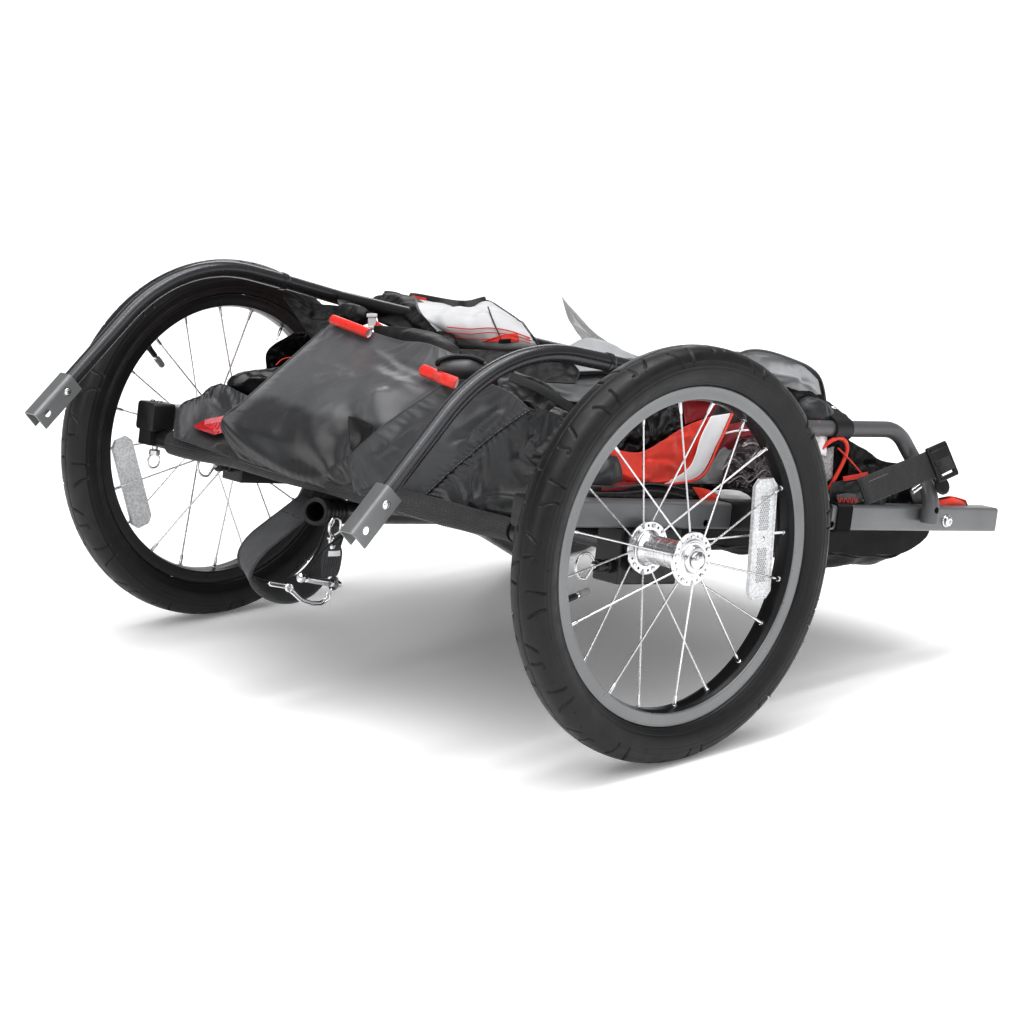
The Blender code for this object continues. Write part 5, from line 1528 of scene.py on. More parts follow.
def shape_grid(P, bulge=0.0, rumple=0.0, rumple_scale=28.0, fine=0.0, fade_sides="tblr", fade=0.14, folds=(), seed=0.0, stretch=(1, 1, 1), fade_rumple=0.08):
    """Crown a patch, crumple it, and press in or raise straight or fanned folds."""
    nu, nv = P.shape[:2]
    N = toward_camera(P, grid_normals(P))
    u = np.linspace(0, 1, nu)[:, None] * np.ones((1, nv))
    v = np.linspace(0, 1, nv)[None, :] * np.ones((nu, 1))
    h = bulge * edge_fade(nu, nv, 0.5, fade_sides)
    soft = edge_fade(nu, nv, fade_rumple, fade_sides)
    if rumple:
        q = P * np.array(stretch) * rumple_scale + seed
        w = fbm(q * 0.6 + 5.0, 2)
        base = fbm(q + w[..., None] * 0.8, 3, 0.5)
        ridge = 0.5 - np.abs(fbm(q * 1.3 + 31.0, 2, 0.5)) * 1.6
        h = h + rumple * (0.55 * base + 0.45 * ridge) * soft
    if fine:
        h = h + fine * fbm(P * rumple_scale * 4.5 + seed, 2) * soft
    for f in folds:
        kind = f[0]
        if kind == "line":       # ("line", u0, v0, u1, v1, width, height)
            _, u0, v0, u1, v1, width, height = f
            du, dv = u1 - u0, v1 - v0
            ln = math.hypot(du, dv)
            t = ((u - u0) * du + (v - v0) * dv) / ln**2
            d = ((u - u0) * dv - (v - v0) * du) / ln
            ends = np.clip(t / 0.25, 0, 1) * np.clip((1 - t) / 0.25, 0, 1)
            ends = ends * ends * (3 - 2 * ends)
            wob = 0.35 * width * pnoise(np.stack([u * 6, v * 6, u * 0 + seed + 3.3], -1))
            h = h + height * np.exp(-(((d + wob) / width) ** 2)) * ends
        elif kind == "fan":      # ("fan", u0, v0, waves, height, near, far, phase)
            _, u0, v0, waves, height, near, far, phase = f
            a = np.arctan2(v - v0, u - u0)
            r = np.hypot(u - u0, v - v0)
            a = a + 0.10 * pnoise(np.stack([u * 4, v * 4, u * 0 + seed + 9.1], -1))
            m = np.clip((r - near * 0.3) / near, 0, 1) * np.clip((far - r) / (far * 0.45), 0, 1)
            h = h + height * np.sin(a * waves + phase) * m * m * (3 - 2 * m) * soft
        elif kind == "pucker":   # ("pucker", side, count, height, reach)
            _, side_key, count, height, reach = f
            along, dist = {"l": (v, u), "r": (v, 1 - u), "b": (u, v), "t": (u, 1 - v)}[side_key]
            ph = along * count * TAU + 1.5 * pnoise(np.stack([along * count * 0.6, dist * 3, along * 0 + seed], -1)) * 3
            h = h + height * np.sin(ph) * np.exp(-dist / reach) * np.clip(dist / 0.02, 0, 1)
    return P + N * h[..., None]


def patch(name, mats, body, bottom, right, top, left, nu=60, nv=44, thick=0.0011, sim=None, held="stretched", rests=(), replaces=(), slot=None, subdiv=1, face_mat=None, declare=True, **shape):
    P = coons(V(bottom), V(right), V(top), V(left), nu, nv)
    return surface(name, mats, body, P, thick, sim, held, rests, replaces, slot, subdiv, face_mat, declare, **shape)


def surface(name, mats, body, P, thick=0.0011, sim=None, held="stretched", rests=(), replaces=(), slot=None, subdiv=1, face_mat=None, declare=True, **shape):
    nu, nv = P.shape[:2]
    P = shape_grid(P, **shape)
    if sim:
        pin = 1 - edge_fade(nu, nv, sim.pop("pin_width", 0.03), sim.pop("pin_sides", "tblr"))
        pin = np.where(pin > 0.5, 1.0, 0.0)
        P = cloth_settle(P, name, pin, **sim)
    obj = thick_grid(P, name, mats, body, thick, subdiv=subdiv, face_mat=face_mat)
    if replaces:
        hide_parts(*replaces)
    if declare:
        declare_sheet(P)
    obj["grid"] = 1
    GRIDS[name] = P
    return obj


GRIDS = {}


def seam_on(name, line, mat, body, n, r=0.00045, length=0.0022, lift=0.0010, normal=None):
    obj = stitches(line, n, length, r, mat, name, body, normal or -FWD, lift)
    return obj


def ribbon(name, line, width, mat, body, n=60, thick=0.0014, normal=None, wave=0.0, declare=True, replaces=(), face=None, seed=0.0, subdiv=1, across=5):
    """A flat strap along a line. `normal` is the way its face looks."""
    P = smooth_line(line, n)
    t = np.gradient(P, axis=0)
    t /= np.linalg.norm(t, axis=1)[:, None]
    nn = np.array(list(normal if normal is not None else -FWD), float)
    if nn.ndim == 1:
        nn = np.tile(nn, (n, 1))
    side = np.cross(nn, t)
    side /= np.maximum(np.linalg.norm(side, axis=1)[:, None], 1e-9)
    up = np.cross(t, side)
    v = np.linspace(-0.5, 0.5, across)
    G = P[:, None] + side[:, None] * (v * width)[None, :, None]
    if wave:
        G = G + up[:, None] * (wave * fbm(np.stack([G[..., 0] * 40 + seed, G[..., 1] * 40, G[..., 2] * 40], -1), 2))[..., None]
    obj = thick_grid(G, name, mat, body, thick, subdiv=subdiv)
    if replaces:
        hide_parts(*replaces)
    if declare:
        declare_sheet(G)
    GRIDS[name] = G
    return obj


def lumpy_roll(name, line, radius, mat, body, n=70, around=36, flat=(1.0, 1.0), rumple=0.004, scale=30.0, twist=0.0, replaces=(), seed=0.0, ends=0.25, up=(0, 0, 1), taper=None, creases=5, subdiv=1):
    """A rolled or bunched bundle of cloth: a soft closed form with long creases and gathered ends."""
    P = smooth_line(line, n)
    t, side, ups = frames(P, up)
    a = np.linspace(0, TAU, around, endpoint=False)
    s = np.linspace(0, 1, n)
    end = np.clip(np.minimum(s, 1 - s) / max(ends, 1e-6), 0, 1)
    shrink = 0.30 + 0.70 * np.sqrt(1 - (1 - end) ** 2)
    if taper is not None:
        shrink = shrink * np.interp(s, np.linspace(0, 1, len(taper)), taper)
    ang = a[None, :] + twist * s[:, None]
    r = radius * shrink[:, None] * np.ones((1, around))
    cr = np.sin(ang * creases + 2.2 * pnoise(np.stack([s[:, None] * 3 + 0 * ang, ang * 0 + seed, np.sin(ang)], -1)) * 3)
    r = r * (1 - 0.09 * np.abs(cr)) 
    G = P[:, None] + side[:, None] * (r * np.cos(a)[None] * flat[0])[..., None] + ups[:, None] * (r * np.sin(a)[None] * flat[1])[..., None]
    N = G - P[:, None]
    N /= np.maximum(np.linalg.norm(N, axis=2)[..., None], 1e-9)
    q = G * scale + seed
    d = 0.6 * fbm(q, 3) + 0.4 * (0.4 - np.abs(fbm(q * 1.7 + 7, 2)) * 1.8)
    G = G + N * (rumple * d * np.minimum(1, shrink[:, None] * 1.3))[..., None]
    bm = grid_bm(G, wrap_v=True)
    layer = bm.loops.layers.uv.get("UVMap")
    bm.verts.ensure_lookup_table()
    ends_of = [([bm.verts[row * around + k] for k in range(around)], row, row) for row in (0, n - 1)]
    for ring, row, i in ends_of:
        c = bm.verts.new(P[i] + t[i] * (-1 if row == 0 else 1) * radius * 0.06)
        for k in range(around):
            f = bm.faces.new((ring[k], ring[(k + 1) % around], c))
            f.smooth = True
    obj = from_bm(bm, name, mat, body, 180)
    if subdiv:
        mod = obj.modifiers.new("smooth_cloth", "SUBSURF")
        mod.levels = mod.render_levels = subdiv
    if replaces:
        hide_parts(*replaces)
    return obj


# ============================================================ rear hem and rear panels
def hem_y(px):
    return 0.25 - (px - 167) / 656


n = 150
ys = np.linspace(0.264, -0.272, n)
a = np.linspace(0, TAU, 40, endpoint=False)
G = np.zeros((n, 40, 3))
for i, y in enumerate(ys):
    sag = 0.0008 * math.sin(y * 17) + 0.0006 * math.sin(y * 41 + 1)
    w = 0.0117 + 0.0005 * math.sin(y * 60)
    for j, t in enumerate(a):
        x = -0.126 + w * math.cos(t) * (1.0 if math.cos(t) > 0 else 0.97)
        z = 0.0064 + (0.0117 + 0.0006 * math.sin(y * 33)) * math.sin(t) + sag * (math.sin(t) < 0)
        G[i, j] = list(W(x, y, z))
inner = np.array([[list(W(-0.126 + 0.0098 * math.cos(t), y, 0.0064 + 0.0098 * math.sin(t))) for t in a] for y in (ys[-1], ys[0])])
HEM_WEB = ribbed("hem_sleeve_webbing", (0.021, 0.021, 0.022), 0.55, 0.0019, 0.00045, across=False, cross_pitch=0.0013)
bm = grid_bm(G, wrap_v=True)
grid_bm(inner, wrap_v=True, bm=bm)
for k, y in ((0, ys[0]), (n - 1, ys[-1])):
    ring_out = G[k]
    ring_in = inner[1] if k == 0 else inner[0]
    grid_bm(np.stack([ring_out, ring_in]), wrap_v=True, bm=bm)
hem = from_bm(bm, "rear_hem_band", HEM_WEB, "chassis", 60)
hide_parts("rear_hem_sleeve")

# Main rear panel: hangs from the roof tube to the hem, its left border folded over into a slanting edge.
main_left = [(240, 459, 0.131), (228, 440, 0.145), (221, 421, 0.150), (238, 406, 0.151), (276, 372, 0.152), (306, 345, 0.153), (333, 321, 0.154)]
main_top = [(333, 321, 0.154), (345, 324, 0.130), (373, 332, 0.085), (400, 340, 0.040), (430, 344, -0.020), (459, 356, -0.060)]
main_right = [(357, 496, -0.044), (352, 476, -0.043), (352, 458, -0.038), (374, 437, -0.054), (402, 415, -0.069), (428, 397, -0.082), (452, 383, -0.088), (459, 356, -0.060)]
main_bottom = [(240, 459, 0.131), (262, 467, 0.098), (300, 479, 0.040), (331, 489, -0.006), (357, 496, -0.044)]
patch(
    "rear_panel_main_cloth", SHEEN_PAINTED_PANEL, "chassis", main_bottom, main_right, main_top, main_left, nu=90, nv=100, thick=0.0012,
    bulge=0.010, rumple=0.0035, rumple_scale=19, seed=2.0, fade_rumple=0.05,
    folds=(
        ("fan", 1.04, -0.02, 13.0, 0.0034, 0.14, 0.95, 0.4),
        ("line", 0.98, 0.30, 0.62, 0.50, 0.045, -0.0075), ("line", 1.0, 0.36, 0.72, 0.62, 0.04, 0.0060), ("line", 0.45, 0.74, 0.95, 0.66, 0.035, 0.0034),
        ("line", 0.55, 0.84, 0.96, 0.80, 0.030, -0.0028), ("line", 0.30, 0.93, 0.75, 0.74, 0.030, 0.0022), ("line", 0.05, 0.42, 0.50, 0.40, 0.05, -0.0018),
        ("pucker", "b", 16, 0.0009, 0.05),
    ),
    sim=dict(shrink=-0.018, gravity=0.25, cap=0.006, bend=1.2, frames_n=18, pin_width=0.02),
    replaces=("rear_panel_main",), slot="charcoal_nylon", rests=("rear_hem_band", "roof_tube"),
)
# stitched fold along the slanting left border
edge = smooth_line(V(main_left[1:]), 120)
piping("main_panel_folded_edge", [Vector(p) for p in edge[::10]], 0.0012, CHARCOAL, "chassis", 60, 8)

# Second panel, from the tuck to the puckered seam.
seam_line = [(402, 508, -0.117), (420, 499, -0.134), (445, 476, -0.154), (475, 450, -0.184), (505, 426, -0.214), (531, 409, -0.237)]
second_left = [(356, 497, -0.050), (352, 478, -0.049), (350, 459, -0.044), (374, 434, -0.062), (400, 414, -0.077), (427, 396, -0.093), (452, 379, -0.108)]
patch(
    "rear_panel_right_cloth", CHARCOAL, "chassis",
    [(356, 497, -0.050), (380, 503, -0.085), (402, 508, -0.117)], seam_line,
    [(452, 379, -0.108), (480, 381, -0.140), (508, 391, -0.190), (531, 409, -0.237)], second_left, nu=64, nv=90, thick=0.0012,
    bulge=0.013, rumple=0.0030, rumple_scale=22, seed=7.5, fade_rumple=0.05,
    folds=(
        ("line", 0.62, 0.98, 0.78, 0.52, 0.05, -0.0085), ("line", 0.75, 0.92, 0.86, 0.60, 0.045, 0.0060), ("pucker", "r", 26, 0.0026, 0.07),
        ("line", 0.18, 0.22, 0.36, 0.60, 0.05, 0.0028), ("line", 0.10, 0.30, 0.12, 0.04, 0.05, -0.002), ("pucker", "b", 7, 0.0020, 0.07),
    ),
    sim=dict(shrink=-0.02, gravity=0.2, cap=0.006, bend=1.0, frames_n=18, pin_width=0.02),
    replaces=("rear_panel_right",), slot="charcoal_nylon", rests=("rear_hem_band", "roof_tube"),
)
piping("second_panel_folded_edge", V(second_left[1:]), 0.0011, CHARCOAL, "chassis", 60, 8)

# Lower right panel, shiny, with the gathers that run into the corner by the rail.
low_right = [(522, 537, -0.268), (545, 505, -0.262), (552, 460, -0.256), (566, 418, -0.247)]
patch(
    "rear_panel_side_cloth", CHARCOAL_SHINE, "chassis",
    [(402, 508, -0.117), (440, 517, -0.164), (480, 527, -0.222), (522, 537, -0.268)], low_right,
    [(531, 409, -0.237), (548, 411, -0.241), (566, 418, -0.247)], seam_line, nu=80, nv=80, thick=0.0012,
    bulge=0.007, rumple=0.0040, rumple_scale=20, seed=13.0, fade_rumple=0.05,
    folds=(
        ("pucker", "l", 24, 0.0026, 0.06), ("line", 0.30, 0.16, 0.95, 0.36, 0.05, 0.0060), ("line", 0.20, 0.08, 0.90, 0.18, 0.035, -0.0035),
        ("line", 0.45, 0.62, 0.98, 0.56, 0.05, -0.0055), ("line", 0.50, 0.78, 0.96, 0.66, 0.05, 0.0050), ("pucker", "r", 15, 0.0024, 0.10), ("pucker", "b", 18, 0.0010, 0.05),
    ),
    sim=dict(shrink=-0.025, gravity=0.2, cap=0.006, bend=0.7, frames_n=18, pin_width=0.02), rests=("rear_hem_band",),
)
# the gathered seam itself: a ropey welt with stitches
line = smooth_line(V(seam_line), 90)
wob = np.stack([fbm(line * 160 + 3, 2), fbm(line * 160 + 17, 2), fbm(line * 160 + 29, 2)], 1) * 0.0012
tube_obj("gathered_seam_welt", line + wob + np.array(list(-FWD)) * 0.0012, 0.0016, CHARCOAL_DARK, "chassis", 10, scale=1 + 0.5 * fbm(line * 260, 2))
seam_on("gathered_seam_stitches", V(seam_line), THREAD_GREY, "chassis", 46, 0.00035, 0.0018, 0.0030)
seam_on("hem_stitches", V([(x, 459 + (x - 240) * 0.318 + 2.5, hem_y(x) - 0.012) for x in range(240, 520, 40)]), THREAD_GREY, "chassis", 110, 0.00030, 0.0017, 0.0018)

# Left flap in front of the rail, with a puckered top border, and the reflector sewn on it.
flap_top = [(178, 411, 0.252), (183, 404, 0.249), (191, 400, 0.246), (201, 396, 0.243), (212, 387, 0.239), (222, 384, 0.236), (240, 392, 0.205), (262, 402, 0.170)]
patch(
    "rear_flap_left_cloth", CHARCOAL, "chassis",
    [(173, 437, 0.236), (195, 445, 0.202), (220, 454, 0.165), (250, 463, 0.118)], [(250, 463, 0.118), (256, 432, 0.150), (262, 402, 0.170)],
    flap_top, [(173, 437, 0.236), (174, 427, 0.248), (178, 411, 0.252)], nu=60, nv=40, thick=0.0012,
    bulge=0.004, rumple=0.0030, rumple_scale=30, seed=21.0, fade_rumple=0.06,
    folds=(("pucker", "t", 17, 0.0016, 0.10), ("line", 0.30, 0.95, 0.55, 0.62, 0.06, -0.004), ("line", 0.50, 0.98, 0.72, 0.70, 0.05, 0.004)),
    sim=dict(shrink=-0.02, gravity=0.2, cap=0.004, bend=0.8, frames_n=16, pin_width=0.03),
    replaces=("rear_flap_left",), slot="charcoal_nylon", rests=("rear_hem_band",),
)
flap_edge = smooth_line(V(flap_top[:6]), 70)
wob = np.stack([fbm(flap_edge * 150 + 3, 2), fbm(flap_edge * 150 + 17, 2), fbm(flap_edge * 150 + 29, 2)], 1) * 0.0012
tube_obj("flap_puckered_edge", flap_edge + wob, 0.0011, CHARCOAL_DARK, "chassis", 8)

def on_sheets(points, names, lift):
    """Points seen at these pixels, a little in front of the nearest of several finished sheets."""
    P = np.concatenate([GRIDS[k].reshape(-1, 3) for k in names]) - np.array(list(CAM))
    f, r_, u_ = (np.array(list(a)) for a in (FWD, RGT, UPW))
    depth = P @ f
    sx, sy = P @ r_ / depth * FOCAL + 512, 512 - P @ u_ / depth * FOCAL
    ds = []
    for a, b in points:
        m = np.where((sx - a) ** 2 + (sy - b) ** 2 < 36)[0]
        ds.append(depth[m].min() if len(m) else (ds[-1] if ds else depth[np.argmin((sx - a) ** 2 + (sy - b) ** 2)]))
    return [CAM + ray(a, b) * ((d - lift) / FOCAL) for (a, b), d in zip(points, ds)]


bm = bmesh.new()
ref_out = [(193, 426), (205, 419.5), (226, 415), (226, 432), (214, 435), (197, 429)]
ref_mid = [(204, 424.5), (226, 421), (226, 428), (212, 430)]
FLAP = ("rear_flap_left_cloth",)
back_ring = [bm.verts.new(p) for p in on_sheets(ref_out, FLAP, 0.0006)]
rim_ring = [bm.verts.new(p) for p in on_sheets(ref_out, FLAP, 0.0045)]
face_ring = [bm.verts.new(p) for p in on_sheets(ref_mid, FLAP, 0.0092)]
bm.faces.new(back_ring[::-1])
for k in range(6):
    bm.faces.new((back_ring[k], back_ring[(k + 1) % 6], rim_ring[(k + 1) % 6], rim_ring[k]))
top_faces = [bm.faces.new((rim_ring[1], rim_ring[2], face_ring[1], face_ring[0]))]
bm.faces.new((rim_ring[0], rim_ring[1], face_ring[0]))
bm.faces.new((rim_ring[5], rim_ring[0], face_ring[0], face_ring[3]))
bm.faces.new((rim_ring[4], rim_ring[5], face_ring[3]))
bm.faces.new((rim_ring[3], rim_ring[4], face_ring[3], face_ring[2]))
bm.faces.new((rim_ring[2], rim_ring[3], face_ring[2], face_ring[1]))
bm.faces.new(face_ring)
# painted highlight: the top bevel takes the pale pink copy of the red lens, where the light falls on it
for f in top_faces:
    f.material_index = 1
reflector = from_bm(bm, "rear_red_reflector", [REFLECT_RED, LENS_TOP_HIGHLIGHT], "chassis", None)
bevel_mod(reflector, 0.0005, 2, 20)
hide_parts("rear_reflector")

# Black bundle of the rolled side window between the flap and the slanting edge.
lumpy_roll("rolled_side_window_left", V([(228, 386, 0.232), (250, 384, 0.228), (285, 380, 0.222), (330, 372, 0.215), (372, 360, 0.210)]), 0.0165, BLACK_FILM, "chassis", rumple=0.006, scale=26, seed=3.0, flat=(1.0, 0.95), creases=4, taper=[0.85, 1.0, 1.0, 0.95, 0.9], ends=0.12)
piping("rolled_window_red_tie", V([(276, 365, 0.215), (282, 359.5, 0.215), (290, 357.5, 0.213), (297, 358, 0.21)]), 0.0006, THREAD_RED, "chassis", 24, 8)


# ============================================================ cloth on the upper frame
def WL(points, s=0):
    """Chassis-frame points, twisted with one side of the upper frame where s is -1 or 1."""
    return [T(*p, s) if s else W(*p) for p in points]


def twist_at(x, y, z):
    """Upper-frame cloth follows the two side tubes, blended across."""
    k = max(-1.0, min(1.0, y / SIDE_Y))
    a, b = T(x, y, z, -1), T(x, y, z, 1)
    return a.lerp(b, (k + 1) / 2)


def rows_local(rows, nu, nv, twist=False):
    f = twist_at if twist else W
    return spline_grid([[f(*p) for p in row] for row in rows], nu, nv)


def stick(name, points, lift=0.0018, far=False):
    """Points seen at these pixels, laid on a finished sheet."""
    P = GRIDS[name].reshape(-1, 3) - np.array(list(CAM))
    f, r_, u_ = (np.array(list(a)) for a in (FWD, RGT, UPW))
    depth = P @ f
    sx, sy = P @ r_ / depth * FOCAL + 512, 512 - P @ u_ / depth * FOCAL
    out = []
    for q in smooth_line([(a, b, 0) for a, b in points], max(12, 3 * len(points))):
        d2 = (sx - q[0]) ** 2 + (sy - q[1]) ** 2
        near_ones = np.where(d2 < max(9.0, d2.min() * 1.5 + 1.0))[0]
        k = near_ones[np.argmax(depth[near_ones])] if far else near_ones[np.argmin(depth[near_ones])]
        out.append((q[0], q[1], depth[k] - lift))
    ds = np.array([o[2] for o in out])
    pad = np.concatenate([ds[:1], ds[:1], ds, ds[-1:], ds[-1:]])
    ds = np.convolve(pad, np.ones(5) / 5, "valid")
    return [CAM + ray(a, b) * (d / FOCAL) for (a, b, _), d in zip(out, ds)]


def bind(name, mat, body, r, sides="tblr", lift=0.0):
    """Narrow binding sewn along the borders of a finished sheet."""
    P = GRIDS[name]
    rows = {"t": P[:, -1], "b": P[:, 0], "l": P[0], "r": P[-1]}
    for k in sides:
        line = rows[k][:: max(1, len(rows[k]) // 40)]
        piping(f"{name}_border_{k}", [Vector(p) + UPW * lift for p in line], r, mat, body, 110, 8)


# Black sheet in the opening where the two rear panels meet: painted shadow
lines = [stick("rear_panel_main_cloth", row, 0.0016) for row in ([(350, 449), (353, 451), (357, 449)], [(349.5, 438), (358, 441), (369, 439)], [(348.5, 426), (360, 429), (375, 430)], [(348, 416), (357, 418), (368, 424)])]
P = spline_grid([[tuple(p) for p in line] for line in lines], 26, 30)
uu, vv = np.meshgrid(np.linspace(-1, 1, 26), np.linspace(-1, 1, 30), indexing="ij")
P = P + (np.array(list(FWD)) * 0.004)[None, None] * ((1 - uu**2) * (1 - vv**2))[..., None] * 0.3
thick_grid(P, "panel_gap_painted_shadow", BLACK_NYLON, "chassis", 0.0012, subdiv=1)

# Canopy: one curved sheet from the left side tube over a crest to its bound front border.
canopy_rows = [
    [W(0.115, 0.243, 0.163), W(0.170, 0.243, 0.158), W(0.240, 0.243, 0.148), W(0.300, 0.243, 0.137), W(0.325, 0.243, 0.131)],
    V([(405, 299, 0.235), (435, 304, 0.212), (465, 309, 0.176), (486, 302, 0.155), (503, 312, 0.130), (520, 323, 0.100)]),
    V([(424, 318, 0.050), (450, 320, 0.012), (476, 321, -0.022), (500, 323, -0.052), (515, 328, -0.072), (532, 336, -0.095)]),
    V([(446, 342, 0.018), (468, 343, -0.012), (488, 344, -0.042), (508, 344.5, -0.070), (524, 345, -0.090), (541, 348, -0.112)]),
    V([(454, 347, 0.040), (470, 348, 0.010), (490, 349, -0.020), (508, 349.5, -0.050), (524, 350, -0.070), (540, 352, -0.090)]),
]


def canopy_mat(i, j):
    """White cloth with a black tucked border."""
    return 2 if j > 68 else 0


canopy_P = spline_grid(canopy_rows, 96, 72)
surface(
    "canopy_cloth", [CANOPY_CLOTH, RED_NYLON, BLACK_NYLON], "upper_frame", canopy_P, 0.0011, dict(shrink=-0.01, gravity=0.1, cap=0.002, bend=0.8, frames_n=12, pin_width=0.02),
    held="stretched", rests=("side_run_tube_left", "roof_tube"), replaces=("canopy_roof",), slot="charcoal_nylon", face_mat=canopy_mat,
    rumple=0.003, rumple_scale=24, seed=41.0, fade_rumple=0.06, folds=(("line", 0.1, 0.9, 0.5, 0.5, 0.06, 0.003), ("line", 0.4, 0.85, 0.75, 0.45, 0.06, -0.003)),
)
def silhouette(name, x0, x1, n, up=0.0008, out=0.0026):
    """The highest line of a finished sheet between two columns of the view."""
    P = GRIDS[name].reshape(-1, 3)
    Q = P - np.array(list(CAM))
    f, r_, u_ = (np.array(list(a)) for a in (FWD, RGT, UPW))
    depth = Q @ f
    sx, sy = Q @ r_ / depth * FOCAL + 512, 512 - Q @ u_ / depth * FOCAL
    pts = []
    for x in np.linspace(x0, x1, n):
        m = np.where(np.abs(sx - x) < 1.8)[0]
        if len(m):
            pts.append(P[m[np.argmin(sy[m])]])
    pts = np.array(pts)
    for _ in range(2):
        pad = np.concatenate([pts[:1]] * 3 + [pts] + [pts[-1:]] * 3)
        pts = np.stack([np.convolve(pad[:, k], np.ones(7) / 7, "valid") for k in range(3)], 1)
    return [Vector(p) - FWD * out + UPW * up for p in pts]


crest = silhouette("canopy_cloth", 405, 490, 36)
ribbon("canopy_edge_binding", crest, 0.0105, BINDING, "upper_frame", 70, 0.0026, wave=0.0012)
ribbon("canopy_edge_red_insert", silhouette("canopy_cloth", 412, 429, 20, 0.0006, 0.0062), 0.0038, RED_BINDING, "upper_frame", 16, 0.0020, declare=False)
bind("canopy_cloth", BLACK_NYLON, "upper_frame", 0.0014, "lrt")
piping("canopy_front_cord_edge", silhouette("canopy_cloth", 484, 538, 34, 0.0004, 0.0030), 0.0014, BLACK_NYLON, "upper_frame", 50, 8)
piping("canopy_seam", stick("canopy_cloth", [(488, 307), (492, 318), (497, 330), (502, 341)]), 0.0007, THREAD_BLACK, "upper_frame", 40, 8)
for k, rows in enumerate(([(447, 327), (470, 329), (490, 328), (510, 331), (530, 338)], [(446, 332), (470, 334), (490, 332.5), (512, 335), (532, 341)], [(450, 336.5), (470, 338.5), (488, 339), (512, 339.5), (530, 343)])):
    piping(f"canopy_red_thread_{k}", stick("canopy_cloth", rows), (0.0006, 0.0005, 0.0004)[k], THREAD_RED, "upper_frame", 60, 6)


def decal(name, mat, sheet, rows, nu, nv, lift=0.0016, thick=0.0009):
    """A small sewn-on piece that follows the sheet below it."""
    lines = [stick(sheet, row, lift) for row in rows]
    P = spline_grid([[tuple(p) for p in line] for line in lines], nu, nv)
    return thick_grid(P, name, mat, "upper_frame", thick, subdiv=1)


decal("canopy_red_wedge", RED_NYLON, "canopy_cloth", [[(480, 342.5), (498, 342), (519, 342)], [(490, 339), (503, 336.5), (518, 335)], [(502, 335), (510, 333.5), (517, 333)]], 20, 12)
decal("canopy_black_patch", BLACK_NYLON, "canopy_cloth", [[(498, 343.5), (505, 343.5), (511, 343)], [(499, 339.5), (505, 339), (511, 338.5)]], 10, 8, 0.0026)

# Folded bug screen, a soft crumpled bundle across the roof tube under the left side tube.
lumpy_roll("bug_screen_bundle", V([(374, 300, 0.236), (392, 304, 0.205), (412, 314, 0.150), (430, 326, 0.085), (445, 337, 0.020), (452, 347, -0.030)]), 0.0165, BLACK_MESH_SOLID, "upper_frame",
           n=110, around=44, rumple=0.0050, scale=24, seed=9.0, creases=4, twist=2.0, flat=(1.15, 0.85), taper=[0.62, 1.0, 1.1, 0.85, 0.55, 0.4], ends=0.15, replaces=("bug_screen_roll",))
patch(
    "bug_screen_loose_edge", BLACK_MESH_SOLID, "upper_frame",
    [(378, 322, 0.160), (400, 331, 0.110), (428, 341, 0.050), (452, 350, 0.0)], [(452, 350, 0.0), (444, 330, 0.050), (430, 315, 0.100)],
    [(385, 291, 0.228), (396, 292, 0.205), (412, 300, 0.160), (430, 315, 0.100)], [(378, 322, 0.160), (376, 306, 0.205), (385, 291, 0.228)], nu=60, nv=40, thick=0.0015,
    rumple=0.006, rumple_scale=24, seed=51.0, fine=0.0004, held="gathered", rests=("roof_tube",), fade_rumple=0.04,
)
patch(
    "main_panel_top_hem", BLACK_NYLON, "chassis",
    [(374, 336, 0.084), (400, 343.5, 0.040), (430, 348, -0.018), (459, 360, -0.058)], [(459, 360, -0.058), (461, 350, -0.050)],
    [(374, 326, 0.090), (405, 328, 0.050), (437, 334, 0.0), (461, 350, -0.050)], [(374, 336, 0.084), (374, 326, 0.090)], nu=50, nv=12, thick=0.0030, bulge=0.004, rumple=0.003, rumple_scale=30, held="folded", rests=("roof_tube",),
)
patch(
    "mesh_window_left", BLACK_MESH_SOLID, "upper_frame",
    [(315, 345, 0.205), (330, 338, 0.195), (345, 332, 0.185), (372, 322, 0.180)], [(372, 322, 0.180), (376, 312, 0.236)],
    [(283, 296, 0.244), (310, 303, 0.243), (340, 307, 0.240), (376, 312, 0.236)], [(315, 345, 0.205), (298, 320, 0.226), (283, 296, 0.244)], nu=50, nv=36, thick=0.0012,
    rumple=0.009, rumple_scale=34, seed=61.0, held="gathered", rests=("side_run_tube_left",), fade_rumple=0.05,
)
lumpy_roll("black_tube_pad_left", V([(337, 311, 0.185), (352, 314, 0.165), (368, 318, 0.145)]), 0.0105, BLACK_NYLON, "upper_frame", n=40, around=26, rumple=0.003, scale=50, seed=71, ends=0.35)

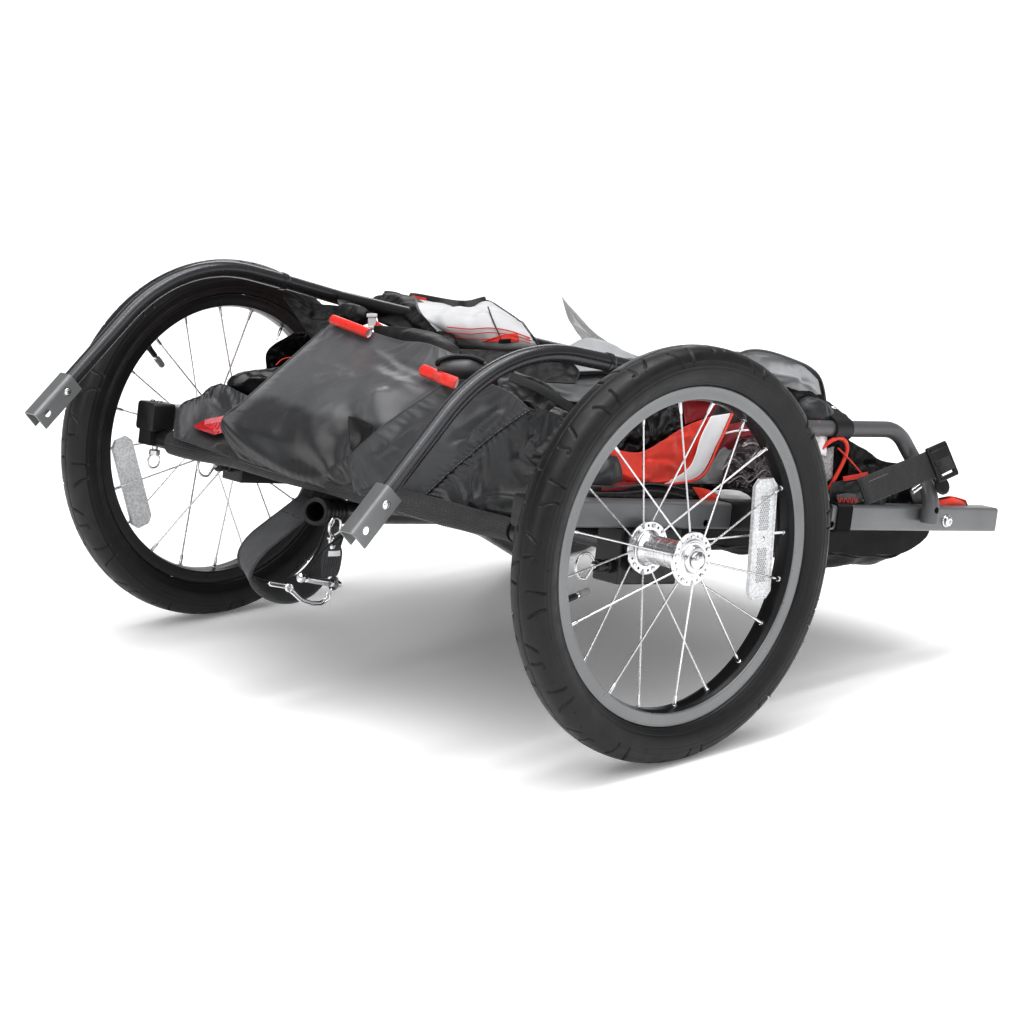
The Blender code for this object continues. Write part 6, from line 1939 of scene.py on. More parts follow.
# Red webbing handles sewn to the top borders: flattened tubes, open at the right end.
def handle(name, line, w, h, body, end_mat):
    P = smooth_line(line, 40)
    outer = np.array([(w * math.cos(t), h * math.sin(t)) for t in np.linspace(0, TAU, 28, endpoint=False)])
    bm = sweep(P, outer, up=tuple(-FWD), cap=False, fixed_up=True)
    inner = outer * [0.78, 0.70]
    sweep(P[::-1], inner, up=tuple(-FWD), cap=False, fixed_up=True, bm=bm, mat_index=1)
    t, side, ups = frames(P)
    obj_bm = bm
    for idx in (0, -1):
        if idx == 0:
            tt = (P[1] - P[0]) / np.linalg.norm(P[1] - P[0])
            sd = np.cross(tt, np.array(list(-FWD)))
            sd /= np.linalg.norm(sd)
            up = np.cross(sd, tt)
            rings = [[P[0] + (sd * a + up * b) * k - tt * e for a, b in outer] for k, e in ((1.0, 0.0), (0.93, w * 0.22), (0.7, w * 0.45), (0.35, w * 0.58), (0.02, w * 0.62))]
            grid_bm(np.array(rings), wrap_v=True, bm=obj_bm)
            continue
        tt = (P[1] - P[0]) if idx == 0 else (P[-1] - P[-2])
        tt /= np.linalg.norm(tt)
        u0 = np.array(list(-FWD))
        sd = np.cross(tt, u0)
        sd /= np.linalg.norm(sd)
        up = np.cross(sd, tt)
        ro = [P[idx] + sd * a + up * b for a, b in outer]
        ri = [P[idx] + sd * a + up * b for a, b in inner]
        grid_bm(np.array([ro, ri]), wrap_v=True, bm=obj_bm)
    obj = from_bm(obj_bm, name, [RED_BINDING_SMOOTH, end_mat], body, 60)
    mod = obj.modifiers.new("smooth_cloth", "SUBSURF")
    mod.levels = mod.render_levels = 1
    return obj


handle("red_handle_left", on_sheets([(333, 319.5), (345, 324), (358, 329), (369, 333.5)], ("rear_panel_main_cloth",), 0.0060), 0.0052, 0.0042, "chassis", WHITE_NYLON)
handle("red_handle_right", on_sheets([(423, 370), (435, 375.0), (446, 379.5), (457, 383.5)], ("rear_panel_main_cloth", "rear_panel_right_cloth"), 0.0130), 0.0060, 0.0040, "chassis", WHITE_NYLON)
patch(
    "handle_pad_right", GREY_NYLON, "chassis",
    [(438, 371, -0.0800), (456, 380, -0.0940), (488, 381, -0.1020)], [(488, 381, -0.1020), (492, 371, -0.1090), (486, 363, -0.1080)],
    [(440, 362, -0.0840), (460, 357, -0.0920), (476, 359, -0.1000), (486, 363, -0.1080)], [(438, 371, -0.0800), (437, 366, -0.0820), (440, 362, -0.0840)], nu=36, nv=20, thick=0.0040,
    bulge=0.006, rumple=0.0016, rumple_scale=45, held="folded", rests=("rear_panel_right_cloth",),
)
piping("handle_pad_black_edge", V([(437.5, 364.5, -0.0830), (438, 362, -0.0850), (442, 359.5, -0.0870), (450, 357, -0.0900), (462, 356.5, -0.0950), (476, 358.5, -0.1020), (484, 362, -0.1080)]), 0.0026, BLACK_NYLON, "chassis", 50, 8)
# Small side-release buckle and red strap at the left handle.
c = at(372, 322, 0.120)
bm = box_bm(c, (0.0042, 0.0020, 0.0080), (RGT, FWD, UPW))
box_bm(c + UPW * 0.0065 - FWD * 0.0006, (0.0056, 0.0026, 0.0020), (RGT, FWD, UPW), bm)
box_bm(c - UPW * 0.0060 - FWD * 0.0006, (0.0048, 0.0024, 0.0016), (RGT, FWD, UPW), bm)
obj = from_bm(bm, "handle_buckle", WHITE_PLASTIC, "chassis", 30)
bevel_mod(obj, 0.0008, 2)
ribbon("handle_buckle_strap", V([(372, 314, 0.121), (374, 322, 0.1185), (380, 327, 0.110), (386, 330, 0.100)]), 0.0062, RED_BINDING, "chassis", 24, 0.0012, declare=False)

# Window sheet of the right half: pale grey, rising to a stiff fin at its left border.
win_rows = [
    [(0.098, 0.095, 0.082), (0.140, 0.100, 0.078), (0.185, 0.098, 0.086), (0.225, 0.092, 0.080), (0.262, 0.080, 0.074), (0.305, 0.065, 0.066)],
    [(0.092, 0.0, 0.128), (0.140, 0.0, 0.146), (0.190, 0.0, 0.168), (0.235, -0.004, 0.158), (0.275, -0.01, 0.140), (0.312, -0.01, 0.108)],
    [(0.088, -0.070, 0.134), (0.140, -0.070, 0.150), (0.195, -0.070, 0.157), (0.240, -0.070, 0.156), (0.285, -0.070, 0.142), (0.322, -0.07, 0.106)],
    [(0.090, -0.150, 0.146), (0.140, -0.150, 0.160), (0.195, -0.150, 0.172), (0.245, -0.150, 0.168), (0.290, -0.150, 0.150), (0.322, -0.15, 0.106)],
    [(0.100, -0.215, 0.150), (0.140, -0.215, 0.168), (0.185, -0.215, 0.184), (0.240, -0.215, 0.178), (0.290, -0.215, 0.160), (0.316, -0.215, 0.118)],
    [(0.105, -0.243, 0.150), (0.140, -0.245, 0.168), (0.180, -0.246, 0.184), (0.238, -0.246, 0.179), (0.286, -0.246, 0.163), (0.306, -0.246, 0.128)],
]
win_P = rows_local(win_rows, 96, 110)
surface(
    "window_sheet", [LIGHT_SHEET, GREY_VINYL], "upper_frame", win_P, 0.0010, dict(shrink=-0.02, gravity=0.15, cap=0.005, bend=0.8, frames_n=16, pin_width=0.02),
    held="draped", rests=("roof_tube", "side_run_tube_right"), replaces=("window_roll",), slot="grey_vinyl", rumple=0.0075, rumple_scale=17, seed=81.0, fade_rumple=0.05,
    face_mat=lambda i, j: 1 if (i > 78 or j < 18) else 0,
    folds=(("line", 0.15, 0.99, 0.80, 0.88, 0.02, 0.0022), ("line", 0.2, 0.93, 0.85, 0.80, 0.02, -0.0020), ("line", 0.1, 0.85, 0.7, 0.74, 0.025, 0.0020), ("line", 0.3, 0.60, 0.8, 0.40, 0.05, 0.006), ("line", 0.05, 0.30, 0.95, 0.18, 0.05, 0.007), ("line", 0.1, 0.12, 0.9, 0.34, 0.05, -0.006), ("line", 0.55, 0.05, 0.70, 0.75, 0.045, 0.006), ("line", 0.30, 0.05, 0.22, 0.7, 0.045, -0.005)),
)
bind("window_sheet", GREY_NYLON, "upper_frame", 0.0013)
fin_rows = [
    V([(590, 350, 0.046), (607, 352, 0.018), (625, 355, -0.010), (650, 360, -0.045)]),
    V([(579, 332, 0.050), (593, 337, 0.024), (608, 344, -0.004), (628, 351, -0.030)]),
    V([(568, 312, 0.052), (574, 316, 0.040), (584, 324, 0.022), (597, 331, 0.002)]),
    V([(561.5, 295, 0.052), (562.5, 297, 0.050), (564.5, 300, 0.047), (567.5, 304, 0.043)]),
]
surface("window_fin", PALE_SCREEN, "upper_frame", spline_grid(fin_rows, 44, 60), 0.0007, None, held="stretched", rests=("window_sheet",), rumple=0.0015, rumple_scale=30, seed=91.0, bulge=0.003, fade_sides="tb")

# Pale sheet lying in front of the fin, seen behind the near side tube.
pu_rows = [
    V([(522, 388, -0.035), (548, 396, -0.070), (566, 401, -0.105), (590, 404, -0.140)]),
    V([(535, 379, -0.050), (560, 384, -0.085), (585, 388, -0.120), (602, 390, -0.150)]),
    V([(560, 373, -0.070), (585, 372, -0.105), (600, 373, -0.130), (618, 375, -0.155)]),
    [W(0.120, -0.055, 0.150), W(0.125, -0.090, 0.152), W(0.125, -0.13, 0.158), W(0.122, -0.170, 0.160)],
]
surface("pale_lining_sheet", [LIGHT_SHEET], "chassis", spline_grid(pu_rows, 50, 40), 0.0010, dict(shrink=-0.02, gravity=0.15, cap=0.003, bend=0.8, frames_n=14, pin_width=0.03), held="draped", rests=("roof_tube",), rumple=0.003, rumple_scale=26, seed=101.0)
bind("pale_lining_sheet", GREY_NYLON, "chassis", 0.0009)
patch(
    "binding_panel_right", BINDING, "chassis",
    [(508, 381, -0.195), (535, 392, -0.218), (560, 407, -0.243), (578, 418, -0.252)], [(578, 418, -0.252), (580, 409, -0.250)],
    [(510, 373, -0.190), (537, 383, -0.212), (562, 397, -0.238), (580, 409, -0.250)], [(508, 381, -0.195), (510, 373, -0.190)], nu=44, nv=8, thick=0.0022, bulge=0.002, held="folded", rests=("rear_panel_side_cloth",),
)
patch(
    "dark_lining_right", BLACK_NYLON, "chassis",
    [(500, 398, -0.170), (520, 404, -0.200), (545, 414, -0.236)], [(545, 414, -0.236), (556, 405, -0.232), (560, 396, -0.225)],
    [(502, 366, -0.120), (525, 366, -0.140), (560, 366, -0.165), (575, 372, -0.180)], [(500, 398, -0.170), (497, 382, -0.150), (502, 366, -0.120)], nu=40, nv=40, thick=0.0012, bulge=-0.012, rumple=0.007, rumple_scale=34, seed=111.0, held="draped", rests=("rear_panel_right_cloth",),
)
patch(
    "black_cloth_behind_tube", BLACK_NYLON, "chassis",
    [(486, 378, -0.110), (510, 380, -0.130), (540, 382, -0.160), (575, 384, -0.185)], [(575, 384, -0.185), (580, 372, -0.175), (572, 362, -0.165)],
    [(456, 349, -0.040), (500, 351, -0.072), (540, 354, -0.110), (572, 362, -0.155)], [(486, 378, -0.095), (468, 364, -0.066), (456, 349, -0.040)], nu=50, nv=24, thick=0.0014, bulge=0.003, rumple=0.006, rumple_scale=34, seed=121.0, held="draped", rests=("rear_panel_right_cloth",),
)


# ============================================================ floor, seat and foot bag
floor_P = rows_local([[(x, y, 0.0172 - 0.0035 * math.cos(math.pi * y / 0.52) * (0.6 + 0.4 * math.sin(x * 9))) for y in np.linspace(-0.262, 0.262, 7)] for x in (-0.112, 0.0, 0.12, 0.25, 0.372)], 90, 80)
surface("floor_sling_cloth", BLACK_NYLON, "chassis", floor_P, 0.0016, None, held="stretched", rests=("square_rail_left", "square_rail_right"), replaces=("floor_sling",), slot="black_nylon", rumple=0.0022, rumple_scale=17, seed=131.0, fade_rumple=0.05)

# Seat sling, slack and folded on the floor: black outside, red seat face.
seat_rows = []
for x, zs in (
    (-0.100, (0.030, 0.046, 0.050, 0.046, 0.052, 0.046, 0.030)),
    (-0.070, (0.050, 0.086, 0.094, 0.083, 0.094, 0.086, 0.050)),
    (-0.020, (0.070, 0.112, 0.122, 0.106, 0.122, 0.110, 0.068)),
    (0.040, (0.072, 0.106, 0.106, 0.090, 0.108, 0.106, 0.072)),
    (0.110, (0.066, 0.092, 0.084, 0.070, 0.088, 0.092, 0.066)),
    (0.190, (0.058, 0.074, 0.062, 0.054, 0.066, 0.074, 0.058)),
    (0.270, (0.048, 0.056, 0.047, 0.043, 0.050, 0.056, 0.048)),
    (0.345, (0.034, 0.042, 0.038, 0.034, 0.038, 0.042, 0.034)),
):
    seat_rows.append([(x, y, z) for y, z in zip((-0.232, -0.170, -0.085, 0.0, 0.085, 0.170, 0.232), zs)])
seat_P = rows_local(seat_rows, 110, 110)
surface(
    "seat_sling_cloth", [BLACK_FILM, DARK_RED, RED_NYLON], "chassis", seat_P, 0.0013, dict(shrink=-0.03, gravity=0.3, cap=0.008, bend=0.6, frames_n=16, pin_width=0.02), held="gathered", rests=("floor_sling_cloth",), replaces=("seat_sling",), slot="red_nylon",
    rumple=0.012, rumple_scale=22, fine=0.0012, seed=141.0, fade_rumple=0.05,
    face_mat=lambda i, j: (1 if 46 < j < 88 else 0) if not 30 < i < 80 else (2 if 50 < j < 76 else 0),
)

# Foot bag: a lofted shell that hangs under the front floor.
prof = smooth_line([(0.050, 0.0125, 0), (0.052, 0.004, 0), (0.100, -0.011, 0), (0.165, -0.022, 0), (0.240, -0.028, 0), (0.320, -0.031, 0), (0.385, -0.0335, 0), (0.430, -0.0305, 0), (0.462, -0.014, 0), (0.4755, 0.004, 0), (0.4765, 0.0125, 0)], 84)[:, :2]
top_line = np.array([(x, 0.0128 - 0.0015 * math.sin(math.pi * (x - 0.05) / 0.4265)) for x in np.linspace(0.4700, 0.0560, 40)])
loop = np.vstack([prof, top_line])
nb = 110
ys = np.linspace(-0.2615, 0.2615, nb)
G = np.zeros((nb, len(loop), 3))
cx, cz = 0.27, 0.006
for i, y in enumerate(ys):
    q = abs(y) / 0.2615
    k = (1 - q**7) ** 0.35 if q < 1 else 0.0
    k = max(k, 0.55)
    belly = 1 + 0.07 * math.cos(y * 26) + 0.05 * math.cos(y * 61 + 1)
    for j, (x, z) in enumerate(loop):
        fore = 0.78 + 0.27 * min(1, max(0, (x - 0.20) / 0.17)) + 0.05 * math.sin(x * 95 + y * 9)
        zz = cz + (z - cz) * (k * belly * fore if z < cz else 1)
        xx = cx + (x - cx) * (0.965 + 0.035 * k)
        G[i, j] = list(W(xx, y, zz))
N = grid_normals(np.concatenate([G, G[:, :1]], 1))[:, :-1]
c = np.array(list(W(cx, 0, cz)))
if (N * (G - c)).sum() < 0:
    N = -N
fold = 0.0032 * (0.5 - np.abs(fbm(G * np.array([15, 42, 30]) + 4.0, 3)) * 1.5) + 0.0014 * fbm(G * 60, 2)
mask = np.clip((np.abs(ys) < 0.259) * 1.0, 0, 1)[:, None]
G = G + N * (fold * mask)[..., None]
bm = grid_bm(G, wrap_v=True, cap_u=True)
bag = from_bm(bm, "foot_bag_shell", BLACK_MESH_SOLID, "chassis", 60)
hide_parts("foot_bag")
for s, side in SIDES:
    row = G[-3 if s > 0 else 2]
    nrm = N[-3 if s > 0 else 2]
    piping(f"foot_bag_seam_{side}", [Vector(row[k] + nrm[k] * 0.0004) for k in range(6, 80, 3)], 0.0012, BLACK_NYLON, "chassis", 90, 8)

# ============================================================ side panels, seen through the wheels
for s, side in SIDES:
    def S(points):
        """Right-side points by pixel; the left side is their mirror image."""
        out = []
        for p in points:
            q = at(*p)
            out.append(Vector((q.x, -q.y, q.z)) if s > 0 else q)
        return out

    def spatch(name, mats, bottom, right, top, left, **kw):
        return patch(f"{name}_{side}", mats, "chassis", S(bottom), S(right), S(top), S(left), **kw)

    main = spatch(
        "side_panel_red", RED_NYLON,
        [(608, 487, -0.272), (640, 481, -0.274), (666, 484, -0.274)], [(666, 484, -0.274), (692, 468, -0.273), (704, 440, -0.270), (712, 416, -0.266)],
        [(607, 448, -0.270), (640, 452, -0.272), (662, 441, -0.271), (686, 426, -0.268), (712, 416, -0.266)], [(608, 487, -0.272), (602, 470, -0.274), (607, 448, -0.270)],
        nu=60, nv=36, thick=0.0011, bulge=0.0035, rumple=0.0045, rumple_scale=34, seed=151.0, fade_rumple=0.04, held="stretched", rests=(f"side_run_tube_{side}", f"square_rail_{side}"),
        sim=dict(shrink=-0.03, gravity=0.1, cap=0.004, bend=0.6, frames_n=14, pin_width=0.03),
        folds=(("line", 0.10, 0.55, 0.62, 0.20, 0.045, 0.0032), ("line", 0.30, 0.80, 0.80, 0.52, 0.040, -0.0030), ("line", 0.48, 0.95, 0.92, 0.78, 0.035, 0.0026), ("line", 0.20, 0.30, 0.45, 0.06, 0.040, -0.0026), ("line", 0.55, 0.60, 0.95, 0.30, 0.035, 0.0022)),
    )
    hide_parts(f"side_panel_{side}")
    spatch(
        "side_panel_white_stripe", WHITE_NYLON,
        [(664, 484, -0.276), (667, 484.5, -0.276)], [(667, 484.5, -0.276), (700, 475, -0.275), (717, 444, -0.272), (731, 413, -0.268)],
        [(711, 416, -0.268), (731, 413, -0.268)], [(664, 484, -0.276), (690, 466, -0.275), (701, 436, -0.272), (711, 416, -0.268)], nu=16, nv=50, thick=0.0010, bulge=0.001, rumple=0.0012, rumple_scale=40, declare=False, subdiv=1,
    )
    piping(f"side_stripe_red_welt_{side}", S([(667, 485, -0.277), (702, 476, -0.2765), (719, 444, -0.2735), (733, 413, -0.2695)]), 0.0012, RED_NYLON, "chassis", 60, 8)
    spatch(
        "side_panel_dark_red_top", DARK_RED,
        [(685, 425, -0.262), (712, 415, -0.260)], [(712, 415, -0.260), (722, 400, -0.252)], [(682, 398, -0.246), (722, 400, -0.252)], [(685, 425, -0.262), (682, 398, -0.246)],
        nu=24, nv=20, bulge=0.002, rumple=0.003, rumple_scale=40, seed=161.0, held="stretched", rests=(f"side_run_tube_{side}",),
    )
    spatch(
        "side_panel_dark_red_front", DARK_RED,
        [(716, 452, -0.266), (740, 450, -0.266), (772, 442, -0.266)], [(772, 442, -0.266), (778, 425, -0.262)], [(728, 424, -0.266), (752, 421, -0.264), (778, 425, -0.262)], [(716, 452, -0.266), (728, 424, -0.266)],
        nu=36, nv=20, bulge=0.003, rumple=0.004, rumple_scale=40, seed=171.0, held="stretched", rests=(f"side_run_tube_{side}",),
    )
    piping(f"side_white_welt_{side}", S([(722, 434, -0.2705), (736, 431, -0.2705), (750, 430, -0.270), (772, 428, -0.267)]), 0.0010, WHITE_NYLON, "chassis", 40, 8)
    spatch(
        "side_panel_black_upper", BLACK_FILM,
        [(606, 452, -0.262), (640, 452, -0.262), (662, 441, -0.262), (686, 426, -0.260)], [(686, 426, -0.260), (684, 398, -0.246)],
        [(618, 400, -0.250), (650, 398, -0.248), (684, 398, -0.246)], [(606, 452, -0.262), (606, 425, -0.262), (618, 400, -0.250)],
        nu=50, nv=34, bulge=0.002, rumple=0.009, rumple_scale=36, seed=181.0, held="gathered", rests=(f"side_run_tube_{side}",), fine=0.001,
    )
    spatch(
        "side_window_grey", GREY_VINYL,
        [(688, 484, -0.266), (715, 484, -0.268), (750, 484, -0.268)], [(750, 484, -0.268), (752, 465, -0.268), (748, 448, -0.266)],
        [(722, 446, -0.266), (735, 447, -0.266), (748, 448, -0.266)], [(688, 484, -0.266), (706, 470, -0.268), (722, 446, -0.266)],
        nu=34, nv=24, bulge=0.003, rumple=0.004, rumple_scale=42, seed=191.0, held="folded", rests=(f"square_rail_{side}",),
    )
    spatch(
        "side_window_film", SMOKE_FILM,
        [(722, 488, -0.274), (748, 489, -0.276), (785, 489, -0.276)], [(785, 489, -0.276), (790, 460, -0.274), (786, 436, -0.270)],
        [(738, 439, -0.272), (760, 436, -0.272), (786, 436, -0.270)], [(722, 488, -0.274), (724, 466, -0.275), (738, 439, -0.272)],
        nu=44, nv=34, thick=0.0006, bulge=0.002, rumple=0.011, rumple_scale=52, seed=201.0, held="folded", rests=(f"square_rail_{side}",), fine=0.0022,
    )
    for k, pts in enumerate(([(722, 470, -0.279), (733, 459, -0.280), (744, 466, -0.280), (756, 452, -0.280)], [(728, 483, -0.279), (741, 476, -0.280), (749, 482, -0.280), (764, 470, -0.280), (772, 474, -0.279)], [(742, 446, -0.277), (752, 443, -0.278), (768, 449, -0.278)])):
        piping(f"side_film_crease_{k}_{side}", S(pts), 0.0009, CLEAR_FILM, "chassis", 40, 6)
    # painted shade: a black sheet inside the side panel stands in for the dark, shaded inside of the trailer seen
    # through the gaps
    spatch(
        "side_inner_painted_shade", BLACK_FILM,
        [(640, 492, -0.258), (720, 494, -0.258), (800, 496, -0.258)], [(800, 496, -0.258), (806, 450, -0.254), (806, 408, -0.250)],
        [(640, 404, -0.246), (720, 396, -0.246), (806, 408, -0.250)], [(640, 492, -0.258), (634, 450, -0.252), (640, 404, -0.246)],
        nu=60, nv=34, bulge=0.001, rumple=0.006, rumple_scale=38, seed=211.0, held="gathered", rests=(f"square_rail_{side}",), fine=0.0008,
    )
    # grey-edged rolled end of the side panel, with its dark red lining
    spatch(
        "side_panel_rolled_end", CHARCOAL,
        [(594, 498, -0.272), (606, 492, -0.276), (622, 488, -0.276)], [(622, 488, -0.276), (622, 470, -0.279), (617, 456, -0.276)],
        [(600, 462, -0.272), (608, 456, -0.275), (617, 456, -0.276)], [(594, 498, -0.272), (592, 480, -0.274), (600, 462, -0.272)],
        nu=24, nv=24, thick=0.0014, bulge=0.005, rumple=0.002, rumple_scale=40, seed=221.0, held="folded", rests=(f"square_rail_{side}",),
    )
    spatch(
        "side_panel_red_slit", DARK_RED,
        [(601, 491, -0.278), (620, 490, -0.279), (642, 484, -0.276)], [(642, 484, -0.276), (643, 482, -0.276)], [(602, 484, -0.278), (620, 482, -0.279), (643, 482, -0.276)], [(601, 491, -0.278), (602, 484, -0.278)],
        nu=24, nv=8, bulge=0.001, declare=False, rumple=0.0008, rumple_scale=60, subdiv=1,
    )
    lumpy_roll(f"side_lower_roll_{side}", S([(586, 494, -0.270), (620, 495, -0.270), (660, 494, -0.270), (700, 497, -0.270), (745, 500, -0.270), (800, 502, -0.270)]), 0.0075, CHARCOAL_SHINE, "chassis", n=90, around=24, rumple=0.0022, scale=36, seed=230 + s, ends=0.08, creases=3)
    for k, (dy, r) in enumerate(((-6.0, 0.0007), (1.0, 0.0006))):
        piping(f"side_roll_grey_welt_{k}_{side}", S([(588, 492 + dy, -0.2795), (620, 492 + dy * 0.9, -0.2805), (655, 490 + dy, -0.2800), (692, 497 + dy, -0.2800)]), r * 1.3, GREY_NYLON, "chassis", 60, 8)
    spatch(
        "side_red_tongue", RED_NYLON,
        [(700, 509, -0.284), (712, 510, -0.285), (724, 509, -0.285)], [(724, 509, -0.285), (722, 499, -0.284), (712, 491, -0.282)],
        [(692, 487, -0.280), (702, 488, -0.281), (712, 491, -0.282)], [(700, 509, -0.284), (699, 498, -0.283), (692, 487, -0.280)], nu=20, nv=20, thick=0.0012, bulge=0.0015, rumple=0.001, rumple_scale=50, held="folded", rests=(f"square_rail_{side}",),
    )
    spatch(
        "side_white_tongue", WHITE_NYLON,
        [(724, 509, -0.286), (738, 510, -0.286), (754, 508, -0.286)], [(754, 508, -0.286), (750, 497, -0.285), (740, 491, -0.284)],
        [(712, 491, -0.283), (726, 489.5, -0.284), (740, 491, -0.284)], [(724, 509, -0.286), (721, 499, -0.285), (712, 491, -0.283)], nu=20, nv=20, thick=0.0012, bulge=0.0015, rumple=0.001, rumple_scale=50, held="folded", rests=(f"square_rail_{side}",),
    )
    # black cloth wrapped round the front half of the rail
    sec = rounded_rect(0.0140, 0.0138, 0.0046, 5)
    yc, zc = s * RAIL_Y, RAIL_Z0 + RAIL / 2
    xs = np.linspace(0.118, 0.262, 60)
    G = np.array([[list(W(x, yc + a * (1 + 0.02 * math.sin(x * 160)), zc + b * (1 + 0.02 * math.sin(x * 130 + a * 400)))) for a, b in sec] for x in xs])
    bm = grid_bm(G, wrap_v=True)
    G2 = np.array([[list(W(x, yc + a * 0.93, zc + b * 0.93)) for a, b in sec] for x in (xs[-1], xs[0])])
    grid_bm(G2, wrap_v=True, bm=bm)
    for i, x in ((0, xs[0]), (-1, xs[-1])):
        grid_bm(np.stack([G[i], G2[1 if i == 0 else 0]]), wrap_v=True, bm=bm)
    from_bm(bm, f"rail_cloth_wrap_{side}", BLACK_NYLON, "chassis", 40)


# ============================================================ front right: sleeve, straps and scraps
CLAMP_P = at(818, 424, -0.27)
patch(
    "front_screen_patch", BLACK_MESH_SOLID, "upper_frame",
    [(786, 412, -0.262), (806, 412, -0.264), (828, 410, -0.266)], [(828, 410, -0.266), (825, 397, -0.258)],
    [(781, 388, -0.246), (800, 386, -0.248), (825, 397, -0.258)], [(786, 412, -0.262), (782, 400, -0.254), (781, 388, -0.246)], nu=30, nv=20, thick=0.0012,
    bulge=0.006, rumple=0.006, rumple_scale=46, seed=241.0, held="gathered", rests=("side_run_tube_right",),
)
patch(
    "near_front_light_cloth", GREY_VINYL, "upper_frame",
    [(762, 384, -0.235), (786, 392, -0.246), (806, 404, -0.256), (824, 408, -0.262)], [(824, 408, -0.262), (818, 380, -0.250)],
    [(735, 351, -0.235), (765, 354, -0.238), (797, 361, -0.242), (818, 380, -0.250)], [(762, 384, -0.235), (744, 368, -0.235), (735, 351, -0.235)], nu=50, nv=34, thick=0.0011,
    bulge=0.008, rumple=0.006, rumple_scale=30, seed=251.0, held="draped", rests=("side_run_tube_right",), folds=(("line", 0.0, 0.6, 1.0, 0.45, 0.05, 0.004), ("line", 0.2, 0.1, 0.95, 0.75, 0.05, -0.004)),
)
# Padded nylon sleeve over the pivot clamp, with its black end band.
lumpy_roll("pivot_nylon_sleeve", V([(800, 404, -0.266), (812, 416, -0.268), (824, 427, -0.268), (832, 434, -0.268)]), 0.0205, CHARCOAL_DARK, "upper_frame", n=56, around=32, rumple=0.003, scale=44, seed=261, flat=(0.85, 1.0), taper=[0.6, 1.0, 0.95, 0.8], ends=0.2)
lumpy_roll("pivot_sleeve_band", V([(829, 421, -0.270), (834, 429, -0.272), (838, 438, -0.272)]), 0.0190, BLACK_NYLON, "upper_frame", n=24, around=28, rumple=0.002, scale=44, seed=271, flat=(0.8, 1.0), ends=0.25)
for k, (bot, right, top, left, mat) in enumerate((
    ([(812, 452, -0.284), (826, 456, -0.286)], [(826, 456, -0.286), (828, 428, -0.286)], [(814, 427, -0.284), (828, 428, -0.286)], [(812, 452, -0.284), (814, 427, -0.284)], WHITE_NYLON),
    ([(816, 490, -0.284), (832, 478, -0.286)], [(832, 478, -0.286), (834, 446, -0.286)], [(822, 450, -0.284), (834, 446, -0.286)], [(816, 490, -0.284), (822, 450, -0.284)], CLEAR_FILM),
)):
    patch(f"front_scrap_{k}", mat, "chassis", bot, right, top, left, nu=20, nv=30, thick=0.0007, bulge=0.004, rumple=0.005, rumple_scale=60, seed=281 + k, held="folded", rests=("side_run_tube_right",))
piping("front_red_cord_arc", V([(804, 424, -0.288), (809, 434, -0.289), (813, 428, -0.289), (819, 423, -0.288), (824, 430, -0.286)]), 0.0019, RED_NYLON, "chassis", 50, 10)
piping("front_red_cord_loop", V([(822, 448, -0.286), (829, 442, -0.290), (838, 438, -0.292), (845, 441, -0.292), (847, 450, -0.291), (843, 462, -0.290), (836, 476, -0.288), (828, 490, -0.284)]), 0.0022, RED_NYLON, "chassis", 80, 10)
piping("front_red_thread_a", V([(838, 448, -0.293), (850, 460, -0.295), (862, 474, -0.296)]), 0.0009, RED_NYLON, "chassis", 30, 8)
ribbon("front_red_strip", V([(843, 479, -0.296), (855, 477, -0.297), (868, 474, -0.297)]), 0.0052, RED_BINDING, "chassis", 20, 0.0012, declare=False)
patch(
    "front_corner_black_cloth", BLACK_NYLON, "chassis",
    [(838, 496, -0.286), (866, 498, -0.292), (896, 499, -0.292)], [(896, 499, -0.292), (903, 482, -0.290), (902, 464, -0.288)],
    [(844, 438, -0.278), (862, 448, -0.284), (880, 460, -0.288), (902, 464, -0.288)], [(838, 496, -0.286), (848, 470, -0.288), (844, 438, -0.278)], nu=54, nv=46, thick=0.0013,
    bulge=0.004, rumple=0.009, rumple_scale=36, seed=291.0, fine=0.001, held="gathered", rests=("square_rail_right",), fade_rumple=0.04,
    folds=(("line", 0.1, 0.1, 0.9, 0.85, 0.06, 0.006), ("line", 0.0, 0.5, 0.6, 0.95, 0.05, -0.005)),
)
patch(
    "front_inner_black_cloth", BLACK_NYLON, "chassis",
    [(826, 492, -0.270), (844, 494, -0.272), (866, 492, -0.274)], [(866, 492, -0.274), (860, 464, -0.272), (848, 438, -0.268)],
    [(828, 430, -0.266), (838, 430, -0.266), (848, 438, -0.268)], [(826, 492, -0.270), (824, 462, -0.268), (828, 430, -0.266)], nu=30, nv=40, thick=0.0013,
    bulge=0.004, rumple=0.006, rumple_scale=40, seed=321.0, held="gathered", rests=("square_rail_right",),
)
patch(
    "front_lower_dark_nylon", CHARCOAL_DARK, "chassis",
    [(832, 509, -0.290), (856, 510, -0.293), (884, 507, -0.293)], [(884, 507, -0.293), (888, 490, -0.293), (884, 474, -0.292)],
    [(832, 482, -0.290), (856, 478, -0.294), (884, 474, -0.292)], [(832, 509, -0.290), (829, 496, -0.290), (832, 482, -0.290)], nu=40, nv=30, thick=0.0013,
    bulge=0.006, rumple=0.006, rumple_scale=46, seed=301.0, held="folded", rests=("square_rail_right",),
)
patch(
    "front_grey_stitched_tab", GREY_NYLON, "chassis",
    [(838, 504, -0.298), (848, 505, -0.299), (859, 503, -0.298)], [(859, 503, -0.298), (860, 494, -0.298)], [(836, 495, -0.298), (847, 493, -0.299), (860, 494, -0.298)], [(838, 504, -0.298), (836, 495, -0.298)],
    nu=16, nv=10, thick=0.0018, bulge=0.001, held="folded", rests=("front_lower_dark_nylon",), rumple=0.0006, rumple_scale=60,
)
zig = []
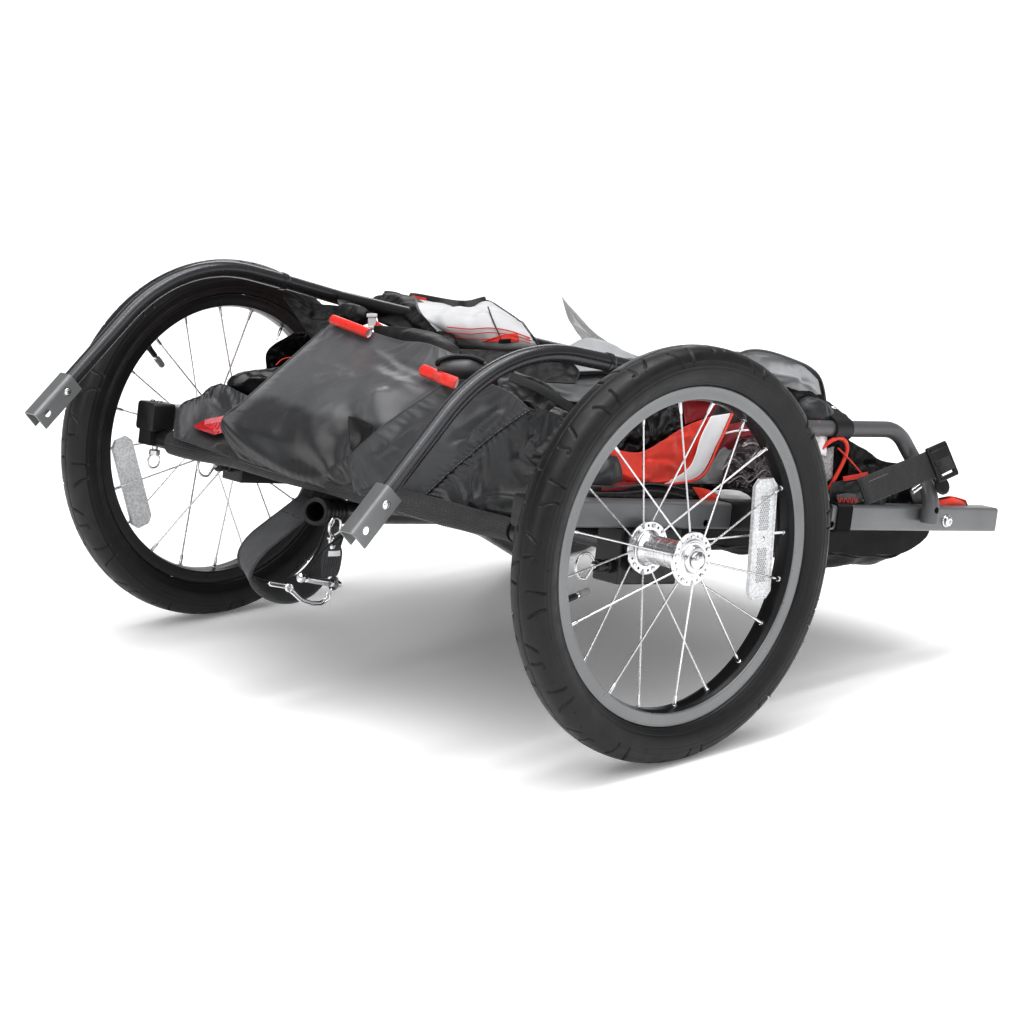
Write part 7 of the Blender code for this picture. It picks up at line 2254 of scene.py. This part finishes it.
for k in range(11):
    zig.append((837.5 + 2.0 * k, 500.5 + (2.6 if k % 2 else -2.6), -0.3015))
piping("front_tab_red_stitches", V(zig), 0.0005, THREAD_RED, "chassis", 90, 6)
patch(
    "front_corner_red_patch", RED_NYLON, "chassis",
    [(934, 507, -0.293), (950, 508, -0.292), (967, 506, -0.290)], [(967, 506, -0.290), (966, 500, -0.287)], [(938, 498, -0.289), (950, 496, -0.288), (966, 500, -0.287)], [(934, 507, -0.293), (938, 498, -0.289)],
    nu=22, nv=12, thick=0.0016, bulge=0.003, rumple=0.001, rumple_scale=50, held="folded", rests=("square_rail_right",),
)
piping("front_corner_patch_edge", V([(938, 499, -0.2905), (944, 498, -0.2905), (951, 498, -0.2895), (960, 500, -0.2890), (966, 503, -0.2895), (967, 507, -0.2910)]), 0.0011, BLACK_NYLON, "chassis", 50, 8)
patch(
    "front_bar_black_cloth", BLACK_NYLON, "chassis",
    [(880, 508, -0.262), (905, 509, -0.262), (938, 508, -0.262)], [(938, 508, -0.262), (934, 490, -0.262)], [(884, 486, -0.262), (908, 484, -0.262), (934, 490, -0.262)], [(880, 508, -0.262), (884, 486, -0.262)],
    nu=40, nv=20, thick=0.0013, bulge=0.004, rumple=0.006, rumple_scale=40, seed=311.0, held="gathered", rests=("square_rail_right",),
)
# Storage strap: ribbed webbing from a stitched fold, round the leg, to a ladder buckle.
strap_line = V([(862, 492, -0.3262), (876, 486.5, -0.3270), (892, 480, -0.3276), (910, 473, -0.3280), (928, 465.5, -0.3284), (944, 458, -0.3290)])
sw = ribbon("storage_strap_webbing", strap_line, 0.0285, WEBBING, "upper_frame", 90, 0.0018, replaces=("storage_strap",), wave=0.001)
fold_line = V([(886, 482.2, -0.3292), (874, 487.4, -0.3292), (864, 491.6, -0.3286), (861.2, 492.6, -0.3262), (864, 491.4, -0.3236), (880, 484.6, -0.3230)])
ribbon("storage_strap_folded_end", fold_line, 0.0272, WEBBING, "upper_frame", 60, 0.0014, declare=False)
for k, (u0, u1) in enumerate(((0.10, 0.90), (0.90, 0.90), (0.10, 0.10))):
    pass
sn = -FWD
for k, off in enumerate((-0.0100, 0.0100)):
    stitches([tuple(p + UPW * off * 0.93 + RGT * off * 0.30 - FWD * 0.0014) for p in V([(866, 491, -0.3292), (876, 486.6, -0.3292), (885, 482.8, -0.3292)])], 9, 0.0022, 0.0003, THREAD_GREY, f"strap_end_stitches_{k}", "upper_frame", sn, 0.0)
t_dir = (strap_line[-1] - strap_line[-3]).normalized()
n_dir = (-FWD - t_dir * (-FWD).dot(t_dir)).normalized()
w_dir = n_dir.cross(t_dir).normalized()
bc = at(942, 462, -0.3315)
bm = None
for (a, b, la, lb) in ((-0.0122, 0.0, 0.0024, 0.0170), (0.0122, 0.0, 0.0024, 0.0170), (0.0, -0.0158, 0.0140, 0.0024), (0.0, 0.0005, 0.0140, 0.0020), (0.0, 0.0158, 0.0140, 0.0030)):
    bm = box_bm(bc + t_dir * a + w_dir * b, (la, 0.0022, lb), (t_dir, n_dir, w_dir), bm)
box_bm(bc + w_dir * 0.0080 + n_dir * 0.0012, (0.0118, 0.0015, 0.0056), (t_dir, n_dir, w_dir), bm)
obj = from_bm(bm, "storage_strap_ladder_buckle", BLACK_PLASTIC, "upper_frame", 30)
bevel_mod(obj, 0.0011, 2)
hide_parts("storage_buckle")
strap_b = V([(924, 471, -0.3262), (932, 467, -0.3290), (940, 463, -0.3326), (950, 458, -0.3330)])
ribbon("storage_strap_tail", strap_b, 0.0230, WEBBING, "upper_frame", 50, 0.0016, declare=False)
bm = lathe_bm(at(941, 486, -0.3220), tuple(n_dir), [(0.0, 0.0), (0.0, 0.0085), (0.0008, 0.0095), (0.0024, 0.0095), (0.0034, 0.0080), (0.0036, 0.0030), (0.0036, 0.0)], 36)
from_bm(bm, "storage_strap_disc", BLACK_PLASTIC, "upper_frame", 30)
bm = rod_bm(at(912, 492, -0.3200), at(920, 486, -0.3200), 0.0030, 16)
obj = from_bm(bm, "strap_chrome_slide", CHROME, "upper_frame", 30)
bevel_mod(obj, 0.0005, 2)
# ribbed rubber band round the right rail where the cloth ends
sec = rounded_rect(0.0142, 0.0140, 0.0046, 5)
xs = np.linspace(0.270, 0.292, 34)
G = np.array([[list(W(x, -RAIL_Y + a * (1 + 0.025 * math.cos(k * math.pi)), RAIL_Z0 + RAIL / 2 + b * (1 + 0.025 * math.cos(k * math.pi)))) for a, b in sec] for k, x in enumerate(xs)])
bm = grid_bm(G, wrap_v=True)
G2 = np.array([[list(W(x, -RAIL_Y + a * 0.93, RAIL_Z0 + RAIL / 2 + b * 0.93)) for a, b in sec] for x in (xs[-1], xs[0])])
grid_bm(G2, wrap_v=True, bm=bm)
for i in (0, -1):
    grid_bm(np.stack([G[i], G2[1 if i == 0 else 0]]), wrap_v=True, bm=bm)
from_bm(bm, "rail_ribbed_band", BLACK_NYLON, "chassis", 40)


# ============================================================ safety strap, tether tab, hook and hitch pin
def strap_edge(points, y):
    return [at(px, py, y) for px, py in points]


CENTRE = [(-0.113, -0.0205), (-0.138, -0.0385), (-0.156, -0.0515), (-0.177, -0.0675), (-0.188, -0.0805), (-0.191, -0.0890), (-0.189, -0.0980), (-0.176, -0.1090), (-0.155, -0.1165), (-0.132, -0.1165), (-0.110, -0.1080), (-0.094, -0.0900), (-0.084, -0.0620), (-0.080, -0.0450)]
n = 150
near = smooth_line([(x, 0.0262, z) for x, z in CENTRE], n)
far = smooth_line([(x + 0.012 * (0.3 + 0.7 * min(1.0, k / 4)), 0.0640, z + 0.013 * (0.3 + 0.7 * min(1.0, k / 4))) for k, (x, z) in enumerate(CENTRE)], n)
nv = 22
G = np.zeros((nv, n, 3))
for j in range(nv):
    t = j / (nv - 1)
    cup = 0.0016 * math.sin(math.pi * t)
    for i in range(n):
        p = near[i] * (1 - t) + far[i] * t
        p[2] += cup * math.cos(i * 0.05) + 0.0011 * math.sin(i * 0.11 + t * 2.0)
        p[0] += 0.0012 * math.sin(i * 0.09 + t * 3.0)
        G[j, i] = list(W(*p))
strap = thick_grid(G, "safety_strap_webbing", STRAP_WEB, "tow_arm", 0.0022, subdiv=1)
declare_sheet(G)
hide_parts("safety_strap")
# selvedge ridges along both edges of the webbing
for k, line in enumerate((near, far)):
    piping(f"safety_strap_selvedge_{k}", [W(*p) for p in line[::3]], 0.0016, STRAP_WEB, "tow_arm", 120, 8)
# bar-tacked second layer where the loop comes back to the arm
for k, i0 in enumerate((6, 16)):
    a, b = G[2, i0], G[nv - 3, i0]
    pts = []
    for q in np.linspace(0, 1, 18):
        p = a * (1 - q) + b * q
        pts.append(tuple(p + np.array(list(UPW)) * 0.0018 * (1 if int(q * 17) % 2 else 0.2)))
    piping(f"safety_strap_bartack_{k}", pts, 0.0005, THREAD_BLACK, "tow_arm", 60, 6)

# Tether tab: doubled webbing hanging from the swivel hook, its end heat-cut pale.
tab_rows = []
for (x, z, w) in ((-0.1255, -0.0530, 0.0090), (-0.1240, -0.0600, 0.0112), (-0.1240, -0.0700, 0.0114), (-0.1245, -0.0790, 0.0106), (-0.1250, -0.0840, 0.0085)):
    tab_rows.append([W(x - w, -0.0126, z - 0.0006), W(x - w * 0.4, -0.0140, z), W(x + w * 0.4, -0.0142, z), W(x + w, -0.0126, z + 0.0006)])
tab_P = spline_grid(tab_rows, 26, 30)
tab = thick_grid(tab_P, "tether_tab", [STRAP_WEB, WHITE_NYLON], "hitch_pin", 0.0034, subdiv=1, face_mat=lambda i, j: 1 if 5 <= j <= 9 and 5 <= i <= 20 else 0)
declare_sheet(tab_P)
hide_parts("pin_tether")
bm = lathe_bm(W(-0.1262, -0.0125, -0.0560), tuple(W(-0.1275, -0.0125, -0.0400) - W(-0.1245, -0.0125, -0.0545)), [(0.0, 0.0), (0.0, 0.0042), (0.0008, 0.0046), (0.0030, 0.0046), (0.0042, 0.0028), (0.0060, 0.0022), (0.0085, 0.0022), (0.0095, 0.0034), (0.0112, 0.0034), (0.0122, 0.0020), (0.0124, 0.0)], 28)
from_bm(bm, "tether_swivel_barrel", CHROME, "hitch_pin", 35)
hook = [(-0.1268, -0.0125, -0.0442), (-0.1300, -0.0138, -0.0425), (-0.1345, -0.0168, -0.0380), (-0.1352, -0.0168, -0.0315), (-0.1318, -0.0168, -0.0262), (-0.1270, -0.0168, -0.0250), (-0.1226, -0.0168, -0.0272), (-0.1206, -0.0168, -0.0325), (-0.1212, -0.0168, -0.0385), (-0.1238, -0.0125, -0.0425)]
tube_obj("tether_hook", [W(*p) for p in hook], 0.0014, CHROME, "hitch_pin", 14, smooth=60)
gate = [(-0.1345, -0.0162, -0.0375), (-0.1312, -0.0160, -0.0330), (-0.1292, -0.0160, -0.0290), (-0.1298, -0.0162, -0.0262)]
tube_obj("tether_hook_gate", [W(*p) for p in gate], 0.0008, CHROME, "hitch_pin", 10, smooth=30)
ring = [(-0.1262 + 0.0042 * math.cos(t), -0.0125, -0.0545 + 0.0034 * math.sin(t)) for t in np.linspace(0, TAU, 15)[:-1]]
tube_obj("tether_tab_ring", [W(*p) for p in ring], 0.0011, CHROME, "hitch_pin", 12, closed=True, smooth=60)

# Hitch pin: a turned shank with a grooved ball end, and its bent wire keeper.
a, b = W(-0.1640, -0.0125, -0.0845), W(-0.1090, -0.0125, -0.0925)
ax = (b - a).normalized()
Lp = (b - a).length
prof = [(0.0, 0.0), (0.0030, 0.0004), (0.0048, 0.0022), (0.0052, 0.0048), (0.0044, 0.0072), (0.0028, 0.0086), (0.0028, 0.0102), (0.0038, 0.0112), (0.0038, 0.0400), (0.0034, 0.0406), (0.0034, 0.0424), (0.0038, 0.0430), (0.0038, Lp - 0.0030), (0.0030, Lp - 0.0008), (0.0, Lp)]
bm = lathe_bm(a, tuple(ax), [(h, rr) for rr, h in prof], 32)
pin = from_bm(bm, "hitch_pin_shank", CHROME, "hitch_pin", 35)
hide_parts("hitch_pin")
bm = lathe_bm(b - ax * 0.0100, tuple(ax), [(0.0, 0.0038), (0.0, 0.0066), (0.0006, 0.0072), (0.0018, 0.0072), (0.0024, 0.0066), (0.0024, 0.0038)], 32, closed=True)
from_bm(bm, "hitch_pin_washer", DARK_STEEL, "hitch_pin", 30)
KEEP = [(-0.1290, -0.0181, -0.0985), (-0.1290, -0.0183, -0.1040), (-0.1370, -0.0188, -0.1085), (-0.1480, -0.0195, -0.1085), (-0.1610, -0.0195, -0.1050), (-0.1725, -0.0190, -0.0965), (-0.1820, -0.0185, -0.0905), (-0.2010, -0.0180, -0.0885)]
back = [(-0.2030, -0.0184, -0.0895), (-0.2012, -0.0190, -0.0912), (-0.1835, -0.0196, -0.0935), (-0.1740, -0.0200, -0.0992), (-0.1620, -0.0204, -0.1075), (-0.1480, -0.0204, -0.1112), (-0.1365, -0.0198, -0.1112), (-0.1262, -0.0192, -0.1060), (-0.1258, -0.0190, -0.0975), (-0.1240, -0.0190, -0.0940)]
kp = tube_obj("pin_keeper_wire", [W(*p) for p in KEEP + back], 0.0012, CHROME, "pin_keeper", 14, smooth=140)
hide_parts("pin_keeper")
coil = [(-0.1790 + 0.0034 * math.cos(t), -0.0190 - 0.0012 * t / TAU, -0.0938 + 0.0034 * math.sin(t)) for t in np.linspace(0, 2.2 * TAU, 40)]
tube_obj("pin_keeper_coil", [W(*p) for p in coil], 0.0009, CHROME, "pin_keeper", 10, smooth=120)

# Lanyard: a thin cord from the tow arm to the hitch pin.
lan = [(-0.1010, -0.0190, -0.0250), (-0.1180, -0.0210, -0.0400), (-0.1430, -0.0205, -0.0560), (-0.1530, -0.0180, -0.0720), (-0.1545, -0.0150, -0.0858)]
lan_pts = [W(*p) for p in lan]
lanyard = tube_obj("pin_lanyard_cord", lan_pts, 0.0012, BLACK_NYLON, "hitch_pin", 10, smooth=60)
